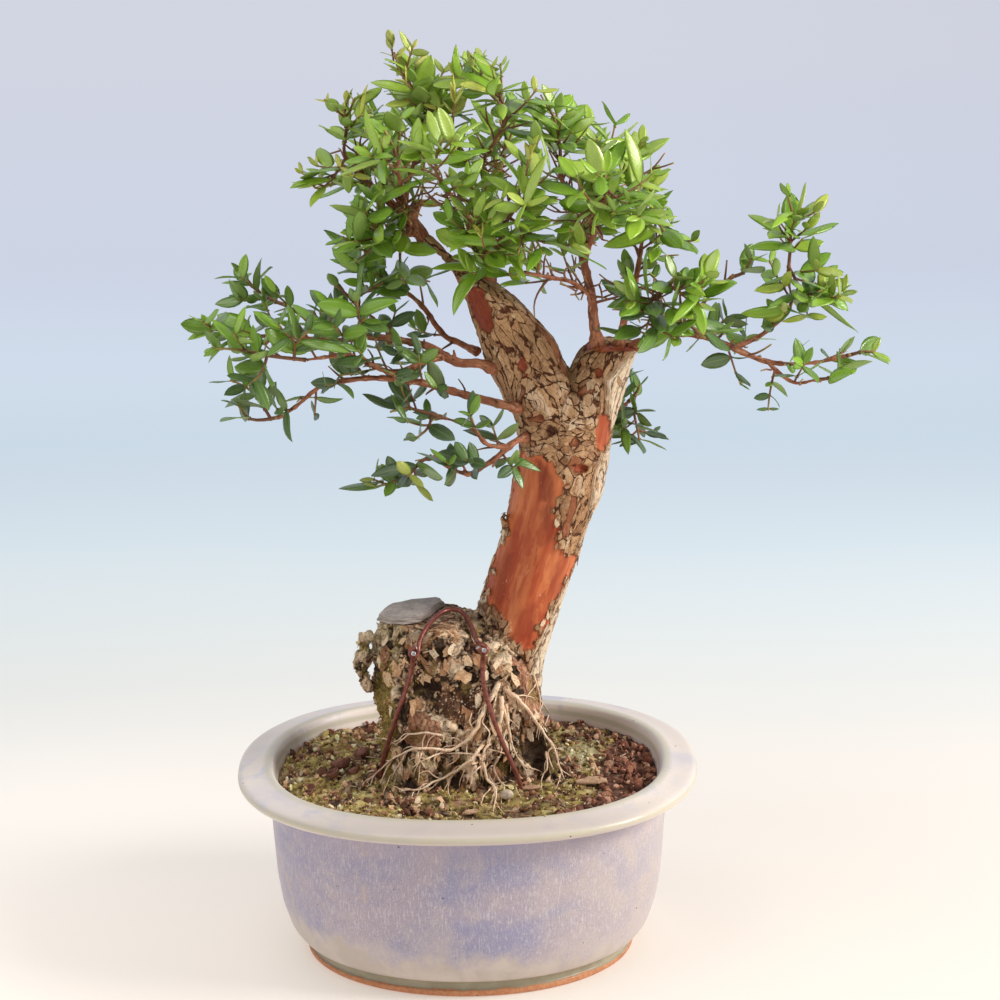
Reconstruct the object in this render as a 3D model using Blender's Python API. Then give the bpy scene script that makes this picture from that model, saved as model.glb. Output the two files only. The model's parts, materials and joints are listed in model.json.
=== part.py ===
"""Common myrtle bonsai in its pot: an old stump with a leaning, forked trunk, long side
branches, leafy shoots, surface roots, anchor wires and a shallow glazed pot.

Everything is worked in millimetres about the pot's axis, with the pot's foot at height 0,
and turned into metres when an object is made. +X is the tree's right, +Y is its back."""

import math
import random

import bpy
import bmesh
from mathutils import Matrix, Vector, noise
from mathutils.bvhtree import BVHTree

# ---------------------------------------------------------------- driving dimensions (mm)
RIM_HALF_WIDTH = 123.2      # pot, half its width over the rim
RIM_HALF_DEPTH = 109.5      # half its depth over the rim
RIM_EDGE = 19.4             # width of the rim's top face
RIM_HEIGHT = 105.3          # crest of the rim above the foot
WALL = 7.0                  # thickness of the pot's wall
FLOOR_TOP = 17.0            # inside floor of the pot
DRAIN_X, DRAIN_R = 38.0, 10.5   # two drain holes
SOIL_TOP = 96.5             # level of the soil at the wall
WIRE_R = 1.15               # anchor wire, 2.3 mm thick
GAP = 0.35                  # clearance between pieces that touch

UP = Vector((0, 0, 1))

# The tree was drawn on an elevation sheet of 1000 by 1000 units. A point of the sheet and a
# depth in mm (+ is to the back) give a point of the tree, in the perspective of this eye.
SHEET_PITCH, SHEET_ROLL = math.radians(16.9), math.radians(-0.85)
SHEET_FOCUS, SHEET_FAR = 4000.0, 2098.0
SHEET_AIM = Vector((19.4, 0.0, 248.3))
EYE_FORWARD = Vector((0, math.cos(SHEET_PITCH), -math.sin(SHEET_PITCH)))
_up = Vector((0, math.sin(SHEET_PITCH), math.cos(SHEET_PITCH)))
_c, _s = math.cos(SHEET_ROLL), math.sin(SHEET_ROLL)
EYE_RIGHT = Vector((1, 0, 0)) * _c + _up * _s
EYE_UP = _up * _c - Vector((1, 0, 0)) * _s
EYE = SHEET_AIM - EYE_FORWARD * SHEET_FAR


def sight(u, v):
    return EYE_FORWARD * SHEET_FOCUS + EYE_RIGHT * (u - 500) - EYE_UP * (v - 500)


def at(u, v, depth=0.0):
    d = sight(u, v)
    return EYE + d * ((depth - EYE.y) / d.y)


def level(u, v, z):
    d = sight(u, v)
    return EYE + d * ((z - EYE.z) / d.z)


# ---------------------------------------------------------------- meshes and objects
def clear_scene():
    for old in list(bpy.data.objects):
        bpy.data.objects.remove(old, do_unlink=True)


def material(name, colour, rough, metal=0.0):
    m = bpy.data.materials.new(name)
    m.use_nodes = True
    b = m.node_tree.nodes["Principled BSDF"]
    b.inputs["Base Color"].default_value = (*colour, 1)
    b.inputs["Roughness"].default_value = rough
    b.inputs["Metallic"].default_value = metal
    m.diffuse_color = (*colour, 1)
    return m


def outward(verts, faces):
    """The faces turned so that the closed skin has a positive volume."""
    total = 0.0
    for f in faces:
        for i in range(1, len(f) - 1):
            total += verts[f[0]].dot(verts[f[i]].cross(verts[f[i + 1]]))
    return faces if total > 0 else [tuple(reversed(f)) for f in faces]


def make(name, verts, faces, mat, shift=None):
    mesh = bpy.data.meshes.new(name)
    mesh.from_pydata([tuple(v * 0.001) for v in verts], [], [tuple(f) for f in outward(verts, faces)])
    mesh.validate()
    mesh.update()
    obj = bpy.data.objects.new(name, mesh)
    bpy.context.scene.collection.objects.link(obj)
    obj.data.materials.append(mat)
    return obj


def boolean(obj, cutter, kind):
    """The object's mesh after one exact Boolean; the cutter is removed."""
    mod = obj.modifiers.new("b", "BOOLEAN")
    mod.operation, mod.solver, mod.object = kind, "EXACT", cutter
    bpy.context.view_layer.update()
    graph = bpy.context.evaluated_depsgraph_get()
    mesh = bpy.data.meshes.new_from_object(obj.evaluated_get(graph))
    obj.modifiers.clear()
    obj.data = mesh
    bpy.data.objects.remove(cutter, do_unlink=True)
    bpy.context.view_layer.update()
    return obj


def triangles(obj):
    """World points in mm and triangles of an object."""
    mesh = obj.data
    mesh.calc_loop_triangles()
    return [obj.matrix_world @ v.co * 1000 for v in mesh.vertices], [tuple(t.vertices) for t in mesh.loop_triangles]


def tree_of(obj):
    points, tris = triangles(obj)
    return BVHTree.FromPolygons(points, tris, all_triangles=True)


# ---------------------------------------------------------------- lofts
def loft(rings, caps=True):
    """A closed skin over rings of equal count."""
    n = len(rings[0])
    verts = [p for ring in rings for p in ring]
    faces = []
    for k in range(len(rings) - 1):
        for i in range(n):
            j = (i + 1) % n
            faces.append((k * n + i, k * n + j, (k + 1) * n + j, (k + 1) * n + i))
    if caps:
        for k, flip in ((0, True), (len(rings) - 1, False)):
            ring = rings[k]
            centre = sum(ring, Vector()) / n
            verts.append(centre)
            c = len(verts) - 1
            for i in range(n):
                j = (i + 1) % n
                tri = (k * n + i, k * n + j, c)
                faces.append(tuple(reversed(tri)) if flip else tri)
    return verts, faces


def oval(a, b, power, z, count, cy=0.0):
    ring = []
    for i in range(count):
        t = 2 * math.pi * i / count
        c, s = math.cos(t), math.sin(t)
        ring.append(Vector((
            a * math.copysign(abs(c) ** (2 / power), c),
            cy + b * math.copysign(abs(s) ** (2 / power), s),
            z,
        )))
    return ring


def catmull(points, step):
    """Points along a smooth curve through the given ones, about step apart."""
    pts = [points[0] * 2 - points[1], *points, points[-1] * 2 - points[-2]]
    out = []
    for i in range(1, len(pts) - 2):
        a, b, c, d = pts[i - 1], pts[i], pts[i + 1], pts[i + 2]
        count = max(1, round((c - b).length / step))
        for k in range(count):
            t = k / count
            out.append(0.5 * (2 * b + (c - a) * t + (2 * a - 5 * b + 4 * c - d) * t * t + (3 * b - a - 3 * c + d) * t ** 3))
    out.append(points[-1].copy())
    return out


class Path:
    """A curve that can be asked for its point, direction and frame at a length along it."""

    def __init__(self, points, step=2.5):
        self.p = catmull(points, step)
        self.s = [0.0]
        for a, b in zip(self.p, self.p[1:]):
            self.s.append(self.s[-1] + (b - a).length)
        self.length = self.s[-1]
        self.d = []
        for i in range(len(self.p)):
            a, b = self.p[max(i - 1, 0)], self.p[min(i + 1, len(self.p) - 1)]
            self.d.append((b - a).normalized())
        side = self.d[0].cross(Vector((0.13, -0.97, 0.21)))
        if side.length < 0.2:
            side = self.d[0].cross(Vector((0.9, 0.1, 0.3)))
        self.n = [side.normalized()]
        for d in self.d[1:]:
            n = self.n[-1] - d * self.n[-1].dot(d)
            self.n.append(n.normalized())

    def find(self, s):
        s = min(max(s, 0.0), self.length)
        lo, hi = 0, len(self.s) - 1
        while hi - lo > 1:
            mid = (lo + hi) // 2
            if self.s[mid] <= s:
                lo = mid
            else:
                hi = mid
        span = self.s[hi] - self.s[lo]
        return lo, hi, (s - self.s[lo]) / span if span else 0.0

    def at(self, s):
        i, j, t = self.find(s)
        return self.p[i].lerp(self.p[j], t)

    def dir(self, s):
        i, j, t = self.find(s)
        return self.d[i].lerp(self.d[j], t).normalized()

    def ring(self, s, r, sides, turn=0.0):
        i, j, t = self.find(s)
        c, d = self.at(s), self.dir(s)
        n = self.n[i].lerp(self.n[j], t)
        n = (n - d * n.dot(d)).normalized()
        b = d.cross(n)
        return [c + (n * math.cos(turn + 2 * math.pi * k / sides) + b * math.sin(turn + 2 * math.pi * k / sides)) * r for k in range(sides)]


def tube(path, radii, sides, s0=0.0, s1=None, bend=8.0):
    """A closed tube; radii is (start, end) over the whole path."""
    s1 = path.length if s1 is None else s1
    count = max(1, math.ceil((s1 - s0) / bend))
    rings = []
    for k in range(count + 1):
        s = s0 + (s1 - s0) * k / count
        t = s / path.length
        rings.append(path.ring(s, radii[0] + (radii[1] - radii[0]) * t, sides))
    return loft(rings)


# ---------------------------------------------------------------- skins that branch
class Leaf:
    """A leaf on its twig: where it leaves it, which way it points, its upper side and size."""

    def __init__(self, base, axis, face, length, width, tone):
        self.base, self.axis, self.face = base, axis, face
        self.length, self.width, self.tone = length, width, tone

    def wedge(self, grow=0.0, start=0.0):
        """Left edge, right edge, keel and tip of the plain wedge that stands for the leaf."""
        side = self.axis.cross(self.face)
        mid = self.base + self.axis * (self.length * 0.43)
        half, keel = self.width * 0.5 + grow, self.width * 0.13 + 0.35 + grow
        return (
            mid - side * half + self.face * (0.2 + grow),
            mid + side * half + self.face * (0.2 + grow),
            mid - self.face * keel,
            self.base + self.axis * (self.length + grow),
        )

    def tester(self):
        left, right, keel, tip = self.wedge(0.25)
        side = self.axis.cross(self.face)
        b = self.base + self.axis * 1.7
        ring = (b - side * 0.5, b + side * 0.5, b - self.face * 0.5)
        verts = [*ring, left, right, keel, tip]
        return verts, [(0, 1, 2), (0, 1, 4), (0, 4, 3), (1, 2, 5), (1, 5, 4), (2, 0, 3), (2, 3, 5), (3, 4, 6), (4, 5, 6), (5, 3, 6)]


class Stem:
    """A stem, with side stems and leaves at lengths along it."""

    def __init__(self, path, r0, r1, sides, s0=0.0, level_=0):
        self.path, self.r0, self.r1, self.sides, self.s0, self.level = path, r0, r1, sides, s0, level_
        self.kids = []      # (length along, Stem or Leaf)

    def radius(self, s):
        return self.r0 + (self.r1 - self.r0) * s / self.path.length

    def tester(self, start, grow=0.25, bend=7.0):
        count = max(1, math.ceil((self.path.length - start) / bend))
        rings = [self.path.ring(start + (self.path.length - start) * k / count, self.radius(0) * (1 - k / count) + self.r1 * k / count + grow, 3) for k in range(count + 1)]
        return loft(rings)


class Skin:
    """One closed surface that a stem and all it bears are drawn out of."""

    def __init__(self):
        self.v, self.f = [], []

    def centre(self, face):
        return sum((self.v[i] for i in face), Vector()) / len(face)

    def bridge(self, base, ring):
        """Walls from a loop of vertex numbers to a ring of points; the ring's numbers."""
        n = len(base)
        shift = min(range(n), key=lambda k: sum((self.v[base[i]] - ring[(i + k) % n]).length_squared for i in range(n)))
        ring = [ring[(i + shift) % n] for i in range(n)]
        first = len(self.v)
        self.v.extend(ring)
        numbers = list(range(first, first + n))
        walls = []
        for i in range(n):
            j = (i + 1) % n
            walls.append((base[i], base[j], numbers[j], numbers[i]))
        return numbers, walls

    def point(self, base, tip):
        self.v.append(tip)
        t = len(self.v) - 1
        for i in range(len(base)):
            self.f.append((base[i], base[(i + 1) % len(base)], t))

    def leaf(self, leaf, face):
        left, right, keel, tip = leaf.wedge()
        ring = [left, right, keel]
        if (ring[1] - ring[0]).cross(ring[2] - ring[0]).dot(leaf.axis) < 0:
            ring = [right, left, keel]
        numbers, walls = self.bridge(face, ring)
        self.f.extend(walls)
        self.point(numbers, tip)

    def stem(self, stem, face=None, bend=9.0):
        path = stem.path
        start = stem.s0
        collars = {}
        for s, kid in stem.kids:
            wide = 1.5 if isinstance(kid, Leaf) else max(1.6, 1.7 * kid.r0)
            key = round(s, 3)
            collars[key] = max(collars.get(key, 0), wide)
        stations = []
        for s in sorted(collars):
            stations.append((s - collars[s] / 2, None))
            stations.append((s + collars[s] / 2, s))
        first = stations[0][0] if stations else path.length
        if face is None:
            base_s = min(start, first - 0.6)
            ring = path.ring(base_s, stem.radius(base_s), stem.sides)
            numbers = list(range(len(self.v), len(self.v) + stem.sides))
            self.v.extend(ring)
            self.f.append(tuple(reversed(numbers)))
            here = base_s
        else:
            numbers = list(face)
            here = start
        room = {}
        for s, node in [*stations, (path.length - 0.9, None)]:
            gap = s - here
            extra = int(gap // bend)
            steps = [here + gap * (k + 1) / (extra + 1) for k in range(extra)] + [s]
            for q in steps:
                before = numbers
                numbers, walls = self.bridge(before, path.ring(q, stem.radius(q), stem.sides))
                if q == s and node is not None:
                    room[node] = walls
                else:
                    self.f.extend(walls)
            here = s
        if stem.sides > 3:
            self.f.append(tuple(numbers))
        else:
            self.point(numbers, path.at(path.length) + path.dir(path.length) * 0.3)
        for s, kid in stem.kids:
            walls = room[round(s, 3)] if round(s, 3) in room else room[s]
            target = kid.base + kid.axis * 3 if isinstance(kid, Leaf) else kid.path.at(min(6.0, kid.path.length))
            need = 3 if isinstance(kid, Leaf) else kid.sides
            best = None
            for w in walls:
                if need == 4 and len(w) != 4:
                    continue
                away = (self.centre(w) - path.at(s)).normalized()
                score = away.dot((target - path.at(s)).normalized())
                if best is None or score > best[0]:
                    best = (score, w)
            w = best[1]
            walls.remove(w)
            if need == 4:
                use = w
            elif len(w) == 4:
                one, two = (w[0], w[1], w[2]), (w[0], w[2], w[3])
                use, rest = (one, two) if (self.centre(one) - target).length < (self.centre(two) - target).length else (two, one)
                walls.append(rest)
            else:
                use = w
            if isinstance(kid, Leaf):
                self.leaf(kid, use)
            else:
                self.stem(kid, use, bend)
        for walls in room.values():
            self.f.extend(walls)


# ---------------------------------------------------------------- what is in the way
class Space:
    """Pieces already placed, so that nothing new runs into them."""

    CELL = 18.0

    def __init__(self):
        self.big, self.cells = [], {}

    @staticmethod
    def box(verts):
        return [min(v[i] for v in verts) for i in range(3)], [max(v[i] for v in verts) for i in range(3)]

    def add_big(self, obj):
        points, tris = triangles(obj)
        self.big.append((*self.box(points), BVHTree.FromPolygons(points, tris, all_triangles=True)))

    def keys(self, lo, hi):
        c = self.CELL
        return [(i, j, k) for i in range(int(lo[0] // c), int(hi[0] // c) + 1)
                for j in range(int(lo[1] // c), int(hi[1] // c) + 1)
                for k in range(int(lo[2] // c), int(hi[2] // c) + 1)]

    def free(self, verts, faces):
        lo, hi = self.box(verts)
        tree = BVHTree.FromPolygons(verts, faces)
        for blo, bhi, other in self.big:
            if all(lo[i] < bhi[i] and hi[i] > blo[i] for i in range(3)) and tree.overlap(other):
                return None
        seen = set()
        for key in self.keys(lo, hi):
            for item in self.cells.get(key, ()):
                if id(item) in seen:
                    continue
                seen.add(id(item))
                blo, bhi, other = item
                if all(lo[i] < bhi[i] and hi[i] > blo[i] for i in range(3)) and tree.overlap(other):
                    return None
        return lo, hi, tree

    def take(self, item):
        for key in self.keys(item[0], item[1]):
            self.cells.setdefault(key, []).append(item)


# ---------------------------------------------------------------- pot
OVALS = 36


def pot_ring(a, z):
    """A ring of the pot: less squarish and nearer round towards the foot."""
    t = min(max(z / RIM_HEIGHT, 0), 1)
    b = a - (RIM_HALF_WIDTH - RIM_HALF_DEPTH) * (0.68 + 0.32 * t)
    return oval(a, b, 2.04 + 0.26 * t, z, OVALS)


POT_OUTSIDE = [  # half width, height: foot, step, bowed wall, rolled rim
    (81.0, 0.0), (87.6, 0.0), (88.3, 3.6), (86.6, 4.4), (87.0, 8.6), (91.8, 10.2),
    (96.6, 17.0), (100.7, 30.0), (103.2, 47.0), (105.0, 72.0), (105.8, 93.5),
    (116.0, 95.4), (121.4, 96.8), (123.2, 99.4), (121.6, 102.4),
    (113.0, 103.6), (106.4, 105.3), (103.9, 104.3),
]
POT_INSIDE = [(101.4, 96.0), (98.6, 75.0), (96.2, 50.0), (91.0, 28.0), (78.0, FLOOR_TOP)]


def build_pot(mat):
    rings = [pot_ring(a, z) for a, z in POT_OUTSIDE + POT_INSIDE]
    bottom = [pot_ring(80.0, 1.4), pot_ring(78.5, 6.0)]
    n = OVALS
    rings = [*reversed(bottom), *rings]
    verts, faces = loft(rings)
    pot = make("pot", verts, faces, mat)
    for side in (-1, 1):
        hole = [oval(DRAIN_R, DRAIN_R, 2, z, 20) for z in (-5, 30)]
        hole = [[p + Vector((side * DRAIN_X, 0, 0)) for p in ring] for ring in hole]
        boolean(pot, make("hole", *loft(hole), mat), "DIFFERENCE")
    return pot


def build_screen(name, side, mat):
    """A plastic mesh pad over a drain hole: a square plate with a grid of openings."""
    z0, z1, half = FLOOR_TOP + GAP, FLOOR_TOP + GAP + 1.6, 16.0
    cx = side * DRAIN_X
    corner = [(-half, -half), (half, -half), (half, half), (-half, half)]
    plate = [[Vector((cx + x, y, z)) for x, y in corner] for z in (z0, z1)]
    pad = make(name, *loft(plate, True), mat)
    for i in (-1, 0, 1):
        for j in (-1, 0, 1):
            x, y, h = cx + i * 8.4, j * 8.4, 2.9
            hole = [[Vector((x + a, y + b, z)) for a, b in ((-h, -h), (h, -h), (h, h), (-h, h))] for z in (z0 - 3, z1 + 3)]
            boolean(pad, make("hole", *loft(hole), mat), "DIFFERENCE")
    return pad


# ---------------------------------------------------------------- soil
STUMP_AXIS = Vector((0.0, 2.0, 0.0))


def soil_height(x, y):
    """The soil is level at the wall and rises a little to the stump."""
    d = math.hypot((x - STUMP_AXIS.x) / 72.0, (y - STUMP_AXIS.y) / 60.0)
    mound = 5.0 * max(0.0, 1 - max(0.0, d - 0.55) / 0.75) ** 1.5
    return SOIL_TOP + mound + 1.3 * noise.noise(Vector((x, y, 3.0)) * 0.045)


def build_soil(mat):
    """Top in rings out from the stump, then down the pot's wall to its floor, over the screens."""
    def inner(z):
        table = [(104.3, 103.9), *[(h, a) for a, h in POT_INSIDE]]
        for (z1, a1), (z2, a2) in zip(table, table[1:]):
            if z2 <= z <= z1:
                return a2 + (a1 - a2) * (z - z2) / (z1 - z2)
        return table[-1][1]

    def ring_at(z, share=1.0, gap=GAP + 0.25):
        a = inner(z) - gap
        return [Vector((p.x * share, p.y * share, z)) for p in pot_ring(a, z)]

    rings = []
    rings.append(ring_at(FLOOR_TOP + 2.4, 1.0, 1.5))
    for z in (24.0, 40.0, 60.0, 80.0):
        rings.append(ring_at(z, 1.0, 1.1))
    edge = ring_at(SOIL_TOP - 1.0, 1.0, 0.7)
    for share in (1.0, 0.9, 0.78, 0.64, 0.48):
        ring = []
        for p in edge:
            x, y = p.x * share, p.y * share
            ring.append(Vector((x, y, soil_height(x, y))))
        rings.append(ring)
    return make("soil", *loft(rings), mat)


# ---------------------------------------------------------------- trunk
def wood_ring(left, right, depth, half_depth, count, rough=0.0, seed=0.0):
    """A ring of wood between its left and right outlines on the sheet."""
    a, b = at(*left, depth), at(*right, depth)
    c, w = (a + b) / 2, (b - a) / 2
    across = Vector((0, half_depth, 0))
    ring = []
    for i in range(count):
        t = 2 * math.pi * i / count
        p = w * math.cos(t) + across * math.sin(t)
        k = 1 + rough * noise.noise((c + p) * 0.07 + Vector((seed, 0, 0))) * abs(math.sin(t)) ** 0.5
        ring.append(c + p * k)
    return ring


STUMP = [  # left and right outline on the sheet, depth, half depth
    ((392, 800), (560, 806), 2, 34),
    ((382, 782), (568, 790), 1, 38),
    ((379, 764), (561, 772), 0, 38),
    ((380, 742), (551, 750), 1, 36),
    ((377, 716), (544, 722), 2, 34),
    ((372, 688), (541, 696), 3, 33),
    ((371, 660), (537, 664), 4, 32),
    ((372, 640), (524, 642), 5, 31),
    ((379, 626), (500, 626), 5, 29),
    ((388, 617), (470, 616), 4, 25),
]
TRUNK = [
    ((480, 712), (544, 716), 8, 19),
    ((470, 668), (542, 686), 8, 20),
    ((473, 630), (546, 652), 8, 20.5),
    ((480, 600), (556, 622), 7, 20),
    ((490, 566), (567, 588), 6, 20),
    ((500, 537), (578, 558), 5, 20),
    ((508, 509), (590, 521), 4, 20.5),
    ((512, 481), (603, 492), 3, 21.5),
    ((519, 456), (609, 458), 3, 22),
    ((518, 430), (613, 428), 3, 23),
    ((512, 408), (617, 409), 4, 22),
    ((521, 396), (612, 398), 4, 17),
    ((534, 384), (604, 387), 4, 10),
]
LEFT_LIMB = [
    ((512, 412), (585, 410), 3, 19),
    ((493, 376), (567, 366), 1, 19),
    ((481, 347), (556, 342), -1, 18.5),
    ((473, 323), (541, 324), -2, 17.5),
    ((465, 299), (523, 305), -3, 15.5),
    ((456, 279), (500, 286), -4, 12.5),
    ((446, 262), (466, 268), -4, 6.0),
    ((431, 248), (446, 249), -3, 4.2),
    ((419, 237), (431, 235), -2, 3.4),
]
RIGHT_LIMB = [
    ((556, 412), (619, 408), 6, 18),
    ((565, 384), (626, 386), 7, 18),
    ((572, 364), (631, 367), 8, 17),
    ((579, 351), (636, 353), 8, 16),
    ((590, 341), (640, 344), 8, 14),
]
FLARES = [  # thick roots that are part of the base: control points, radii
    ([(514, 655, -2), (522, 690, -10), (534, 722, -14), (546, 752, -17), (554, 784, -22)], 7.0, 5.5),
    ([(500, 668, -6), (494, 700, -21), (486, 735, -29), (474, 768, -33), (460, 800, -37)], 7.0, 6.0),
    ([(470, 690, -12), (442, 722, -24), (424, 760, -30), (412, 796, -34)], 8.0, 7.0),
    ([(509, 668, 17), (519, 706, 28), (525, 742, 35), (523, 774, 41)], 7.7, 6.8),
    ([(440, 664, 24), (432, 700, 32), (424, 740, 37), (420, 770, 40)], 8.0, 7.0),
    ([(372, 652, -6), (362, 660, -8), (361, 672, -9), (372, 690, -8)], 4.2, 3.4),
]


def build_trunk(mat):
    trunk = make("trunk", *loft([wood_ring(*r, 20, 0.16, 4.0) for r in STUMP]), mat)
    parts = [
        loft([wood_ring(*r, 18, 0.05, 9.0) for r in TRUNK]),
        loft([wood_ring(*r, 16, 0.05, 2.0) for r in LEFT_LIMB]),
        loft([wood_ring(*r, 14, 0.05, 6.0) for r in RIGHT_LIMB]),
    ]
    for points, r0, r1 in FLARES:
        parts.append(tube(Path([at(*p) for p in points]), (r0, r1), 9, bend=14))
    for verts, faces in parts:
        boolean(trunk, make("part", verts, faces, mat), "UNION")
    return trunk


# ---------------------------------------------------------------- branches
# Control points on the sheet (u, v, depth), the first one inside the wood it grows from,
# radii at both ends, and forks as (share of the length, control points, radii).
BRANCHES = {
    "branch_leader_left": dict(
        points=[(424, 238, -2), (413, 223, 0), (396, 207, 2), (374, 188, 4), (352, 168, 2)], r=(2.9, 1.2),
        forks=[
            (0.22, [(402, 192, -14), (398, 168, -24)], 1.5, 0.9),
            (0.30, [(408, 186, 12), (418, 148, 22)], 1.6, 0.9),
        ]),
    "branch_leader_mid": dict(
        points=[(490, 296, -4), (488, 268, -2), (480, 232, 2), (474, 196, 2), (466, 156, -2)], r=(3.6, 1.2),
        forks=[
            (0.25, [(498, 244, -22), (506, 222, -40)], 1.7, 1.0),
            (0.45, [(462, 210, -20), (446, 188, -38)], 1.6, 1.0),
            (0.55, [(492, 196, 18), (504, 158, 30)], 1.7, 1.0),
            (0.78, [(484, 160, -8), (500, 132, -12)], 1.4, 0.9),
        ]),
    "branch_leader_right": dict(
        points=[(598, 350, 4), (594, 322, 2), (590, 288, 0), (580, 248, -2), (572, 212, -4), (560, 172, -4)], r=(3.2, 1.2),
        forks=[
            (0.30, [(572, 282, -12), (546, 277, -20), (524, 272, -26)], 1.4, 0.9),
            (0.50, [(596, 226, -24), (604, 206, -44)], 1.7, 1.0),
            (0.58, [(590, 212, 16), (600, 176, 30)], 1.7, 1.0),
            (0.72, [(600, 196, -6), (626, 172, -6)], 1.6, 0.9),
        ]),
    "branch_crown_right": dict(
        points=[(618, 352, 6), (624, 322, 4), (634, 288, 2), (640, 256, 0), (644, 226, -2)], r=(2.4, 1.0),
        forks=[
            (0.35, [(640, 306, -16), (656, 296, -30)], 1.3, 0.9),
        ]),
    "branch_left_upper": dict(
        points=[(500, 372, -8), (482, 364, -14), (456, 362, -18), (430, 347, -18), (400, 340, -16), (366, 337, -14), (334, 341, -14), (300, 338, -16), (270, 336, -18)], r=(2.9, 1.2),
        forks=[
            (0.26, [(424, 362, -26), (392, 372, -34), (350, 356, -40), (306, 360, -44)], 1.9, 1.0),
            (0.48, [(378, 322, -4), (358, 306, 4)], 1.4, 0.9),
            (0.74, [(306, 320, -10), (288, 306, -6)], 1.3, 0.9),
        ]),
    "branch_left_small": dict(
        points=[(478, 352, -2), (462, 344, 6), (443, 334, 10), (422, 306, 14), (394, 284, 16), (367, 273, 16)], r=(1.9, 1.0),
        forks=[]),
    "branch_left_long": dict(
        points=[(522, 408, -10), (505, 405, -18), (466, 395, -22), (418, 382, -26), (380, 378, -28), (342, 381, -28), (318, 388, -28), (300, 403, -28), (280, 417, -28)], r=(2.7, 1.1),
        forks=[
            (0.46, [(372, 366, -34), (346, 352, -38)], 1.4, 0.9),
        ]),
    "branch_left_low": dict(
        points=[(530, 436, -8), (516, 441, -18), (497, 457, -26), (482, 467, -28), (468, 474, -30), (448, 467, -30), (432, 456, -28)], r=(2.3, 1.0),
        forks=[
            (0.28, [(486, 444, -30), (472, 428, -30), (442, 417, -28)], 1.7, 0.9),
        ]),
    "branch_right": dict(
        points=[(626, 352, 6), (640, 344, 4), (671, 334, 0), (704, 336, -4), (729, 346, -6), (768, 362, -8), (810, 363, -8), (846, 356, -8)], r=(3.0, 1.1),
        forks=[
            (0.22, [(692, 318, 6), (712, 292, 10), (730, 278, 12)], 1.7, 0.9),
            (0.50, [(752, 340, 2), (768, 330, 6), (790, 308, 8), (788, 276, 6)], 1.9, 0.9),
            (0.66, [(780, 374, -16), (796, 383, -22), (816, 380, -24)], 1.6, 0.9),
            (0.12, [(660, 326, -18), (676, 322, -34)], 1.4, 0.9),
        ]),
    "branch_back": dict(
        points=[(596, 404, 20), (606, 408, 32), (616, 410, 40), (628, 402, 44)], r=(1.8, 1.0),
        forks=[]),
}


def first_free(stem, tree, start):
    """How far along its path a stem leaves the wood it grows from."""
    s = start
    while s < stem.path.length * 0.6:
        verts, faces = tube(stem.path, (stem.radius(s) + 0.2, stem.r1 + 0.2), 6, s, None, 6.0)
        if not BVHTree.FromPolygons(verts, faces).overlap(tree):
            return s
        s += 0.4
    return s


def branch_stem(spec):
    path = Path([at(*p) for p in spec["points"]])
    stem = Stem(path, *spec["r"], 6)
    for share, points, r0, r1 in spec["forks"]:
        s = round(path.length * share, 3)
        fork = Stem(Path([path.at(s), *[at(*p) for p in points]]), r0, r1, 4)
        fork.s0 = stem.radius(s) + 0.9
        stem.kids.append((s, fork))
    return stem


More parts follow.
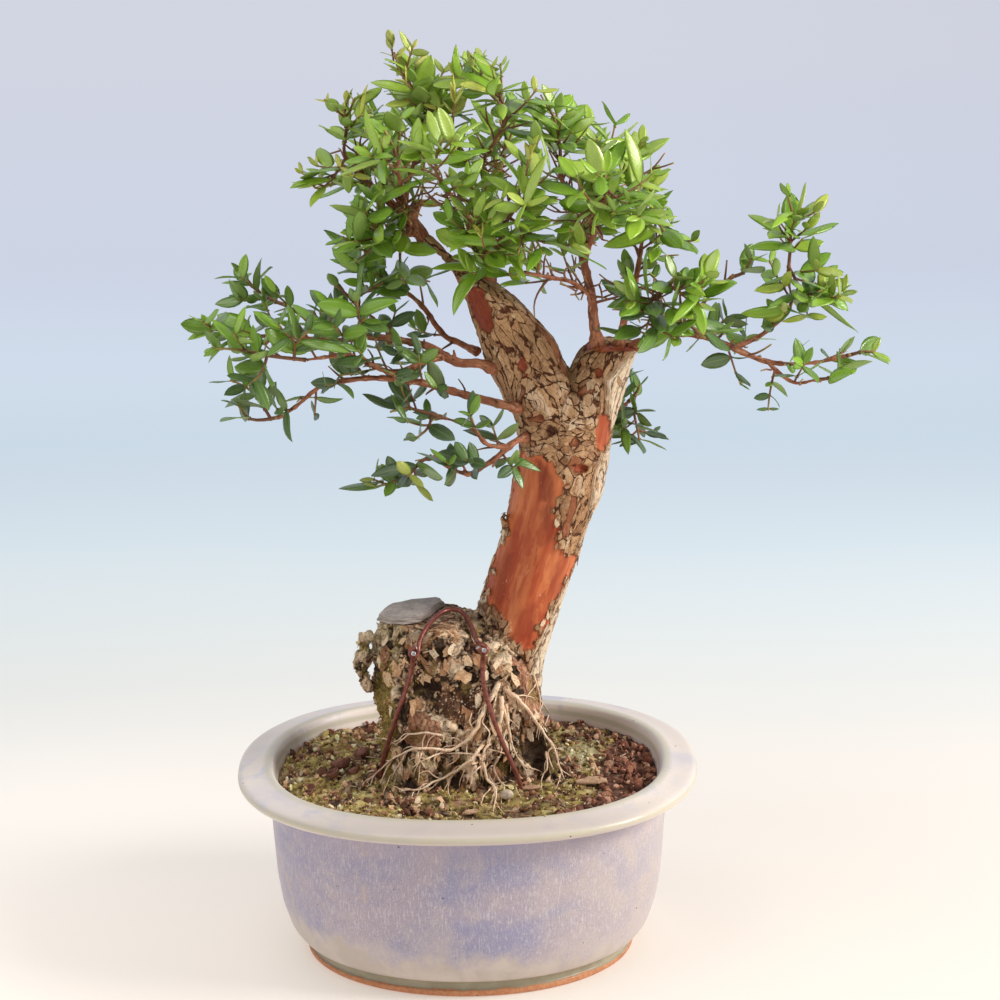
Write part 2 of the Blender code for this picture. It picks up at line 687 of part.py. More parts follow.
# ---------------------------------------------------------------- leafy shoots
# Each group: the branch and the fork it grows on (-1 is the branch itself) with the share of
# that length, then the sheet points of its carrying twig, the reach of its side shoots in mm,
# the share of nodes with side shoots, the mean leaf length in mm, how young it is (0 to 1),
# and arms of the carrying twig, each with the share of its length where it forks off.
SHOOTS = {
    "shoots_crown_tip": ("branch_leader_mid", -1, 1.0, [(448, 132, -4), (426, 104, -6), (404, 78, -8), (394, 52, -8)], 24, 0.8, 14, 0.6),
    "shoots_crown_top_left": ("branch_leader_left", 1, 1.0, [(420, 128, 20), (430, 100, 16), (440, 84, 14)], 24, 0.9, 17, 0.3),
    "shoots_crown_top": ("branch_leader_mid", 3, 1.0, [(506, 118, -12), (500, 98, -10), (476, 80, -8)], 26, 0.9, 18, 0.4),
    "shoots_crown_top_right": ("branch_leader_right", -1, 1.0, [(560, 148, -6), (556, 124, -6), (548, 104, -4)], 26, 0.9, 18, 0.2),
    "shoots_crown_left_high": ("branch_leader_left", -1, 1.0, [(344, 152, 0), (346, 130, -4), (344, 108, -6)], 20, 0.8, 14, 0.5, [(0.15, [(334, 176, -6), (320, 190, -8), (312, 184, -8)])]),
    "shoots_crown_left_low": ("branch_leader_left", -1, 0.05, [(396, 236, -8), (376, 246, -14), (356, 262, -18)], 24, 0.9, 18, 0.1, [(0.2, [(400, 262, -16), (404, 284, -22)]), (0.45, [(376, 230, -20), (362, 214, -24)])]),
    "shoots_crown_front_left": ("branch_leader_left", 0, 1.0, [(394, 150, -34), (384, 130, -40)], 27, 1.0, 18, 0.2),
    "shoots_crown_front_mid": ("branch_leader_mid", 1, 1.0, [(436, 172, -50), (438, 150, -58), (446, 136, -60)], 28, 1.0, 20, 0.2),
    "shoots_crown_front_right": ("branch_leader_mid", 0, 1.0, [(516, 208, -52), (530, 190, -60), (540, 178, -62)], 28, 1.0, 22, 0.3, [(0.1, [(530, 232, -50), (544, 254, -56)])]),
    "shoots_crown_front_low": ("branch_leader_mid", -1, 0.16, [(476, 250, -30), (470, 232, -50), (476, 216, -60)], 24, 0.9, 19, 0.2, [(0.3, [(496, 250, -44), (512, 240, -52)])]),
    "shoots_crown_right_front": ("branch_leader_right", 1, 1.0, [(606, 188, -54), (604, 170, -60)], 27, 1.0, 20, 0.2, [(0.2, [(584, 214, -56), (570, 232, -62)]), (0.5, [(624, 206, -52), (634, 222, -54)])]),
    "shoots_crown_right_high": ("branch_leader_right", 3, 1.0, [(636, 158, -6), (640, 146, -4)], 24, 0.9, 18, 0.3),
    "shoots_crown_right": ("branch_crown_right", -1, 1.0, [(646, 204, -6), (644, 184, -10)], 22, 0.9, 17, 0.3, [(0.3, [(662, 228, -12), (668, 246, -16)])]),
    "shoots_crown_right_low": ("branch_crown_right", 0, 1.0, [(668, 288, -38), (676, 276, -44)], 24, 1.0, 18, 0.3, [(0.1, [(652, 312, -38), (646, 330, -44)]), (0.6, [(690, 300, -40), (702, 306, -42)])]),
    "shoots_crown_back_left": ("branch_leader_left", -1, 0.45, [(380, 176, 26), (384, 150, 42), (392, 134, 48)], 26, 0.9, 18, 0.1),
    "shoots_crown_back": ("branch_leader_mid", 2, 1.0, [(506, 138, 42), (500, 120, 52)], 28, 0.9, 19, 0.1),
    "shoots_crown_back_right": ("branch_leader_right", 2, 1.0, [(602, 156, 42), (596, 138, 50)], 28, 0.9, 19, 0.1),
    "shoots_left_tip_high": ("branch_left_upper", 2, 1.0, [(272, 300, -2), (254, 288, 0), (240, 276, 0)], 19, 0.8, 15, 0.2),
    "shoots_left_tip": ("branch_left_upper", -1, 1.0, [(246, 336, -20), (222, 330, -22), (206, 330, -24)], 20, 0.7, 16, 0.2),
    "shoots_left_front": ("branch_left_upper", 0, 1.0, [(270, 356, -48), (240, 350, -50), (212, 348, -50)], 21, 0.9, 17, 0.1, [(0.1, [(296, 344, -52), (310, 330, -56)]), (0.4, [(262, 372, -50), (248, 386, -50)])]),
    "shoots_left_top": ("branch_left_upper", 1, 1.0, [(346, 294, 6), (334, 284, 8)], 20, 0.9, 16, 0.1, [(0.2, [(366, 292, 0), (384, 282, -4)])]),
    "shoots_left_mid": ("branch_left_long", 0, 1.0, [(330, 338, -42), (318, 326, -44)], 20, 0.9, 16, 0.1, [(0.2, [(352, 330, -46), (366, 318, -48)])]),
    "shoots_left_small": ("branch_left_small", -1, 1.0, [(352, 268, 14), (340, 264, 12)], 18, 0.9, 15, 0.1),
    "shoots_left_low_tip": ("branch_left_long", -1, 1.0, [(262, 420, -28), (248, 418, -28), (238, 404, -26)], 18, 0.8, 14, 0.2, [(0.12, [(258, 398, -22), (244, 386, -16), (230, 380, -14)])]),
    "shoots_low_upper": ("branch_left_low", 0, 1.0, [(424, 412, -28), (406, 408, -28), (390, 412, -28)], 20, 0.9, 15, 0.1, [(0.15, [(428, 428, -34), (414, 440, -36)])]),
    "shoots_low_tip": ("branch_left_low", -1, 1.0, [(420, 462, -28), (404, 478, -28), (372, 488, -26)], 16, 0.6, 14, 0.5),
    "shoots_right_inner": ("branch_right", 3, 1.0, [(690, 326, -40), (706, 338, -42)], 20, 0.9, 16, 0.2, [(0.3, [(682, 306, -40), (700, 296, -42)])]),
    "shoots_right_high": ("branch_right", 0, 1.0, [(744, 272, 12), (752, 258, 12)], 18, 0.8, 16, 0.3),
    "shoots_right_top": ("branch_right", 1, 1.0, [(790, 252, 6), (792, 228, 4), (800, 212, 2)], 22, 0.9, 18, 0.4, [(0.1, [(806, 296, -2), (822, 300, -6), (834, 296, -8)])]),
    "shoots_right_tip": ("branch_right", -1, 1.0, [(862, 352, -8), (876, 352, -8)], 17, 0.8, 15, 0.3),
    "shoots_right_low": ("branch_right", 2, 1.0, [(830, 378, -24), (842, 374, -24)], 17, 0.8, 15, 0.2),
    "shoots_back": ("branch_back", -1, 1.0, [(636, 394, 46), (640, 384, 46)], 18, 0.8, 15, 0.2, [(0.25, [(634, 412, 42), (638, 432, 38), (640, 446, 36)])]),
}
CROWN_HEART = at(490, 250, 0)
SHOOT_SHARE = 0.62     # of the places where a side shoot could stand, how many have one


def side_axis(d, turn, flat=0.75):
    """A direction square to d, turned about it; flatter than round, as shade shoots are."""
    across = d.cross(UP)
    if across.length < 0.25:
        across = d.cross(Vector((0.3, 1, 0)))
    across.normalize()
    rise = across.cross(d).normalized()
    p = across * math.cos(turn) + rise * math.sin(turn) * flat
    return p.normalized()


def new_leaf(stem, s, side, rng, length, tone, spread=0.85, lift=0.0):
    d = stem.path.dir(s)
    axis = (side * spread + d * rng.uniform(0.35, 0.8) + UP * (lift + rng.uniform(-0.22, 0.18))).normalized()
    face = UP * 0.75 + d * 0.25 + Vector((rng.uniform(-0.5, 0.5), rng.uniform(-0.75, 0.15), 0))
    face = face - axis * face.dot(axis)
    if face.length < 0.15:
        face = side_axis(axis, 1.57)
    face.normalize()
    width = length * rng.uniform(0.40, 0.50)
    return Leaf(stem.path.at(s), axis, face, length, width, tone)


def place_leaf(space, stem, s, side, rng, length, tone, lift=0.0, tries=5):
    for k in range(tries):
        turned = Matrix.Rotation(rng.uniform(-0.5, 0.5) * min(k, 2), 3, stem.path.dir(s)) @ side
        leaf = new_leaf(stem, s, turned, rng, length * (1 - 0.08 * k), tone, 0.85, lift)
        item = space.free(*leaf.tester())
        if item:
            space.take(item)
            stem.kids.append((s, leaf))
            return leaf
    return None


def grown_path(start, d, length, rng, rise=0.10, wander=0.10):
    points, here, step = [start], start.copy(), max(length / 3, 4.0)
    d = d.normalized()
    for _ in range(3):
        d = (d + UP * rise + Vector((rng.uniform(-1, 1), rng.uniform(-1, 1), rng.uniform(-1, 1))) * wander).normalized()
        here = here + d * step
        points.append(here)
    return Path(points)


def carrier_of(branches, spec):
    name, fork, share, points, *_ = spec
    stem = branches[name]
    if fork >= 0:
        stem = stem.kids[fork][1]
    s = stem.path.length * share
    root = stem.path.at(s)
    aim = at(*points[0])
    d = (aim - root).normalized()
    out = 1.4 if share >= 1 else stem.radius(s) + 1.3
    path = Path([root + d * out, *[at(*p) for p in points]])
    carrier = Stem(path, 1.0, 0.55, 3)
    for part, places in spec[8] if len(spec) > 8 else ():
        s = round(max(3.5, path.length * part), 3)
        arm = Stem(Path([path.at(s), *[at(*p) for p in places]]), 0.85, 0.5, 3, 1.9, 1)
        carrier.kids.append((s, arm))
    return carrier


def side_shoots(space, stem, spec, rng):
    """Side shoots in turn along the carrying twig, each in a free place."""
    reach, share = spec[4], spec[5]
    length = stem.path.length
    s, i = 5.0 if stem.level == 0 else 7.0, rng.randrange(2)
    nodes = []
    while s < length - 3.0:
        if all(abs(s - other) > 4.5 for other, _ in stem.kids):
            nodes.append(round(s, 3))
        s += rng.uniform(10.5, 13.0)
    for k, s in enumerate(nodes):
        t = s / length
        for sign in (1, -1):
            if sign == -1 and (k + i) % 2 and reach < 22:
                continue
            if rng.random() > share * SHOOT_SHARE:
                continue
            for attempt in range(7):
                d = stem.path.dir(s)
                side = side_axis(d, (k + i) * 1.57 + rng.uniform(-0.5, 0.5) + attempt * 0.45) * sign
                out = (stem.path.at(s) - CROWN_HEART).normalized()
                aim = (side + d * 0.7 + UP * 0.22 + out * 0.2).normalized()
                long = reach * rng.uniform(0.7, 1.1) * (1.0 - 0.35 * t)
                twig = Stem(grown_path(stem.path.at(s), aim, long, rng), 0.62, 0.42, 3, 1.6, 2)
                item = space.free(*twig.tester(2.6))
                if item:
                    space.take(item)
                    stem.kids.append((s, twig))
                    break
    return stem


def leaves_on(space, stem, spec, rng, first=5.0):
    mean, young = spec[6], spec[7]
    taken = {}
    for s, kid in stem.kids:
        taken.setdefault(s, []).append(kid)
    spots = [s for s in taken if s > stem.path.length * 0.25]
    s = first
    while s < stem.path.length - 2.5:
        if all(abs(s - other) > 4.2 for other in taken):
            spots.append(round(s, 3))
        s += rng.uniform(8.0, 10.2)
    for i, s in enumerate(sorted(spots)):
        t = s / stem.path.length
        size = mean * (0.82 + 0.5 * math.sin(math.pi * min(1, t + 0.15))) * rng.uniform(0.85, 1.12)
        side = side_axis(stem.path.dir(s), i * 1.57 + rng.uniform(-0.35, 0.35))
        used = [k for k in taken.get(s, []) if isinstance(k, Stem)]
        for sign in (1, -1):
            if used and any((k.path.at(4) - stem.path.at(s)).normalized().dot(side * sign) > 0.2 for k in used):
                continue
            place_leaf(space, stem, s, side * sign, rng, size, min(1.0, young * t * 1.2 + 0.12 * rng.random()))
    end = stem.path.length - 1.8
    if all(abs(end - s) > 2.0 for s, _ in stem.kids):
        side = side_axis(stem.path.dir(end), rng.uniform(0, 3))
        for sign in (1, -1):
            place_leaf(space, stem, round(end, 3), side * sign, rng, mean * rng.uniform(0.5, 0.75), min(1.0, young + 0.25), 0.3)


def grow_foliage(space, branches):
    """Carrying twigs first, then their side shoots, then leaves in turn over the whole tree."""
    rngs, carriers = {}, {}
    for k, (name, spec) in enumerate(SHOOTS.items()):
        rngs[name] = random.Random(1000 + 37 * k)
        carriers[name] = carrier_of(branches, spec)
        for stem in stems_of(carriers[name]):
            item = space.free(*stem.tester(0.0 if stem.level == 0 else 2.9, 0.1))
            if not item:
                print("carrier in the way:", name, stem.level)
            else:
                space.take(item)
    for name, spec in SHOOTS.items():
        for stem in stems_of(carriers[name]):
            side_shoots(space, stem, spec, rngs[name])
    for name, spec in SHOOTS.items():
        for stem in reversed(stems_of(carriers[name])):
            leaves_on(space, stem, spec, rngs[name], 6.0 if stem.level < 2 else 5.0)
    return carriers


def skins_of(carriers):
    """Each group's skin, once every leaf or twig that would touch another group is left out."""
    for _ in range(8):
        skins, clean = {}, True
        for name, stem in carriers.items():
            skin = Skin()
            stem.s0 = 0.0
            skin.stem(stem, None, 13.0)
            skins[name] = (skin, Space.box(skin.v), BVHTree.FromPolygons(skin.v, skin.f))
        names = list(skins)
        for i, one in enumerate(names):
            for two in names[i + 1:]:
                (lo1, hi1), (lo2, hi2) = skins[one][1], skins[two][1]
                if any(lo1[k] > hi2[k] or hi1[k] < lo2[k] for k in range(3)):
                    continue
                for _, face in skins[one][2].overlap(skins[two][2]):
                    clean = False
                    spot = skins[two][0].centre(skins[two][0].f[face])
                    options = [((kid.base + kid.axis * kid.length * 0.4 - spot).length if isinstance(kid, Leaf) else (kid.path.at(kid.path.length * 0.5) - spot).length + 6, part, (s, kid))
                               for part in stems_of(carriers[two]) for s, kid in part.kids]
                    _, part, item = min(options, key=lambda o: o[0])
                    part.kids.remove(item)
                    break
        if clean:
            break
    return skins


def stems_of(stem):
    """The stem and all that fork off it."""
    found = [stem]
    for _, kid in stem.kids:
        if isinstance(kid, Stem):
            found += stems_of(kid)
    return found


# ---------------------------------------------------------------- roots, wires, small things
ROOTS = {
    "root_front_left": ([(484, 708), (478, 726), (466, 742), (448, 750), (415, 748), (396, 757), (381, 768), (366, 783)], 1.7, 0.9),
    "root_upper_left": ([(444, 736), (425, 733), (408, 735), (396, 744)], 1.0, 0.7),
    "root_front": ([(484, 744), (474, 757), (456, 771), (439, 780), (420, 789), (399, 791)], 1.6, 0.9),
    "root_right": ([(504, 690), (517, 698), (529, 711), (541, 729), (553, 748), (559, 764), (564, 780)], 1.8, 1.0),
    "root_mid_right": ([(503, 706), (507, 722), (511, 740), (518, 758), (532, 772)], 1.4, 0.9),
    "root_down": ([(484, 762), (486, 779), (496, 788), (494, 812)], 1.4, 0.8),
}


def laid(points, r, trees, lift=0.45, taut=0):
    """A path over the front of what is there: the sheet line dropped on it along the eye's
    line and then, where taut, pulled tight over the hollows as a wire would be."""
    dense = []
    for (u0, v0), (u1, v1) in zip(points, points[1:]):
        count = max(1, round(math.hypot(u1 - u0, v1 - v0) / 7))
        dense += [(u0 + (u1 - u0) * k / count, v0 + (v1 - v0) * k / count) for k in range(count)]
    dense.append(points[-1])
    out = []
    for u, v in dense:
        d = sight(u, v).normalized()
        best = None
        for du, dv in ((0, 0), (r * 1.9, 0), (-r * 1.9, 0), (0, r * 1.9), (0, -r * 1.9)):
            near = sight(u + du, v + dv).normalized()
            for tree in trees:
                hit, normal, _, far = tree.ray_cast(EYE, near)
                if hit is not None and (best is None or far < best):
                    best = far
        out.append(EYE + d * (best - r - lift))
    for _ in range(taut):
        far = [(p - EYE).length for p in out]
        for k in range(1, len(out) - 1):
            mean = (far[k - 1] + far[k + 1]) / 2
            if mean < far[k]:
                out[k] = EYE + (out[k] - EYE).normalized() * mean
    return out


def free_tube(points, radii, sides, trees, bend=5.0):
    """A tube on the path, eased towards the eye until it is clear of the trees."""
    for k in range(40):
        path = Path([p - EYE_FORWARD * (0.35 * k) + UP * (0.12 * k) for p in points], 1.5)
        verts, faces = tube(path, radii, sides, 0.0, None, bend)
        grown = tube(path, (radii[0] + 0.2, radii[1] + 0.2), sides, 0.0, None, bend)
        if not any(BVHTree.FromPolygons(*grown).overlap(tree) for tree in trees):
            return path, verts, faces
    return path, verts, faces


def curl(cu, cv, depth0, depth1, radius, a0, a1, count):
    """Points of a curl of wire that faces the eye."""
    out = []
    for k in range(count + 1):
        t = k / count
        a = math.radians(a0 + (a1 - a0) * t)
        out.append(at(cu + radius * math.cos(a), cv - radius * math.sin(a), depth0 + (depth1 - depth0) * t))
    return out


def build_slate(mat, top):
    """A split flake of slate on the flat top of the stump."""
    outline = [(377, 621), (383, 614), (391, 609), (412, 605), (438, 602), (445, 606), (437, 611), (430, 617), (420, 623), (403, 625), (388, 624)]
    low = [level(u, v, top) for u, v in outline]
    centre = sum(low, Vector()) / len(low)
    high = [centre + (p - centre) * 0.94 + UP * (4.2 + 0.8 * math.sin(i * 2.3)) for i, p in enumerate(low)]
    return make("slate", *loft([low, high]), mat)


def pebble_like(name, centre, size, mat, seed, floor):
    bm = bmesh.new()
    bmesh.ops.create_icosphere(bm, subdivisions=1, radius=1.0)
    points = [Vector((v.co.x * size[0], v.co.y * size[1], v.co.z * size[2])) * (1 + 0.18 * noise.noise(v.co * 1.3 + Vector((seed, 0, 0)))) for v in bm.verts]
    faces = [tuple(v.index for v in f.verts) for f in bm.faces]
    bm.free()
    low = min(p.z for p in points)
    lift = rest_height(points, centre, low, floor)
    return make(name, [p + Vector((centre.x, centre.y, lift)) for p in points], faces, mat)


def rest_height(points, centre, low, floor):
    """How high a thing has to lie for no point of it to dip in the soil."""
    best = -1e9
    for p in points:
        hit = floor.ray_cast(Vector((centre.x + p.x, centre.y + p.y, 300)), Vector((0, 0, -1)))[0]
        if hit is not None:
            best = max(best, hit.z - p.z)
    return best + GAP


def build_chip(name, centre, size, turn, mat, floor, seed):
    """A flat chip of bark with a broken outline."""
    rng = random.Random(seed)
    outline = []
    for i in range(8):
        a = 2 * math.pi * i / 8
        k = rng.uniform(0.75, 1.1)
        outline.append(Vector((size[0] * k * math.cos(a), size[1] * k * math.sin(a), 0)))
    spin = Matrix.Rotation(turn, 3, "Z") @ Matrix.Rotation(0.06, 3, "X")
    low = [spin @ p for p in outline]
    high = [spin @ (p * 0.9) + UP * size[2] for p in outline]
    lift = rest_height(low, centre, 0, floor)
    move = Vector((centre.x, centre.y, lift))
    return make(name, *loft([[p + move for p in low], [p + move for p in high]]), mat)


def build_husk(name, centre, r, turn, tilt, mat, floor):
    """A dry cup-shaped husk: a thin round bowl lying half tipped."""
    profile = [(0.25, 0.0), (0.72, 0.18), (0.98, 0.62), (1.0, 1.0), (0.86, 1.0), (0.80, 0.66), (0.56, 0.34), (0.2, 0.24)]
    rings = [[Vector((p * r * math.cos(2 * math.pi * i / 9), p * r * math.sin(2 * math.pi * i / 9), h * r)) for i in range(9)] for p, h in profile]
    spin = Matrix.Rotation(turn, 3, "Z") @ Matrix.Rotation(tilt, 3, "X")
    rings = [[spin @ p for p in ring] for ring in rings]
    flat = [p for ring in rings for p in ring]
    lift = rest_height(flat, centre, 0, floor)
    move = Vector((centre.x, centre.y, lift))
    return make(name, *loft([[p + move for p in ring] for ring in rings]), mat)


# ---------------------------------------------------------------- the whole
def main():
    clear_scene()
    glaze = material("lavender_glaze", (0.42, 0.42, 0.58), 0.28)
    mesh_black = material("black_mesh", (0.03, 0.03, 0.03), 0.6)
    earth = material("mossy_soil", (0.10, 0.07, 0.035), 0.95)
    bark = material("flaky_bark", (0.46, 0.34, 0.22), 0.85)
    twig = material("brown_twig", (0.30, 0.14, 0.07), 0.7)
    leafy = material("green_leaf", (0.10, 0.26, 0.04), 0.4)
    root_pale = material("pale_root", (0.48, 0.34, 0.20), 0.8)
    wire_brown = material("brown_wire", (0.28, 0.10, 0.06), 0.35, 0.6)
    slate_grey = material("grey_slate", (0.16, 0.17, 0.18), 0.6)
    stone = material("pale_stone", (0.45, 0.36, 0.27), 0.7)
    chip_brown = material("bark_chip", (0.30, 0.20, 0.12), 0.85)
    husk_brown = material("dry_husk", (0.25, 0.10, 0.06), 0.7)

    pot = build_pot(glaze)
    screens = [build_screen("drain_screen_left", -1, mesh_black), build_screen("drain_screen_right", 1, mesh_black)]
    trunk = build_trunk(bark)
    soil = build_soil(earth)

    # the stump's seat in the soil: the same wood, a little larger
    seat = []
    for spec in STUMP[:5]:
        ring = wood_ring(*spec, 20, 0.16, 4.0)
        c = sum(ring, Vector()) / len(ring)
        seat.append([p + (p - c).normalized() * 1.3 for p in ring])
    boolean(soil, make("seat", *loft([[p - UP * 1.0 for p in seat[0]], *seat]), earth), "DIFFERENCE")
    for points, r0, r1 in FLARES[:-1]:
        places = [at(*p) for p in points]
        places.append(places[-1] + (places[-1] - places[-2]).normalized() * 4.0)
        boolean(soil, make("seat", *tube(Path(places), (r0 + 2.2, r1 + 2.2), 9, bend=7), earth), "DIFFERENCE")

    trunk_tree, soil_tree, pot_tree = tree_of(trunk), tree_of(soil), tree_of(pot)

    # wires: two stays down to the soil and an arch that links them over the stump
    face = [trunk_tree, soil_tree]
    arch_mid = laid([(422, 634), (433, 619), (444, 610), (456, 607), (465, 613), (473, 630)], WIRE_R, face, 0.6, 12)
    nose = min(p.y for p in laid([(413, 654), (484, 650)], WIRE_R, face)) - 5.5
    arch_points = [*curl(413.5, 653.5, nose - 0.5, nose + 2.5, 6.8, -300, 60, 12), *arch_mid, *curl(484, 650, nose + 2.5, nose - 0.5, 6.8, 150, -200, 12)]
    path, verts, faces = free_tube(arch_points, (WIRE_R, WIRE_R), 6, [trunk_tree], 3.0)
    wires = [make("anchor_wire_arch", verts, faces, wire_brown)]
    moved = path.p[0] - arch_points[0]
    stay_left = laid([(381, 766), (391, 733), (401, 703), (409, 680)], WIRE_R, face, 0.6, 60)
    stay_right = laid([(522, 785), (511, 761), (499, 736), (488, 703), (481, 678)], WIRE_R, face, 0.6, 60)
    runs = {
        "anchor_wire_left": [stay_left[0] + Vector((-0.5, 0, -7)), *stay_left, at(413.2, 664, nose + 8) + moved, at(413.5, 655.2, nose + 6.0) + moved, at(413.5, 653.8, nose - 4.5) + moved],
        "anchor_wire_right": [stay_right[0] + Vector((0.8, 0, -7)), *stay_right, at(482.5, 661, nose + 8) + moved, at(484, 651.8, nose + 6.0) + moved, at(484, 650.3, nose - 4.5) + moved],
    }
    for name, points in runs.items():
        path, verts, faces = free_tube(points, (WIRE_R, WIRE_R), 6, [trunk_tree, *[tree_of(w) for w in wires]], 4.5)
        well = Path([path.p[0] - path.d[0] * 1.5, *[path.at(s) for s in (0, 3, 6, 9, 12, 15)]], 1.5)
        boolean(soil, make("well", *tube(well, (WIRE_R + 0.7, WIRE_R + 0.7), 8, bend=3), earth), "DIFFERENCE")
        print(name, "moved", (path.p[0] - points[0]).length)
        wires.append(make(name, verts, faces, wire_brown))
    soil_tree = tree_of(soil)
    wire_trees = [tree_of(w) for w in wires]

    # surface roots, over the stump and out on the soil
    roots, root_trees = [], []
    for name, (points, r0, r1) in ROOTS.items():
        path = laid(points, r0, [trunk_tree, soil_tree], 0.4, 3)
        path, verts, faces = free_tube(path, (r0, r1), 5, [trunk_tree, soil_tree, *wire_trees, *root_trees], 6.5)
        roots.append(make(name, verts, faces, root_pale))
        root_trees.append(tree_of(roots[-1]))

    top = max(p.z for p in wood_ring(*STUMP[-1], 20))
    slate = build_slate(slate_grey, top + GAP)
    small = [
        pebble_like("pebble", level(507, 803, 97), (3.6, 3.0, 3.0), stone, 2.0, soil_tree),
        build_chip("bark_chip", level(592, 786, 97), (8.5, 4.0, 1.6), 0.1, chip_brown, soil_tree, 5),
        build_husk("husk", level(345, 774, 97), 5.2, 0.6, -0.5, husk_brown, soil_tree),
    ]

    # branches, each leaving the trunk with a small gap
    space = Space()
    for obj in [pot, soil, trunk, slate, *wires, *roots, *small]:
        space.add_big(obj)
    branches, branch_objects, placed = {}, [], [trunk_tree]
    for name, spec in BRANCHES.items():
        stem = branch_stem(spec)
        stem.s0 = first_free(stem, trunk_tree, 0.0)
        skin = Skin()
        skin.stem(stem, None, 12.0)
        obj = make(name, skin.v, skin.f, twig)
        for other in placed[1:]:
            if tree_of(obj).overlap(other):
                print("branches meet:", name)
        placed.append(tree_of(obj))
        space.add_big(obj)
        branches[name] = stem
        branch_objects.append(obj)

    carriers = grow_foliage(space, branches)
    shoots = []
    count = 0
    skins = skins_of(carriers)
    for name, stem in carriers.items():
        skin = skins[name][0]
        shoots.append(make(name, skin.v, skin.f, leafy))
        count += sum(isinstance(kid, Leaf) for part in stems_of(stem) for _, kid in part.kids)
    print("leaves", count, "stump top", round(top, 2))

    # the shared frame: middle of the whole object's box, on its foot
    everything = [pot, *screens, soil, trunk, slate, *wires, *roots, *small, *branch_objects, *shoots]
    lo, hi = [1e9] * 3, [-1e9] * 3
    for obj in everything:
        for v in obj.data.vertices:
            for i in range(3):
                lo[i], hi[i] = min(lo[i], v.co[i]), max(hi[i], v.co[i])
    frame = bpy.data.objects.new("frame", None)
    bpy.context.scene.collection.objects.link(frame)
    frame.location = (-(lo[0] + hi[0]) / 2, -(lo[1] + hi[1]) / 2, -lo[2])
    for obj in everything:
        obj.parent = frame
    print("frame shift mm", [round(c * 1000, 3) for c in frame.location], "size", [round((h - l) * 1000, 1) for l, h in zip(lo, hi)])


main()
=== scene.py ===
"""The visible common myrtle bonsai in its pot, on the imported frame: fine bark, leaves, soil, glaze,
roots and wires, a pale floor and wall, soft light, and the camera.

Everything is worked in millimetres about the pot's axis, as in the part, and turned into metres
of the frame when a piece is made. +X is the tree's right, +Y is its back."""

import json
import math
import random
import time

import bpy
import bmesh
import numpy as np
from mathutils import Matrix, Vector, noise
from mathutils.bvhtree import BVHTree

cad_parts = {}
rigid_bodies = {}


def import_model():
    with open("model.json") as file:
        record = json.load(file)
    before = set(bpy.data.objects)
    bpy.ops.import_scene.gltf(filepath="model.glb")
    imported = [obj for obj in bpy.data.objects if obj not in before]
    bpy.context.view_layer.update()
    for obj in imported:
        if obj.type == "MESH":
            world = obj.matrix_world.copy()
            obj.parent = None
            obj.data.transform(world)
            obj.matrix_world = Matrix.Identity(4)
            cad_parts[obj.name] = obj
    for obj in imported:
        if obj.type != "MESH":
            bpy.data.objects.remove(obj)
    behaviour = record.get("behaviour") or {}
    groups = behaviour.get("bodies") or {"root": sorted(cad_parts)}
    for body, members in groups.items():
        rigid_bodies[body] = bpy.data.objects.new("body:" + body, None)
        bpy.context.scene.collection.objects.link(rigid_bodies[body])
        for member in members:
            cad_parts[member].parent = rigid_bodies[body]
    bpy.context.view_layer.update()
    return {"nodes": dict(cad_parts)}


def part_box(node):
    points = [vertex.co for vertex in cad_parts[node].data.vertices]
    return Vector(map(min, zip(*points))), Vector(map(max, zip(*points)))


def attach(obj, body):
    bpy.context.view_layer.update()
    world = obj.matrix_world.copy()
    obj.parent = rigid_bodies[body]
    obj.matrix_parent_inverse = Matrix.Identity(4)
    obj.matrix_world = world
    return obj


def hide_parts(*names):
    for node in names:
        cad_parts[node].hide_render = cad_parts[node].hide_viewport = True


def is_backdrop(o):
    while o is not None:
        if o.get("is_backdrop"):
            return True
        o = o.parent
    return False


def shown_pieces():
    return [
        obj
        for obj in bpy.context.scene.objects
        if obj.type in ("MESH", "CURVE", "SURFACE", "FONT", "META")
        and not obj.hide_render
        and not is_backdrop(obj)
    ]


# ---------------------------------------------------------------- driving dimensions (mm)
RIM_HALF_WIDTH = 123.2      # pot, half its width over the rim
RIM_HALF_DEPTH = 109.5      # half its depth over the rim
RIM_EDGE = 19.4             # width of the rim's top face
RIM_HEIGHT = 105.3          # crest of the rim above the foot
WALL = 7.0                  # thickness of the pot's wall
FLOOR_TOP = 17.0            # inside floor of the pot
DRAIN_X, DRAIN_R = 38.0, 10.5   # two drain holes
SOIL_TOP = 96.5             # level of the soil at the wall
WIRE_R = 1.15               # anchor wire, 2.3 mm thick
GAP = 0.35                  # clearance between pieces that touch

UP = Vector((0, 0, 1))

# The tree was drawn on an elevation sheet of 1000 by 1000 units. A point of the sheet and a
# depth in mm (+ is to the back) give a point of the tree, in the perspective of this eye.
SHEET_PITCH, SHEET_ROLL = math.radians(16.9), math.radians(-0.85)
SHEET_FOCUS, SHEET_FAR = 4000.0, 2098.0
SHEET_AIM = Vector((19.4, 0.0, 248.3))
EYE_FORWARD = Vector((0, math.cos(SHEET_PITCH), -math.sin(SHEET_PITCH)))
_up = Vector((0, math.sin(SHEET_PITCH), math.cos(SHEET_PITCH)))
_c, _s = math.cos(SHEET_ROLL), math.sin(SHEET_ROLL)
EYE_RIGHT = Vector((1, 0, 0)) * _c + _up * _s
EYE_UP = _up * _c - Vector((1, 0, 0)) * _s
EYE = SHEET_AIM - EYE_FORWARD * SHEET_FAR


def sight(u, v):
    return EYE_FORWARD * SHEET_FOCUS + EYE_RIGHT * (u - 500) - EYE_UP * (v - 500)


def at(u, v, depth=0.0):
    d = sight(u, v)
    return EYE + d * ((depth - EYE.y) / d.y)


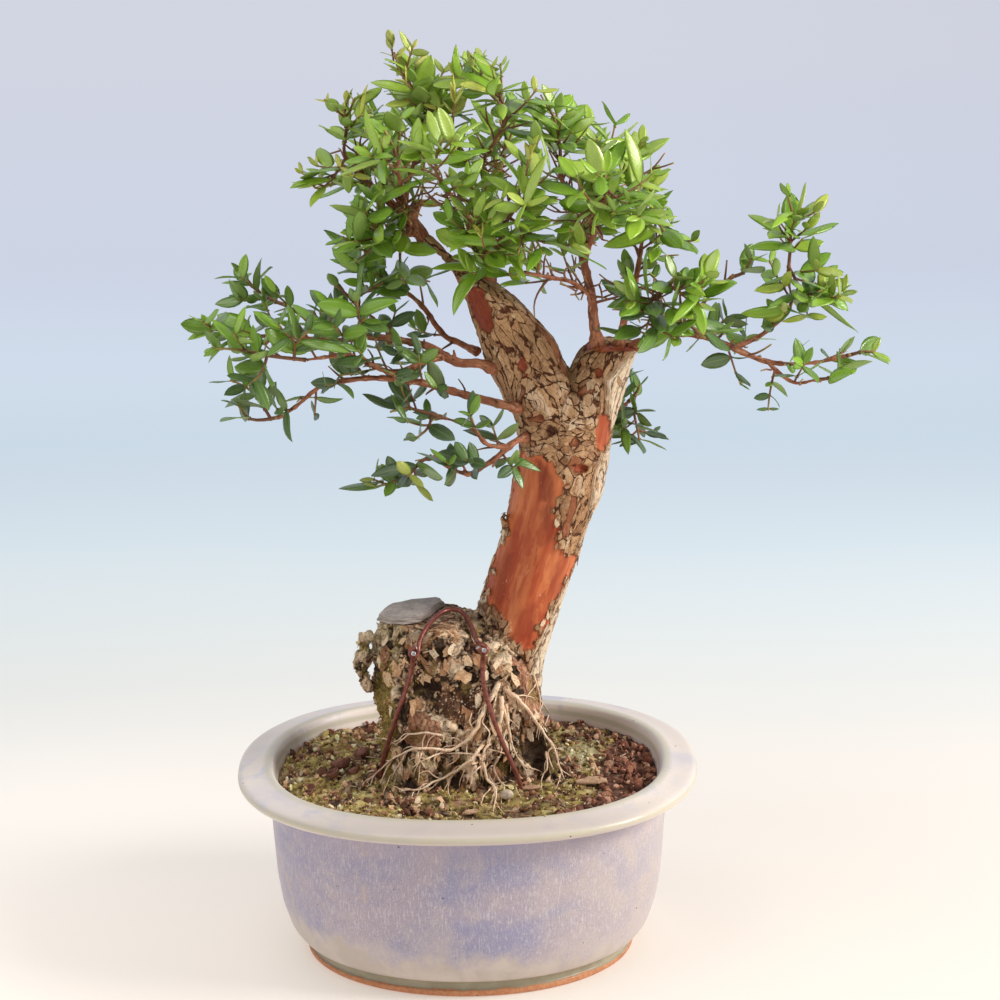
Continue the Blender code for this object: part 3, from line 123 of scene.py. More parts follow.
def level(u, v, z):
    d = sight(u, v)
    return EYE + d * ((z - EYE.z) / d.z)


def outward(verts, faces):
    """The faces turned so that the closed skin has a positive volume."""
    total = 0.0
    for f in faces:
        for i in range(1, len(f) - 1):
            total += verts[f[0]].dot(verts[f[i]].cross(verts[f[i + 1]]))
    return faces if total > 0 else [tuple(reversed(f)) for f in faces]


# ---------------------------------------------------------------- lofts
def loft(rings, caps=True):
    """A closed skin over rings of equal count."""
    n = len(rings[0])
    verts = [p for ring in rings for p in ring]
    faces = []
    for k in range(len(rings) - 1):
        for i in range(n):
            j = (i + 1) % n
            faces.append((k * n + i, k * n + j, (k + 1) * n + j, (k + 1) * n + i))
    if caps:
        for k, flip in ((0, True), (len(rings) - 1, False)):
            ring = rings[k]
            centre = sum(ring, Vector()) / n
            verts.append(centre)
            c = len(verts) - 1
            for i in range(n):
                j = (i + 1) % n
                tri = (k * n + i, k * n + j, c)
                faces.append(tuple(reversed(tri)) if flip else tri)
    return verts, faces


def oval(a, b, power, z, count, cy=0.0):
    ring = []
    for i in range(count):
        t = 2 * math.pi * i / count
        c, s = math.cos(t), math.sin(t)
        ring.append(Vector((
            a * math.copysign(abs(c) ** (2 / power), c),
            cy + b * math.copysign(abs(s) ** (2 / power), s),
            z,
        )))
    return ring


def catmull(points, step):
    """Points along a smooth curve through the given ones, about step apart."""
    pts = [points[0] * 2 - points[1], *points, points[-1] * 2 - points[-2]]
    out = []
    for i in range(1, len(pts) - 2):
        a, b, c, d = pts[i - 1], pts[i], pts[i + 1], pts[i + 2]
        count = max(1, round((c - b).length / step))
        for k in range(count):
            t = k / count
            out.append(0.5 * (2 * b + (c - a) * t + (2 * a - 5 * b + 4 * c - d) * t * t + (3 * b - a - 3 * c + d) * t ** 3))
    out.append(points[-1].copy())
    return out


class Path:
    """A curve that can be asked for its point, direction and frame at a length along it."""

    def __init__(self, points, step=2.5):
        self.p = catmull(points, step)
        self.s = [0.0]
        for a, b in zip(self.p, self.p[1:]):
            self.s.append(self.s[-1] + (b - a).length)
        self.length = self.s[-1]
        self.d = []
        for i in range(len(self.p)):
            a, b = self.p[max(i - 1, 0)], self.p[min(i + 1, len(self.p) - 1)]
            self.d.append((b - a).normalized())
        side = self.d[0].cross(Vector((0.13, -0.97, 0.21)))
        if side.length < 0.2:
            side = self.d[0].cross(Vector((0.9, 0.1, 0.3)))
        self.n = [side.normalized()]
        for d in self.d[1:]:
            n = self.n[-1] - d * self.n[-1].dot(d)
            self.n.append(n.normalized())

    def find(self, s):
        s = min(max(s, 0.0), self.length)
        lo, hi = 0, len(self.s) - 1
        while hi - lo > 1:
            mid = (lo + hi) // 2
            if self.s[mid] <= s:
                lo = mid
            else:
                hi = mid
        span = self.s[hi] - self.s[lo]
        return lo, hi, (s - self.s[lo]) / span if span else 0.0

    def at(self, s):
        i, j, t = self.find(s)
        return self.p[i].lerp(self.p[j], t)

    def dir(self, s):
        i, j, t = self.find(s)
        return self.d[i].lerp(self.d[j], t).normalized()

    def ring(self, s, r, sides, turn=0.0):
        i, j, t = self.find(s)
        c, d = self.at(s), self.dir(s)
        n = self.n[i].lerp(self.n[j], t)
        n = (n - d * n.dot(d)).normalized()
        b = d.cross(n)
        return [c + (n * math.cos(turn + 2 * math.pi * k / sides) + b * math.sin(turn + 2 * math.pi * k / sides)) * r for k in range(sides)]


def tube(path, radii, sides, s0=0.0, s1=None, bend=8.0):
    """A closed tube; radii is (start, end) over the whole path."""
    s1 = path.length if s1 is None else s1
    count = max(1, math.ceil((s1 - s0) / bend))
    rings = []
    for k in range(count + 1):
        s = s0 + (s1 - s0) * k / count
        t = s / path.length
        rings.append(path.ring(s, radii[0] + (radii[1] - radii[0]) * t, sides))
    return loft(rings)


# ---------------------------------------------------------------- skins that branch
class Leaf:
    """A leaf on its twig: where it leaves it, which way it points, its upper side and size."""

    def __init__(self, base, axis, face, length, width, tone):
        self.base, self.axis, self.face = base, axis, face
        self.length, self.width, self.tone = length, width, tone

    def wedge(self, grow=0.0, start=0.0):
        """Left edge, right edge, keel and tip of the plain wedge that stands for the leaf."""
        side = self.axis.cross(self.face)
        mid = self.base + self.axis * (self.length * 0.43)
        half, keel = self.width * 0.5 + grow, self.width * 0.13 + 0.35 + grow
        return (
            mid - side * half + self.face * (0.2 + grow),
            mid + side * half + self.face * (0.2 + grow),
            mid - self.face * keel,
            self.base + self.axis * (self.length + grow),
        )

    def tester(self):
        left, right, keel, tip = self.wedge(0.25)
        side = self.axis.cross(self.face)
        b = self.base + self.axis * 1.7
        ring = (b - side * 0.5, b + side * 0.5, b - self.face * 0.5)
        verts = [*ring, left, right, keel, tip]
        return verts, [(0, 1, 2), (0, 1, 4), (0, 4, 3), (1, 2, 5), (1, 5, 4), (2, 0, 3), (2, 3, 5), (3, 4, 6), (4, 5, 6), (5, 3, 6)]


class Stem:
    """A stem, with side stems and leaves at lengths along it."""

    def __init__(self, path, r0, r1, sides, s0=0.0, level_=0):
        self.path, self.r0, self.r1, self.sides, self.s0, self.level = path, r0, r1, sides, s0, level_
        self.kids = []      # (length along, Stem or Leaf)

    def radius(self, s):
        return self.r0 + (self.r1 - self.r0) * s / self.path.length

    def tester(self, start, grow=0.25, bend=7.0):
        count = max(1, math.ceil((self.path.length - start) / bend))
        rings = [self.path.ring(start + (self.path.length - start) * k / count, self.radius(0) * (1 - k / count) + self.r1 * k / count + grow, 3) for k in range(count + 1)]
        return loft(rings)


# ---------------------------------------------------------------- what is in the way
class Space:
    """Pieces already placed, so that nothing new runs into them."""

    CELL = 18.0

    def __init__(self):
        self.big, self.cells = [], {}

    @staticmethod
    def box(verts):
        return [min(v[i] for v in verts) for i in range(3)], [max(v[i] for v in verts) for i in range(3)]

    def add_big(self, obj):
        points, tris = triangles(obj)
        self.big.append((*self.box(points), BVHTree.FromPolygons(points, tris, all_triangles=True)))

    def keys(self, lo, hi):
        c = self.CELL
        return [(i, j, k) for i in range(int(lo[0] // c), int(hi[0] // c) + 1)
                for j in range(int(lo[1] // c), int(hi[1] // c) + 1)
                for k in range(int(lo[2] // c), int(hi[2] // c) + 1)]

    def free(self, verts, faces):
        lo, hi = self.box(verts)
        tree = BVHTree.FromPolygons(verts, faces)
        for blo, bhi, other in self.big:
            if all(lo[i] < bhi[i] and hi[i] > blo[i] for i in range(3)) and tree.overlap(other):
                return None
        seen = set()
        for key in self.keys(lo, hi):
            for item in self.cells.get(key, ()):
                if id(item) in seen:
                    continue
                seen.add(id(item))
                blo, bhi, other = item
                if all(lo[i] < bhi[i] and hi[i] > blo[i] for i in range(3)) and tree.overlap(other):
                    return None
        return lo, hi, tree

    def take(self, item):
        for key in self.keys(item[0], item[1]):
            self.cells.setdefault(key, []).append(item)


POT_OUTSIDE = [  # half width, height: foot, step, bowed wall, rolled rim
    (81.0, 0.0), (87.6, 0.0), (88.3, 3.6), (86.6, 4.4), (87.0, 8.6), (91.8, 10.2),
    (96.6, 17.0), (100.7, 30.0), (103.2, 47.0), (105.0, 72.0), (105.8, 93.5),
    (116.0, 95.4), (121.4, 96.8), (123.2, 99.4), (121.6, 102.4),
    (113.0, 103.6), (106.4, 105.3), (103.9, 104.3),
]
POT_INSIDE = [(101.4, 96.0), (98.6, 75.0), (96.2, 50.0), (91.0, 28.0), (78.0, FLOOR_TOP)]


STUMP_AXIS = Vector((0.0, 2.0, 0.0))


def soil_height(x, y):
    """The soil is level at the wall and rises a little to the stump."""
    d = math.hypot((x - STUMP_AXIS.x) / 72.0, (y - STUMP_AXIS.y) / 60.0)
    mound = 5.0 * max(0.0, 1 - max(0.0, d - 0.55) / 0.75) ** 1.5
    return SOIL_TOP + mound + 1.3 * noise.noise(Vector((x, y, 3.0)) * 0.045)


# ---------------------------------------------------------------- trunk
def wood_ring(left, right, depth, half_depth, count, rough=0.0, seed=0.0):
    """A ring of wood between its left and right outlines on the sheet."""
    a, b = at(*left, depth), at(*right, depth)
    c, w = (a + b) / 2, (b - a) / 2
    across = Vector((0, half_depth, 0))
    ring = []
    for i in range(count):
        t = 2 * math.pi * i / count
        p = w * math.cos(t) + across * math.sin(t)
        k = 1 + rough * noise.noise((c + p) * 0.07 + Vector((seed, 0, 0))) * abs(math.sin(t)) ** 0.5
        ring.append(c + p * k)
    return ring


STUMP = [  # left and right outline on the sheet, depth, half depth
    ((392, 800), (560, 806), 2, 34),
    ((382, 782), (568, 790), 1, 38),
    ((379, 764), (561, 772), 0, 38),
    ((380, 742), (551, 750), 1, 36),
    ((377, 716), (544, 722), 2, 34),
    ((372, 688), (541, 696), 3, 33),
    ((371, 660), (537, 664), 4, 32),
    ((372, 640), (524, 642), 5, 31),
    ((379, 626), (500, 626), 5, 29),
    ((388, 617), (470, 616), 4, 25),
]
TRUNK = [
    ((480, 712), (544, 716), 8, 19),
    ((470, 668), (542, 686), 8, 20),
    ((473, 630), (546, 652), 8, 20.5),
    ((480, 600), (556, 622), 7, 20),
    ((490, 566), (567, 588), 6, 20),
    ((500, 537), (578, 558), 5, 20),
    ((508, 509), (590, 521), 4, 20.5),
    ((512, 481), (603, 492), 3, 21.5),
    ((519, 456), (609, 458), 3, 22),
    ((518, 430), (613, 428), 3, 23),
    ((512, 408), (617, 409), 4, 22),
    ((521, 396), (612, 398), 4, 17),
    ((534, 384), (604, 387), 4, 10),
]
LEFT_LIMB = [
    ((512, 412), (585, 410), 3, 19),
    ((493, 376), (567, 366), 1, 19),
    ((481, 347), (556, 342), -1, 18.5),
    ((473, 323), (541, 324), -2, 17.5),
    ((465, 299), (523, 305), -3, 15.5),
    ((456, 279), (500, 286), -4, 12.5),
    ((446, 262), (466, 268), -4, 6.0),
    ((431, 248), (446, 249), -3, 4.2),
    ((419, 237), (431, 235), -2, 3.4),
]
RIGHT_LIMB = [
    ((556, 412), (619, 408), 6, 18),
    ((565, 384), (626, 386), 7, 18),
    ((572, 364), (631, 367), 8, 17),
    ((579, 351), (636, 353), 8, 16),
    ((590, 341), (640, 344), 8, 14),
]
FLARES = [  # thick roots that are part of the base: control points, radii
    ([(514, 655, -2), (522, 690, -10), (534, 722, -14), (546, 752, -17), (554, 784, -22)], 7.0, 5.5),
    ([(500, 668, -6), (494, 700, -21), (486, 735, -29), (474, 768, -33), (460, 800, -37)], 7.0, 6.0),
    ([(470, 690, -12), (442, 722, -24), (424, 760, -30), (412, 796, -34)], 8.0, 7.0),
    ([(509, 668, 17), (519, 706, 28), (525, 742, 35), (523, 774, 41)], 7.7, 6.8),
    ([(440, 664, 24), (432, 700, 32), (424, 740, 37), (420, 770, 40)], 8.0, 7.0),
    ([(372, 652, -6), (362, 660, -8), (361, 672, -9), (372, 690, -8)], 4.2, 3.4),
]


# ---------------------------------------------------------------- branches
# Control points on the sheet (u, v, depth), the first one inside the wood it grows from,
# radii at both ends, and forks as (share of the length, control points, radii).
BRANCHES = {
    "branch_leader_left": dict(
        points=[(424, 238, -2), (413, 223, 0), (396, 207, 2), (374, 188, 4), (352, 168, 2)], r=(2.9, 1.2),
        forks=[
            (0.22, [(402, 192, -14), (398, 168, -24)], 1.5, 0.9),
            (0.30, [(408, 186, 12), (418, 148, 22)], 1.6, 0.9),
        ]),
    "branch_leader_mid": dict(
        points=[(490, 296, -4), (488, 268, -2), (480, 232, 2), (474, 196, 2), (466, 156, -2)], r=(3.6, 1.2),
        forks=[
            (0.25, [(498, 244, -22), (506, 222, -40)], 1.7, 1.0),
            (0.45, [(462, 210, -20), (446, 188, -38)], 1.6, 1.0),
            (0.55, [(492, 196, 18), (504, 158, 30)], 1.7, 1.0),
            (0.78, [(484, 160, -8), (500, 132, -12)], 1.4, 0.9),
        ]),
    "branch_leader_right": dict(
        points=[(598, 350, 4), (594, 322, 2), (590, 288, 0), (580, 248, -2), (572, 212, -4), (560, 172, -4)], r=(3.2, 1.2),
        forks=[
            (0.30, [(572, 282, -12), (546, 277, -20), (524, 272, -26)], 1.4, 0.9),
            (0.50, [(596, 226, -24), (604, 206, -44)], 1.7, 1.0),
            (0.58, [(590, 212, 16), (600, 176, 30)], 1.7, 1.0),
            (0.72, [(600, 196, -6), (626, 172, -6)], 1.6, 0.9),
        ]),
    "branch_crown_right": dict(
        points=[(618, 352, 6), (624, 322, 4), (634, 288, 2), (640, 256, 0), (644, 226, -2)], r=(2.4, 1.0),
        forks=[
            (0.35, [(640, 306, -16), (656, 296, -30)], 1.3, 0.9),
        ]),
    "branch_left_upper": dict(
        points=[(500, 372, -8), (482, 364, -14), (456, 362, -18), (430, 347, -18), (400, 340, -16), (366, 337, -14), (334, 341, -14), (300, 338, -16), (270, 336, -18)], r=(2.9, 1.2),
        forks=[
            (0.26, [(424, 362, -26), (392, 372, -34), (350, 356, -40), (306, 360, -44)], 1.9, 1.0),
            (0.48, [(378, 322, -4), (358, 306, 4)], 1.4, 0.9),
            (0.74, [(306, 320, -10), (288, 306, -6)], 1.3, 0.9),
        ]),
    "branch_left_small": dict(
        points=[(478, 352, -2), (462, 344, 6), (443, 334, 10), (422, 306, 14), (394, 284, 16), (367, 273, 16)], r=(1.9, 1.0),
        forks=[]),
    "branch_left_long": dict(
        points=[(522, 408, -10), (505, 405, -18), (466, 395, -22), (418, 382, -26), (380, 378, -28), (342, 381, -28), (318, 388, -28), (300, 403, -28), (280, 417, -28)], r=(2.7, 1.1),
        forks=[
            (0.46, [(372, 366, -34), (346, 352, -38)], 1.4, 0.9),
        ]),
    "branch_left_low": dict(
        points=[(530, 436, -8), (516, 441, -18), (497, 457, -26), (482, 467, -28), (468, 474, -30), (448, 467, -30), (432, 456, -28)], r=(2.3, 1.0),
        forks=[
            (0.28, [(486, 444, -30), (472, 428, -30), (442, 417, -28)], 1.7, 0.9),
        ]),
    "branch_right": dict(
        points=[(626, 352, 6), (640, 344, 4), (671, 334, 0), (704, 336, -4), (729, 346, -6), (768, 362, -8), (810, 363, -8), (846, 356, -8)], r=(3.0, 1.1),
        forks=[
            (0.22, [(692, 318, 6), (712, 292, 10), (730, 278, 12)], 1.7, 0.9),
            (0.50, [(752, 340, 2), (768, 330, 6), (790, 308, 8), (788, 276, 6)], 1.9, 0.9),
            (0.66, [(780, 374, -16), (796, 383, -22), (816, 380, -24)], 1.6, 0.9),
            (0.12, [(660, 326, -18), (676, 322, -34)], 1.4, 0.9),
        ]),
    "branch_back": dict(
        points=[(596, 404, 20), (606, 408, 32), (616, 410, 40), (628, 402, 44)], r=(1.8, 1.0),
        forks=[]),
}


def first_free(stem, tree, start):
    """How far along its path a stem leaves the wood it grows from."""
    s = start
    while s < stem.path.length * 0.6:
        verts, faces = tube(stem.path, (stem.radius(s) + 0.2, stem.r1 + 0.2), 6, s, None, 6.0)
        if not BVHTree.FromPolygons(verts, faces).overlap(tree):
            return s
        s += 0.4
    return s


def branch_stem(spec):
    path = Path([at(*p) for p in spec["points"]])
    stem = Stem(path, *spec["r"], 6)
    for share, points, r0, r1 in spec["forks"]:
        s = round(path.length * share, 3)
        fork = Stem(Path([path.at(s), *[at(*p) for p in points]]), r0, r1, 4)
        fork.s0 = stem.radius(s) + 0.9
        stem.kids.append((s, fork))
    return stem


# ---------------------------------------------------------------- leafy shoots
# Each group: the branch and the fork it grows on (-1 is the branch itself) with the share of
# that length, then the sheet points of its carrying twig, the reach of its side shoots in mm,
# the share of nodes with side shoots, the mean leaf length in mm, how young it is (0 to 1),
# and arms of the carrying twig, each with the share of its length where it forks off.
SHOOTS = {
    "shoots_crown_tip": ("branch_leader_mid", -1, 1.0, [(448, 132, -4), (426, 104, -6), (404, 78, -8), (394, 52, -8)], 24, 0.8, 14, 0.6),
    "shoots_crown_top_left": ("branch_leader_left", 1, 1.0, [(420, 128, 20), (430, 100, 16), (440, 84, 14)], 24, 0.9, 17, 0.3),
    "shoots_crown_top": ("branch_leader_mid", 3, 1.0, [(506, 118, -12), (500, 98, -10), (476, 80, -8)], 26, 0.9, 18, 0.4),
    "shoots_crown_top_right": ("branch_leader_right", -1, 1.0, [(560, 148, -6), (556, 124, -6), (548, 104, -4)], 26, 0.9, 18, 0.2),
    "shoots_crown_left_high": ("branch_leader_left", -1, 1.0, [(344, 152, 0), (346, 130, -4), (344, 108, -6)], 20, 0.8, 14, 0.5, [(0.15, [(334, 176, -6), (320, 190, -8), (312, 184, -8)])]),
    "shoots_crown_left_low": ("branch_leader_left", -1, 0.05, [(396, 236, -8), (376, 246, -14), (356, 262, -18)], 24, 0.9, 18, 0.1, [(0.2, [(400, 262, -16), (404, 284, -22)]), (0.45, [(376, 230, -20), (362, 214, -24)])]),
    "shoots_crown_front_left": ("branch_leader_left", 0, 1.0, [(394, 150, -34), (384, 130, -40)], 27, 1.0, 18, 0.2),
    "shoots_crown_front_mid": ("branch_leader_mid", 1, 1.0, [(436, 172, -50), (438, 150, -58), (446, 136, -60)], 28, 1.0, 20, 0.2),
    "shoots_crown_front_right": ("branch_leader_mid", 0, 1.0, [(516, 208, -52), (530, 190, -60), (540, 178, -62)], 28, 1.0, 22, 0.3, [(0.1, [(530, 232, -50), (544, 254, -56)])]),
    "shoots_crown_front_low": ("branch_leader_mid", -1, 0.16, [(476, 250, -30), (470, 232, -50), (476, 216, -60)], 24, 0.9, 19, 0.2, [(0.3, [(496, 250, -44), (512, 240, -52)])]),
    "shoots_crown_right_front": ("branch_leader_right", 1, 1.0, [(606, 188, -54), (604, 170, -60)], 27, 1.0, 20, 0.2, [(0.2, [(584, 214, -56), (570, 232, -62)]), (0.5, [(624, 206, -52), (634, 222, -54)])]),
    "shoots_crown_right_high": ("branch_leader_right", 3, 1.0, [(636, 158, -6), (640, 146, -4)], 24, 0.9, 18, 0.3),
    "shoots_crown_right": ("branch_crown_right", -1, 1.0, [(646, 204, -6), (644, 184, -10)], 22, 0.9, 17, 0.3, [(0.3, [(662, 228, -12), (668, 246, -16)])]),
    "shoots_crown_right_low": ("branch_crown_right", 0, 1.0, [(668, 288, -38), (676, 276, -44)], 24, 1.0, 18, 0.3, [(0.1, [(652, 312, -38), (646, 330, -44)]), (0.6, [(690, 300, -40), (702, 306, -42)])]),
    "shoots_crown_back_left": ("branch_leader_left", -1, 0.45, [(380, 176, 26), (384, 150, 42), (392, 134, 48)], 26, 0.9, 18, 0.1),
    "shoots_crown_back": ("branch_leader_mid", 2, 1.0, [(506, 138, 42), (500, 120, 52)], 28, 0.9, 19, 0.1),
    "shoots_crown_back_right": ("branch_leader_right", 2, 1.0, [(602, 156, 42), (596, 138, 50)], 28, 0.9, 19, 0.1),
    "shoots_left_tip_high": ("branch_left_upper", 2, 1.0, [(272, 300, -2), (254, 288, 0), (240, 276, 0)], 19, 0.8, 15, 0.2),
    "shoots_left_tip": ("branch_left_upper", -1, 1.0, [(246, 336, -20), (222, 330, -22), (206, 330, -24)], 20, 0.7, 16, 0.2),
    "shoots_left_front": ("branch_left_upper", 0, 1.0, [(270, 356, -48), (240, 350, -50), (212, 348, -50)], 21, 0.9, 17, 0.1, [(0.1, [(296, 344, -52), (310, 330, -56)]), (0.4, [(262, 372, -50), (248, 386, -50)])]),
    "shoots_left_top": ("branch_left_upper", 1, 1.0, [(346, 294, 6), (334, 284, 8)], 20, 0.9, 16, 0.1, [(0.2, [(366, 292, 0), (384, 282, -4)])]),
    "shoots_left_mid": ("branch_left_long", 0, 1.0, [(330, 338, -42), (318, 326, -44)], 20, 0.9, 16, 0.1, [(0.2, [(352, 330, -46), (366, 318, -48)])]),
    "shoots_left_small": ("branch_left_small", -1, 1.0, [(352, 268, 14), (340, 264, 12)], 18, 0.9, 15, 0.1),
    "shoots_left_low_tip": ("branch_left_long", -1, 1.0, [(262, 420, -28), (248, 418, -28), (238, 404, -26)], 18, 0.8, 14, 0.2, [(0.12, [(258, 398, -22), (244, 386, -16), (230, 380, -14)])]),
    "shoots_low_upper": ("branch_left_low", 0, 1.0, [(424, 412, -28), (406, 408, -28), (390, 412, -28)], 20, 0.9, 15, 0.1, [(0.15, [(428, 428, -34), (414, 440, -36)])]),
    "shoots_low_tip": ("branch_left_low", -1, 1.0, [(420, 462, -28), (404, 478, -28), (372, 488, -26)], 16, 0.6, 14, 0.5),
    "shoots_right_inner": ("branch_right", 3, 1.0, [(690, 326, -40), (706, 338, -42)], 20, 0.9, 16, 0.2, [(0.3, [(682, 306, -40), (700, 296, -42)])]),
    "shoots_right_high": ("branch_right", 0, 1.0, [(744, 272, 12), (752, 258, 12)], 18, 0.8, 16, 0.3),
    "shoots_right_top": ("branch_right", 1, 1.0, [(790, 252, 6), (792, 228, 4), (800, 212, 2)], 22, 0.9, 18, 0.4, [(0.1, [(806, 296, -2), (822, 300, -6), (834, 296, -8)])]),
    "shoots_right_tip": ("branch_right", -1, 1.0, [(862, 352, -8), (876, 352, -8)], 17, 0.8, 15, 0.3),
    "shoots_right_low": ("branch_right", 2, 1.0, [(830, 378, -24), (842, 374, -24)], 17, 0.8, 15, 0.2),
    "shoots_back": ("branch_back", -1, 1.0, [(636, 394, 46), (640, 384, 46)], 18, 0.8, 15, 0.2, [(0.25, [(634, 412, 42), (638, 432, 38), (640, 446, 36)])]),
}
CROWN_HEART = at(490, 250, 0)
SHOOT_SHARE = 0.62     # of the places where a side shoot could stand, how many have one


def side_axis(d, turn, flat=0.75):
    """A direction square to d, turned about it; flatter than round, as shade shoots are."""
    across = d.cross(UP)
    if across.length < 0.25:
        across = d.cross(Vector((0.3, 1, 0)))
    across.normalize()
    rise = across.cross(d).normalized()
    p = across * math.cos(turn) + rise * math.sin(turn) * flat
    return p.normalized()


def new_leaf(stem, s, side, rng, length, tone, spread=0.85, lift=0.0):
    d = stem.path.dir(s)
    axis = (side * spread + d * rng.uniform(0.35, 0.8) + UP * (lift + rng.uniform(-0.22, 0.18))).normalized()
    face = UP * 0.75 + d * 0.25 + Vector((rng.uniform(-0.5, 0.5), rng.uniform(-0.75, 0.15), 0))
    face = face - axis * face.dot(axis)
    if face.length < 0.15:
        face = side_axis(axis, 1.57)
    face.normalize()
    width = length * rng.uniform(0.40, 0.50)
    return Leaf(stem.path.at(s), axis, face, length, width, tone)


def place_leaf(space, stem, s, side, rng, length, tone, lift=0.0, tries=5):
    for k in range(tries):
        turned = Matrix.Rotation(rng.uniform(-0.5, 0.5) * min(k, 2), 3, stem.path.dir(s)) @ side
        leaf = new_leaf(stem, s, turned, rng, length * (1 - 0.08 * k), tone, 0.85, lift)
        item = space.free(*leaf.tester())
        if item:
            space.take(item)
            stem.kids.append((s, leaf))
            return leaf
    return None


def grown_path(start, d, length, rng, rise=0.10, wander=0.10):
    points, here, step = [start], start.copy(), max(length / 3, 4.0)
    d = d.normalized()
    for _ in range(3):
        d = (d + UP * rise + Vector((rng.uniform(-1, 1), rng.uniform(-1, 1), rng.uniform(-1, 1))) * wander).normalized()
        here = here + d * step
        points.append(here)
    return Path(points)


def carrier_of(branches, spec):
    name, fork, share, points, *_ = spec
    stem = branches[name]
    if fork >= 0:
        stem = stem.kids[fork][1]
    s = stem.path.length * share
    root = stem.path.at(s)
    aim = at(*points[0])
    d = (aim - root).normalized()
    out = 1.4 if share >= 1 else stem.radius(s) + 1.3
    path = Path([root + d * out, *[at(*p) for p in points]])
    carrier = Stem(path, 1.0, 0.55, 3)
    for part, places in spec[8] if len(spec) > 8 else ():
        s = round(max(3.5, path.length * part), 3)
        arm = Stem(Path([path.at(s), *[at(*p) for p in places]]), 0.85, 0.5, 3, 1.9, 1)
        carrier.kids.append((s, arm))
    return carrier


def side_shoots(space, stem, spec, rng):
    """Side shoots in turn along the carrying twig, each in a free place."""
    reach, share = spec[4], spec[5]
    length = stem.path.length
    s, i = 5.0 if stem.level == 0 else 7.0, rng.randrange(2)
    nodes = []
    while s < length - 3.0:
        if all(abs(s - other) > 4.5 for other, _ in stem.kids):
            nodes.append(round(s, 3))
        s += rng.uniform(10.5, 13.0)
    for k, s in enumerate(nodes):
        t = s / length
        for sign in (1, -1):
            if sign == -1 and (k + i) % 2 and reach < 22:
                continue
            if rng.random() > share * SHOOT_SHARE:
                continue
            for attempt in range(7):
                d = stem.path.dir(s)
                side = side_axis(d, (k + i) * 1.57 + rng.uniform(-0.5, 0.5) + attempt * 0.45) * sign
                out = (stem.path.at(s) - CROWN_HEART).normalized()
                aim = (side + d * 0.7 + UP * 0.22 + out * 0.2).normalized()
                long = reach * rng.uniform(0.7, 1.1) * (1.0 - 0.35 * t)
                twig = Stem(grown_path(stem.path.at(s), aim, long, rng), 0.62, 0.42, 3, 1.6, 2)
                item = space.free(*twig.tester(2.6))
                if item:
                    space.take(item)
                    stem.kids.append((s, twig))
                    break
    return stem


def leaves_on(space, stem, spec, rng, first=5.0):
    mean, young = spec[6], spec[7]
    taken = {}
    for s, kid in stem.kids:
        taken.setdefault(s, []).append(kid)
    spots = [s for s in taken if s > stem.path.length * 0.25]
    s = first
    while s < stem.path.length - 2.5:
        if all(abs(s - other) > 4.2 for other in taken):
            spots.append(round(s, 3))
        s += rng.uniform(8.0, 10.2)
    for i, s in enumerate(sorted(spots)):
        t = s / stem.path.length
        size = mean * (0.82 + 0.5 * math.sin(math.pi * min(1, t + 0.15))) * rng.uniform(0.85, 1.12)
        side = side_axis(stem.path.dir(s), i * 1.57 + rng.uniform(-0.35, 0.35))
        used = [k for k in taken.get(s, []) if isinstance(k, Stem)]
        for sign in (1, -1):
            if used and any((k.path.at(4) - stem.path.at(s)).normalized().dot(side * sign) > 0.2 for k in used):
                continue
            place_leaf(space, stem, s, side * sign, rng, size, min(1.0, young * t * 1.2 + 0.12 * rng.random()))
    end = stem.path.length - 1.8
    if all(abs(end - s) > 2.0 for s, _ in stem.kids):
        side = side_axis(stem.path.dir(end), rng.uniform(0, 3))
        for sign in (1, -1):
            place_leaf(space, stem, round(end, 3), side * sign, rng, mean * rng.uniform(0.5, 0.75), min(1.0, young + 0.25), 0.3)


def grow_foliage(space, branches):
    """Carrying twigs first, then their side shoots, then leaves in turn over the whole tree."""
    rngs, carriers = {}, {}
    for k, (name, spec) in enumerate(SHOOTS.items()):
        rngs[name] = random.Random(1000 + 37 * k)
        carriers[name] = carrier_of(branches, spec)
        for stem in stems_of(carriers[name]):
            item = space.free(*stem.tester(0.0 if stem.level == 0 else 2.9, 0.1))
            if not item:
                print("carrier in the way:", name, stem.level)
            else:
                space.take(item)
    for name, spec in SHOOTS.items():
        for stem in stems_of(carriers[name]):
            side_shoots(space, stem, spec, rngs[name])
    for name, spec in SHOOTS.items():
        for stem in reversed(stems_of(carriers[name])):
            leaves_on(space, stem, spec, rngs[name], 6.0 if stem.level < 2 else 5.0)
    return carriers


def stems_of(stem):
    """The stem and all that fork off it."""
    found = [stem]
    for _, kid in stem.kids:
        if isinstance(kid, Stem):
            found += stems_of(kid)
    return found


# ---------------------------------------------------------------- roots, wires, small things
ROOTS = {
    "root_front_left": ([(484, 708), (478, 726), (466, 742), (448, 750), (415, 748), (396, 757), (381, 768), (366, 783)], 1.7, 0.9),
    "root_upper_left": ([(444, 736), (425, 733), (408, 735), (396, 744)], 1.0, 0.7),
    "root_front": ([(484, 744), (474, 757), (456, 771), (439, 780), (420, 789), (399, 791)], 1.6, 0.9),
    "root_right": ([(504, 690), (517, 698), (529, 711), (541, 729), (553, 748), (559, 764), (564, 780)], 1.8, 1.0),
    "root_mid_right": ([(503, 706), (507, 722), (511, 740), (518, 758), (532, 772)], 1.4, 0.9),
    "root_down": ([(484, 762), (486, 779), (496, 788), (494, 812)], 1.4, 0.8),
}


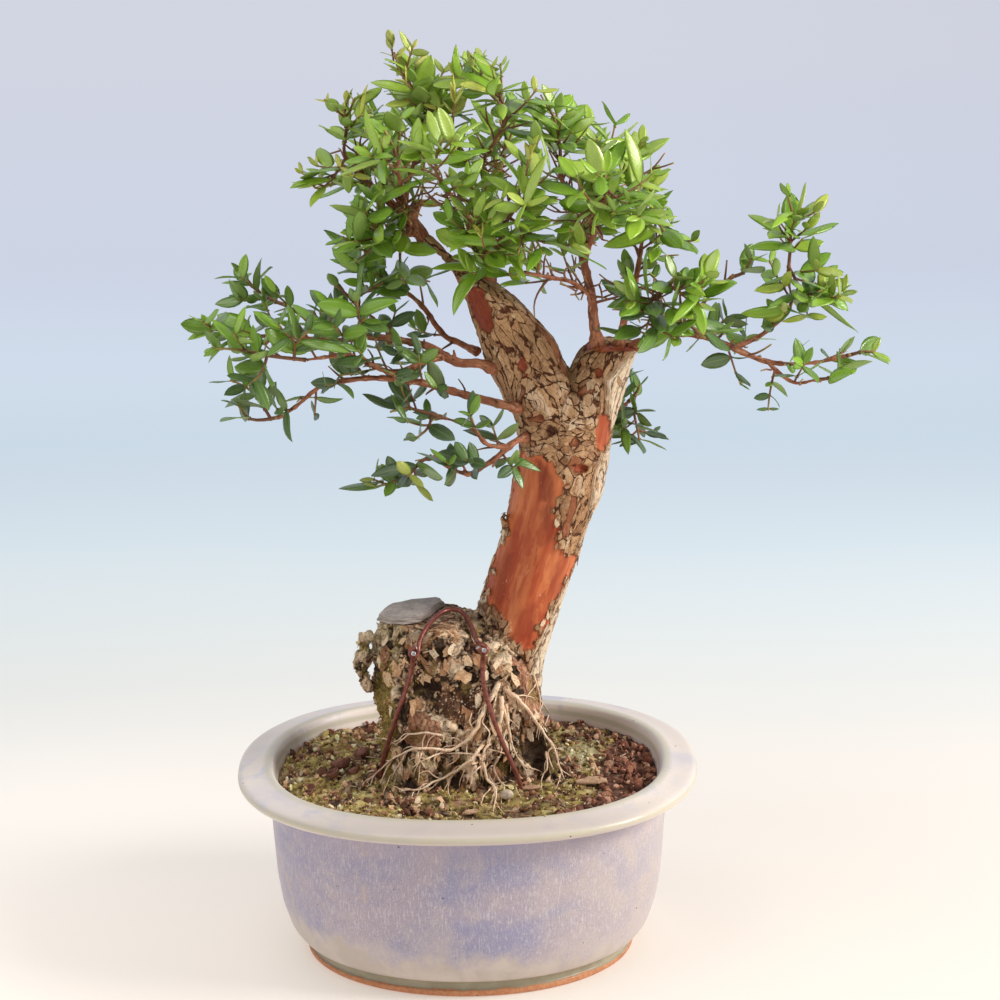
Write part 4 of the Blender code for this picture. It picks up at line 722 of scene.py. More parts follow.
def laid(points, r, trees, lift=0.45, taut=0):
    """A path over the front of what is there: the sheet line dropped on it along the eye's
    line and then, where taut, pulled tight over the hollows as a wire would be."""
    dense = []
    for (u0, v0), (u1, v1) in zip(points, points[1:]):
        count = max(1, round(math.hypot(u1 - u0, v1 - v0) / 7))
        dense += [(u0 + (u1 - u0) * k / count, v0 + (v1 - v0) * k / count) for k in range(count)]
    dense.append(points[-1])
    out = []
    for u, v in dense:
        d = sight(u, v).normalized()
        best = None
        for du, dv in ((0, 0), (r * 1.9, 0), (-r * 1.9, 0), (0, r * 1.9), (0, -r * 1.9)):
            near = sight(u + du, v + dv).normalized()
            for tree in trees:
                hit, normal, _, far = tree.ray_cast(EYE, near)
                if hit is not None and (best is None or far < best):
                    best = far
        out.append(EYE + d * (best - r - lift))
    for _ in range(taut):
        far = [(p - EYE).length for p in out]
        for k in range(1, len(out) - 1):
            mean = (far[k - 1] + far[k + 1]) / 2
            if mean < far[k]:
                out[k] = EYE + (out[k] - EYE).normalized() * mean
    return out


def free_tube(points, radii, sides, trees, bend=5.0):
    """A tube on the path, eased towards the eye until it is clear of the trees."""
    for k in range(40):
        path = Path([p - EYE_FORWARD * (0.35 * k) + UP * (0.12 * k) for p in points], 1.5)
        verts, faces = tube(path, radii, sides, 0.0, None, bend)
        grown = tube(path, (radii[0] + 0.2, radii[1] + 0.2), sides, 0.0, None, bend)
        if not any(BVHTree.FromPolygons(*grown).overlap(tree) for tree in trees):
            return path, verts, faces
    return path, verts, faces


def curl(cu, cv, depth0, depth1, radius, a0, a1, count):
    """Points of a curl of wire that faces the eye."""
    out = []
    for k in range(count + 1):
        t = k / count
        a = math.radians(a0 + (a1 - a0) * t)
        out.append(at(cu + radius * math.cos(a), cv - radius * math.sin(a), depth0 + (depth1 - depth0) * t))
    return out


# ---------------------------------------------------------------- the frame
for old in list(bpy.data.objects):
    bpy.data.objects.remove(old, do_unlink=True)
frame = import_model()
CAD = frame["nodes"]
_lo, _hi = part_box("pot")
AXIS = np.array([(_lo.x + _hi.x) / 2, (_lo.y + _hi.y) / 2, 0.0])     # the pot's axis, in metres
scene = bpy.context.scene


def triangles(obj):
    """Points in mm about the pot's axis, and triangles, of a CAD node."""
    mesh = obj.data
    mesh.calc_loop_triangles()
    co = np.empty(len(mesh.vertices) * 3)
    mesh.vertices.foreach_get("co", co)
    co = (co.reshape(-1, 3) - AXIS) * 1000
    return [Vector(p) for p in co], [tuple(t.vertices) for t in mesh.loop_triangles]


def tree_of(obj):
    points, tris = triangles(obj)
    return BVHTree.FromPolygons(points, tris, all_triangles=True)


def poly_arrays(faces):
    """Loop vertex numbers, and each face's start and size, of faces as an array or a list."""
    if isinstance(faces, np.ndarray):
        n, k = faces.shape
        return faces.reshape(-1).astype(np.int32), np.arange(n, dtype=np.int32) * k, np.full(n, k, np.int32)
    sizes = np.array([len(f) for f in faces], np.int32)
    loops = np.fromiter((i for f in faces for i in f), np.int32, int(sizes.sum()))
    return loops, np.concatenate([[0], np.cumsum(sizes)[:-1]]).astype(np.int32), sizes


def mesh_of(name, points, faces):
    """A mesh of points in mm about the pot's axis, kept as they are."""
    mesh = bpy.data.meshes.new(name)
    loops, starts, sizes = poly_arrays(faces)
    mesh.vertices.add(len(points))
    mesh.vertices.foreach_set("co", np.asarray(points, np.float32).reshape(-1))
    mesh.loops.add(len(loops))
    mesh.loops.foreach_set("vertex_index", loops)
    mesh.polygons.add(len(sizes))
    mesh.polygons.foreach_set("loop_start", starts)
    mesh.update(calc_edges=True)
    return mesh


def piece(name, points, faces, mats, smooth=True, slots=None, colours=None, vectors=None, slot=None, replaces=()):
    """A visible piece on the frame: points in mm about the pot's axis. colours and vectors are
    attributes of the points that the material reads."""
    points = np.array([tuple(p) for p in points]) if not isinstance(points, np.ndarray) else points
    mesh = mesh_of(name, points * 0.001 + AXIS, faces)
    mats = mats if isinstance(mats, (list, tuple)) else [mats]
    for m in mats:
        mesh.materials.append(m)
    if slots is not None:
        mesh.polygons.foreach_set("material_index", np.asarray(slots, np.int32))
    if smooth is not False:
        flags = np.ones(len(mesh.polygons), bool) if smooth is True else np.asarray(smooth, bool)
        mesh.polygons.foreach_set("use_smooth", flags)
    else:
        mesh.polygons.foreach_set("use_smooth", np.zeros(len(mesh.polygons), bool))
    for key, values in (colours or {}).items():
        layer = mesh.attributes.new(key, "FLOAT_COLOR", "POINT")
        layer.data.foreach_set("color", np.asarray(values, np.float32).reshape(-1))
    for key, values in (vectors or {}).items():
        layer = mesh.attributes.new(key, "FLOAT_VECTOR", "POINT")
        layer.data.foreach_set("vector", np.asarray(values, np.float32).reshape(-1))
    mesh.validate()
    mesh.update()
    obj = bpy.data.objects.new(name, mesh)
    scene.collection.objects.link(obj)
    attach(obj, "root")
    if replaces:
        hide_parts(*replaces)
    return obj


def joined(parts):
    """Several (points, faces) as one."""
    points, faces = [], []
    for p, f in parts:
        n = len(points)
        points += list(p)
        faces += [tuple(i + n for i in face) for face in f]
    return points, faces


def remeshed(parts, voxel):
    """The union of closed skins as one even skin of quads: (points, quads, normals)."""
    parts = [(p, outward(p, f)) for p, f in parts]
    points, faces = joined(parts)
    mesh = mesh_of("remesh", np.array([tuple(p) for p in points]), faces)
    obj = bpy.data.objects.new("remesh", mesh)
    scene.collection.objects.link(obj)
    mod = obj.modifiers.new("r", "REMESH")
    mod.mode, mod.voxel_size, mod.adaptivity = "VOXEL", voxel, 0.0
    bpy.context.view_layer.update()
    made = bpy.data.meshes.new_from_object(obj.evaluated_get(bpy.context.evaluated_depsgraph_get()))
    bpy.data.objects.remove(obj, do_unlink=True)
    co = np.empty(len(made.vertices) * 3)
    made.vertices.foreach_get("co", co)
    quads = np.empty(len(made.loops), np.int32)
    made.loops.foreach_get("vertex_index", quads)
    sizes = np.empty(len(made.polygons), np.int32)
    made.polygons.foreach_get("loop_total", sizes)
    if (sizes == 4).all():
        quads = quads.reshape(-1, 4)
    else:
        raise RuntimeError("the remesh gave faces that are not quads")
    bpy.data.meshes.remove(made)
    return co.reshape(-1, 3), quads


def normals_of(co, quads):
    a = co[quads[:, 2]] - co[quads[:, 0]]
    b = co[quads[:, 3]] - co[quads[:, 1]]
    n = np.cross(a, b)
    out = np.zeros_like(co)
    for k in range(4):
        for c in range(3):
            out[:, c] += np.bincount(quads[:, k], weights=n[:, c], minlength=len(co))
    return out / np.maximum(np.linalg.norm(out, axis=1, keepdims=True), 1e-12)


def relaxed(co, quads, rounds, share=0.5):
    """Each point moved towards the middle of its neighbours."""
    pairs = np.concatenate([quads[:, [0, 1]], quads[:, [1, 2]], quads[:, [2, 3]], quads[:, [3, 0]]])
    count = np.bincount(pairs[:, 0], minlength=len(co)) + np.bincount(pairs[:, 1], minlength=len(co))
    for _ in range(rounds):
        total = np.zeros_like(co)
        for c in range(3):
            total[:, c] = np.bincount(pairs[:, 0], weights=co[pairs[:, 1], c], minlength=len(co)) + np.bincount(pairs[:, 1], weights=co[pairs[:, 0], c], minlength=len(co))
        co = co + (total / np.maximum(count, 1)[:, None] - co) * share
    return co


# ---------------------------------------------------------------- noise on arrays
def hashed(i, j, k, seed):
    with np.errstate(over="ignore"):
        h = (i.astype(np.uint64) * np.uint64(0x9E3779B97F4A7C15)) ^ (j.astype(np.uint64) * np.uint64(0xC2B2AE3D27D4EB4F)) ^ (k.astype(np.uint64) * np.uint64(0x165667B19E3779F9)) ^ np.uint64(seed * 7919 + 17)
        h ^= h >> np.uint64(29)
        h *= np.uint64(0xBF58476D1CE4E5B9)
        h ^= h >> np.uint64(32)
        h *= np.uint64(0x94D049BB133111EB)
        h ^= h >> np.uint64(31)
    return (h >> np.uint64(11)).astype(np.float64) / float(1 << 53)


def grain(p, seed=0):
    """Smooth noise of an array of points, -1 to 1, with a grain of 1."""
    base = np.floor(p)
    f = p - base
    f = f * f * f * (f * (f * 6 - 15) + 10)
    base = base.astype(np.int64)
    out = np.zeros(len(p))
    for dx in (0, 1):
        for dy in (0, 1):
            for dz in (0, 1):
                w = (f[:, 0] if dx else 1 - f[:, 0]) * (f[:, 1] if dy else 1 - f[:, 1]) * (f[:, 2] if dz else 1 - f[:, 2])
                out += w * hashed(base[:, 0] + dx, base[:, 1] + dy, base[:, 2] + dz, seed)
    return out * 2 - 1


def rough(p, octaves=3, seed=0, gain=0.5):
    out, size, scale = np.zeros(len(p)), 1.0, 1.0
    for k in range(octaves):
        out += size * grain(p * scale + 13.7 * k, seed + k)
        size *= gain
        scale *= 2.03
    return out


def plates(p, seed=0, jitter=0.9):
    """Nearest and second distance to scattered seeds, the nearest one's number 0 to 1, and the
    offset from it."""
    base = np.floor(p).astype(np.int64)
    first, second = np.full(len(p), 9.0), np.full(len(p), 9.0)
    number, off = np.zeros(len(p)), np.zeros_like(p)
    for dx in (-1, 0, 1):
        for dy in (-1, 0, 1):
            for dz in (-1, 0, 1):
                i, j, k = base[:, 0] + dx, base[:, 1] + dy, base[:, 2] + dz
                spot = np.stack([i + 0.5 + jitter * (hashed(i, j, k, seed) - 0.5), j + 0.5 + jitter * (hashed(i, j, k, seed + 1) - 0.5), k + 0.5 + jitter * (hashed(i, j, k, seed + 2) - 0.5)], axis=1)
                gap = p - spot
                d = np.linalg.norm(gap, axis=1)
                near = d < first
                second = np.where(near, first, np.minimum(second, d))
                first = np.where(near, d, first)
                number = np.where(near, hashed(i, j, k, seed + 3), number)
                off = np.where(near[:, None], gap, off)
    return first, second, number, off


def step(a, b, x):
    t = np.clip((x - a) / (b - a), 0, 1)
    return t * t * (3 - 2 * t)


def on_sheet(co):
    """Sheet coordinates of points in mm."""
    d = co - np.array(EYE)
    f = d @ np.array(EYE_FORWARD)
    return np.stack([500 + SHEET_FOCUS * (d @ np.array(EYE_RIGHT)) / f, 500 - SHEET_FOCUS * (d @ np.array(EYE_UP)) / f], axis=1)


def inside(uv, outline):
    """Signed nearness to a closed outline on the sheet, in sheet units: above 0 inside it."""
    poly = np.array(outline, float)
    x, y = uv[:, 0], uv[:, 1]
    odd = np.zeros(len(uv), bool)
    best = np.full(len(uv), 1e9)
    for (x0, y0), (x1, y1) in zip(poly, np.roll(poly, -1, axis=0)):
        crosses = (y0 > y) != (y1 > y)
        with np.errstate(divide="ignore", invalid="ignore"):
            odd ^= crosses & (x < (x1 - x0) * (y - y0) / (y1 - y0) + x0)
        dx, dy = x1 - x0, y1 - y0
        t = np.clip(((x - x0) * dx + (y - y0) * dy) / (dx * dx + dy * dy), 0, 1)
        best = np.minimum(best, np.hypot(x - x0 - t * dx, y - y0 - t * dy))
    return np.where(odd, best, -best)


# ---------------------------------------------------------------- materials
def rgb(r, g, b):
    """A colour as a screen shows it, 0 to 255, as the light that it reflects."""
    return tuple(c / 12.92 if c <= 0.04045 else ((c + 0.055) / 1.055) ** 2.4 for c in (r / 255, g / 255, b / 255)) + (1.0,)


class Shade:
    """A node material put together a node at a time."""

    def __init__(self, name, rough_=0.6, **fixed):
        self.m = bpy.data.materials.new(name)
        self.m.use_nodes = True
        self.t = self.m.node_tree
        self.b = self.t.nodes["Principled BSDF"]
        self.b.inputs["Roughness"].default_value = rough_
        for key, value in fixed.items():
            self.b.inputs[key.replace("_", " ")].default_value = value
        self.here = {}

    def put(self, target, value):
        if isinstance(value, bpy.types.NodeSocket):
            self.t.links.new(value, target)
        else:
            target.default_value = value

    def place(self, scale=(1, 1, 1), kind="Object"):
        """Coordinates in mm, scaled."""
        key = (kind, tuple(scale))
        if key not in self.here:
            if kind == "Object":
                source = self.t.nodes.new("ShaderNodeTexCoord").outputs["Object"]
            else:
                node = self.t.nodes.new("ShaderNodeAttribute")
                node.attribute_name = kind
                source = node.outputs["Vector"]
            mapping = self.t.nodes.new("ShaderNodeMapping")
            factor = 1000 if kind == "Object" else 1
            mapping.inputs["Scale"].default_value = [s * factor for s in scale]
            self.t.links.new(source, mapping.inputs["Vector"])
            self.here[key] = mapping.outputs["Vector"]
        return self.here[key]

    def attr(self, name):
        """The red, green and blue of a colour attribute, and its alpha."""
        key = "attr " + name
        if key not in self.here:
            node = self.t.nodes.new("ShaderNodeAttribute")
            node.attribute_name = name
            split = self.t.nodes.new("ShaderNodeSeparateColor")
            self.t.links.new(node.outputs["Color"], split.inputs["Color"])
            self.here[key] = (*[split.outputs[c] for c in ("Red", "Green", "Blue")], node.outputs["Alpha"], node.outputs["Color"])
        return self.here[key]

    def noise(self, where, scale, detail=3.0, rough_=0.55, twist=0.0):
        node = self.t.nodes.new("ShaderNodeTexNoise")
        self.t.links.new(where, node.inputs["Vector"])
        node.inputs["Scale"].default_value = scale
        node.inputs["Detail"].default_value = detail
        node.inputs["Roughness"].default_value = rough_
        node.inputs["Distortion"].default_value = twist
        return node.outputs["Fac"]

    def cells(self, where, scale, feature="F1", what="Distance"):
        node = self.t.nodes.new("ShaderNodeTexVoronoi")
        node.feature = feature
        self.t.links.new(where, node.inputs["Vector"])
        node.inputs["Scale"].default_value = scale
        return node.outputs[what]

    def shift(self, where, scale, amount, detail=2.0):
        """Coordinates moved about by noise."""
        node = self.t.nodes.new("ShaderNodeTexNoise")
        self.t.links.new(where, node.inputs["Vector"])
        node.inputs["Scale"].default_value = scale
        node.inputs["Detail"].default_value = detail
        last = node.outputs["Color"]
        for kind, value in (("SUBTRACT", (0.5, 0.5, 0.5)), ("MULTIPLY", (amount,) * 3)):
            step_ = self.t.nodes.new("ShaderNodeVectorMath")
            step_.operation = kind
            self.t.links.new(last, step_.inputs[0])
            step_.inputs[1].default_value = value
            last = step_.outputs[0]
        total = self.t.nodes.new("ShaderNodeVectorMath")
        total.operation = "ADD"
        self.t.links.new(where, total.inputs[0])
        self.t.links.new(last, total.inputs[1])
        return total.outputs[0]

    def split(self, colour):
        node = self.t.nodes.new("ShaderNodeSeparateColor")
        self.t.links.new(colour, node.inputs["Color"])
        return node.outputs["Red"], node.outputs["Green"], node.outputs["Blue"]

    def range(self, value, lo, hi, out_lo=0.0, out_hi=1.0, smooth=True):
        node = self.t.nodes.new("ShaderNodeMapRange")
        node.interpolation_type = "SMOOTHSTEP" if smooth else "LINEAR"
        self.put(node.inputs["Value"], value)
        for key, v in (("From Min", lo), ("From Max", hi), ("To Min", out_lo), ("To Max", out_hi)):
            node.inputs[key].default_value = v
        return node.outputs["Result"]

    def math(self, kind, a, b=0.0):
        node = self.t.nodes.new("ShaderNodeMath")
        node.operation = kind
        self.put(node.inputs[0], a)
        self.put(node.inputs[1], b)
        return node.outputs["Value"]

    def mix(self, share, a, b, blend="MIX"):
        node = self.t.nodes.new("ShaderNodeMix")
        node.data_type, node.blend_type, node.clamp_factor = "RGBA", blend, True
        self.put(node.inputs[0], share)
        self.put(node.inputs[6], a)
        self.put(node.inputs[7], b)
        return node.outputs[2]

    def ramp(self, value, stops):
        node = self.t.nodes.new("ShaderNodeValToRGB")
        self.put(node.inputs["Fac"], value)
        while len(node.color_ramp.elements) < len(stops):
            node.color_ramp.elements.new(0.5)
        for element, (at_, colour) in zip(node.color_ramp.elements, stops):
            element.position, element.color = at_, colour
        return node.outputs["Color"]

    def xyz(self, vector):
        node = self.t.nodes.new("ShaderNodeSeparateXYZ")
        self.t.links.new(vector, node.inputs["Vector"])
        return node.outputs["X"], node.outputs["Y"], node.outputs["Z"]

    def bump(self, height, distance, strength=1.0, after=None):
        node = self.t.nodes.new("ShaderNodeBump")
        node.inputs["Distance"].default_value = distance * 0.001
        node.inputs["Strength"].default_value = strength
        self.put(node.inputs["Height"], height)
        if after is not None:
            self.t.links.new(after, node.inputs["Normal"])
        return node.outputs["Normal"]

    def out(self, colour=None, rough_=None, normal=None, **more):
        if colour is not None:
            self.put(self.b.inputs["Base Color"], colour)
        if rough_ is not None:
            self.put(self.b.inputs["Roughness"], rough_)
        if normal is not None:
            self.put(self.b.inputs["Normal"], normal)
        for key, value in more.items():
            self.put(self.b.inputs[key.replace("_", " ")], value)
        return self.m


def glaze_material():
    """Lavender stoneware glaze, warmer and paler to the tree's right, partly painted light of the key lamp
    there: fine pale streaks down the wall, cream where it runs thin, painted shade under the rim and on
    its front, a grey-green recess and a bare clay foot."""
    s = Shade("pot_glaze", 0.3)
    s.b.inputs["Coat Weight"].default_value = 0.20
    s.b.inputs["Coat Roughness"].default_value = 0.18
    where = s.place()
    x, y, z = s.xyz(where)
    x = s.math("SUBTRACT", x, AXIS[0] * 1000)
    blotch = s.noise(s.place((1, 1, 1.5)), 0.017, 4.0, 0.55, 0.7)
    small = s.noise(s.place((1, 1, 1.0)), 0.06, 4.0, 0.6, 0.4)
    streak = s.noise(s.place((1, 1, 0.16)), 1.25, 2.0, 0.6)
    fleck = s.noise(s.place((1, 1, 0.45)), 2.2, 2.0, 0.6)
    blue = s.mix(s.range(blotch, 0.40, 0.62), rgb(152, 150, 179), rgb(174, 162, 176))
    blue = s.mix(s.range(small, 0.44, 0.66, 0, 0.45), blue, rgb(186, 174, 182))
    # warmer and paler to the tree's right: partly the glaze's own colour, partly painted light of the key lamp on that
    # side
    thin = s.math("ADD", s.range(x, -10, 110, 0.0, 0.75), s.range(small, 0.4, 0.7, -0.12, 0.2))
    wall = s.mix(thin, blue, rgb(196, 182, 174))
    wall = s.mix(s.math("MULTIPLY", s.range(streak, 0.52, 0.66), s.range(blotch, 0.3, 0.6, 0.18, 0.5)), wall, rgb(220, 212, 216))
    wall = s.mix(s.math("MULTIPLY", s.range(fleck, 0.56, 0.70), 0.55), wall, rgb(138, 134, 160))
    wall = s.mix(s.math("MULTIPLY", s.range(fleck, 0.44, 0.32), 0.45), wall, rgb(224, 216, 218))
    # warm stains that run across the lower left, and a rust spot
    rust = s.noise(s.place((1, 1, 0.6)), 0.05, 4.0, 0.7, 0.6)
    stain = s.math("MULTIPLY", s.range(rust, 0.60, 0.72), s.range(x, 20, -30, 0.05, 0.55))
    wall = s.mix(stain, wall, rgb(206, 184, 156))
    # paler towards the foot of the wall
    drip = s.math("ADD", z, s.range(s.noise(s.place((1, 1, 0.7)), 0.055, 4.0, 0.65), 0.3, 0.7, -8.0, 8.0))
    drip = s.math("ADD", drip, s.range(x, -60, 60, -3.0, 4.0))
    low = s.math("ADD", s.range(drip, 22, 40, 0.75, 0.0), s.range(small, 0.35, 0.7, -0.2, 0.15))
    wall = s.mix(s.math("MULTIPLY", low, s.range(z, 50, 24, 0.0, 1.0)), wall, rgb(198, 186, 184))
    wall = s.mix(s.range(drip, 26.0, 19.0), wall, s.mix(s.range(small, 0.35, 0.65), rgb(192, 180, 170), rgb(206, 194, 186)))
    # rim: cream to pink with grey-blue patches, greenish at its edges
    rim = s.mix(s.range(blotch, 0.50, 0.70), rgb(238, 226, 216), rgb(220, 212, 214))
    rim = s.mix(s.range(s.noise(s.place(), 0.045, 3.0, 0.6), 0.45, 0.65, 0, 0.6), rim, rgb(240, 224, 210))
    rim = s.mix(s.range(s.noise(s.place((1, 1, 0.5)), 0.03, 4.0, 0.6, 0.8), 0.50, 0.66, 0, 0.7), rim, rgb(200, 200, 220))
    rim = s.mix(s.range(fleck, 0.6, 0.7, 0, 0.3), rim, rgb(172, 168, 178))
    # painted shade: the rim greyer and darker towards the front
    rim = s.mix(s.range(y, -55, -100, 0, 0.75), rim, rgb(196, 184, 176))
    edge = s.math("ADD", s.range(z, 104.3, 105.1), s.math("MULTIPLY", s.range(z, 98.0, 99.6), s.range(z, 102.2, 100.6)))
    rim = s.mix(s.math("MULTIPLY", edge, 0.7), rim, rgb(198, 192, 166))
    under = s.math("MULTIPLY", s.range(z, 92.6, 94.4), s.range(z, 96.2, 95.2))
    wall = s.mix(under, wall, rgb(214, 190, 182))
    # the wall is bluer just under the rim, and darker there with painted shade of the overhanging rim
    wall = s.mix(s.math("MULTIPLY", s.range(z, 78, 93), s.range(z, 94.0, 93.0, 0.0, 0.5)), wall, rgb(164, 158, 184))
    body = s.mix(s.range(z, 95.0, 96.4), wall, rim)
    # the step below the wall, then bare clay
    recess = s.mix(s.range(small, 0.3, 0.7), rgb(150, 142, 118), rgb(172, 162, 138))
    body = s.mix(s.range(z, 10.6, 9.4), body, recess)
    clay = s.mix(s.range(s.noise(where, 0.5, 4.0, 0.6), 0.35, 0.65), rgb(190, 124, 84), rgb(208, 146, 104))
    clay = s.mix(s.range(s.noise(where, 0.12, 3.0, 0.6), 0.55, 0.7, 0, 0.6), clay, rgb(164, 104, 72))
    bare = s.range(s.math("ADD", z, s.range(small, 0.3, 0.7, -0.5, 0.5)), 4.3, 3.7)
    body = s.mix(bare, body, clay)
    # iron specks
    speck = s.range(s.cells(where, 0.085), 0.055, 0.035)
    body = s.mix(s.math("MULTIPLY", speck, 0.8), body, rgb(60, 48, 54))
    gloss = s.mix(bare, s.range(small, 0.3, 0.7, 0.36, 0.52), (0.85, 0.85, 0.85, 1))
    ripple = s.bump(s.noise(s.place((1, 1, 0.5)), 0.12, 3.0, 0.5), 0.9, 0.3)
    pits = s.bump(s.noise(where, 1.6, 2.0, 0.6), 0.12, 0.5, ripple)
    return s.out(body, gloss, pits)


def leaf_materials():
    """Upper side: glossy, with a faint pale midrib; under side: paler and dull."""
    found = []
    for name, under in (("leaf_upper", False), ("leaf_under", True)):
        s = Shade(name, 0.5 if under else 0.3)
        if not under:
            s.b.inputs["Specular IOR Level"].default_value = 0.85
            s.b.inputs["Coat Weight"].default_value = 0.32
            s.b.inputs["Coat Roughness"].default_value = 0.25
        hue_and_painted_light, tone, across, along, _ = s.attr("leaf")
        # painted light and shade with each leaf's own random tone: dark inside and below the crown, bright outside and
        # on top; tone is how young one is
        colour = s.ramp(hue_and_painted_light, [(0.0, rgb(88, 112, 82)), (0.2, rgb(102, 136, 76)), (0.38, rgb(124, 164, 60)), (0.6, rgb(152, 200, 56)), (0.82, rgb(180, 220, 66)), (1.0, rgb(192, 218, 98))])
        young = s.mix(s.range(hue_and_painted_light, 0.3, 0.9), rgb(196, 204, 92), rgb(232, 226, 104))
        colour = s.mix(s.range(tone, 0.42, 0.85), colour, young)
        patch = s.noise(s.place(), 0.35, 2.0, 0.5)
        colour = s.mix(s.range(patch, 0.3, 0.7, 0, 0.15), colour, rgb(94, 134, 54))
        rib = s.range(across, 0.12, 0.02)
        veins = s.math("SINE", s.math("MULTIPLY", s.math("SUBTRACT", along, s.math("MULTIPLY", across, 0.20)), 62.0))
        colour = s.mix(s.math("MULTIPLY", rib, 0.30), colour, rgb(190, 208, 122))
        colour = s.mix(s.range(veins, 0.75, 1.0, 0, 0.05), colour, rgb(170, 200, 100))
        colour = s.mix(s.range(across, 0.90, 1.0, 0, 0.2), colour, rgb(176, 204, 96))
        if under:
            colour = s.mix(0.5, colour, rgb(158, 176, 124))
        fine = s.noise(s.place(), 2.2, 2.0, 0.5)
        normal = s.bump(s.math("ADD", s.math("MULTIPLY", veins, 0.35), fine), 0.10, 0.4)
        s.out(colour, None if under else s.range(fine, 0.3, 0.7, 0.24, 0.36), normal)
        # light from behind shows through the thin blade
        thin = s.t.nodes.new("ShaderNodeBsdfTranslucent")
        glow = s.mix(0.5, colour, rgb(196, 222, 56))
        s.t.links.new(glow, thin.inputs["Color"])
        both = s.t.nodes.new("ShaderNodeMixShader")
        both.inputs[0].default_value = 0.24
        s.t.links.new(s.b.outputs[0], both.inputs[1])
        s.t.links.new(thin.outputs[0], both.inputs[2])
        s.t.links.new(both.outputs[0], s.t.nodes["Material Output"].inputs["Surface"])
        found.append(s.m)
    return found


def twig_material():
    """Young twigs: green-orange at their ends, red-brown to grey-brown as they age."""
    s = Shade("twig_skin", 0.6)
    age, own, _, _, _ = s.attr("twig")
    old = s.mix(own, rgb(108, 66, 46), rgb(146, 98, 70))
    new = s.mix(own, rgb(164, 118, 70), rgb(168, 160, 86))
    colour = s.mix(s.range(age, 0.4, 0.95), old, new)
    flake = s.noise(s.place((1, 1, 1)), 1.1, 4.0, 0.65)
    colour = s.mix(s.range(flake, 0.56, 0.7, 0, 0.6), colour, rgb(74, 42, 30))
    colour = s.mix(s.range(flake, 0.42, 0.3, 0, 0.45), colour, rgb(186, 146, 116))
    return s.out(colour, s.range(flake, 0.3, 0.7, 0.5, 0.75), s.bump(flake, 0.3, 0.6))


def branch_material():
    """Branch bark: orange-brown where it peels, with darker rough patches and thin strips."""
    s = Shade("branch_bark", 0.75)
    along = s.place((1, 1, 0.25), "bark")
    where = s.place((1, 1, 1), "bark")
    strips = s.noise(along, 0.75, 4.0, 0.65)
    patch = s.noise(where, 0.10, 3.0, 0.6)
    colour = s.mix(s.range(patch, 0.38, 0.62), rgb(178, 114, 80), rgb(142, 84, 58))
    colour = s.mix(s.range(strips, 0.56, 0.70), colour, rgb(92, 50, 36))
    colour = s.mix(s.range(strips, 0.46, 0.32, 0, 0.75), colour, rgb(212, 168, 136))
    high, _, _, _, _ = s.attr("wood")
    # painted shade: the low parts of the branch bark darker
    colour = s.mix(s.range(high, 0.42, 0.12, 0, 0.75), colour, rgb(58, 34, 26))
    return s.out(colour, s.range(strips, 0.3, 0.7, 0.6, 0.85), s.bump(strips, 0.6, 0.9))


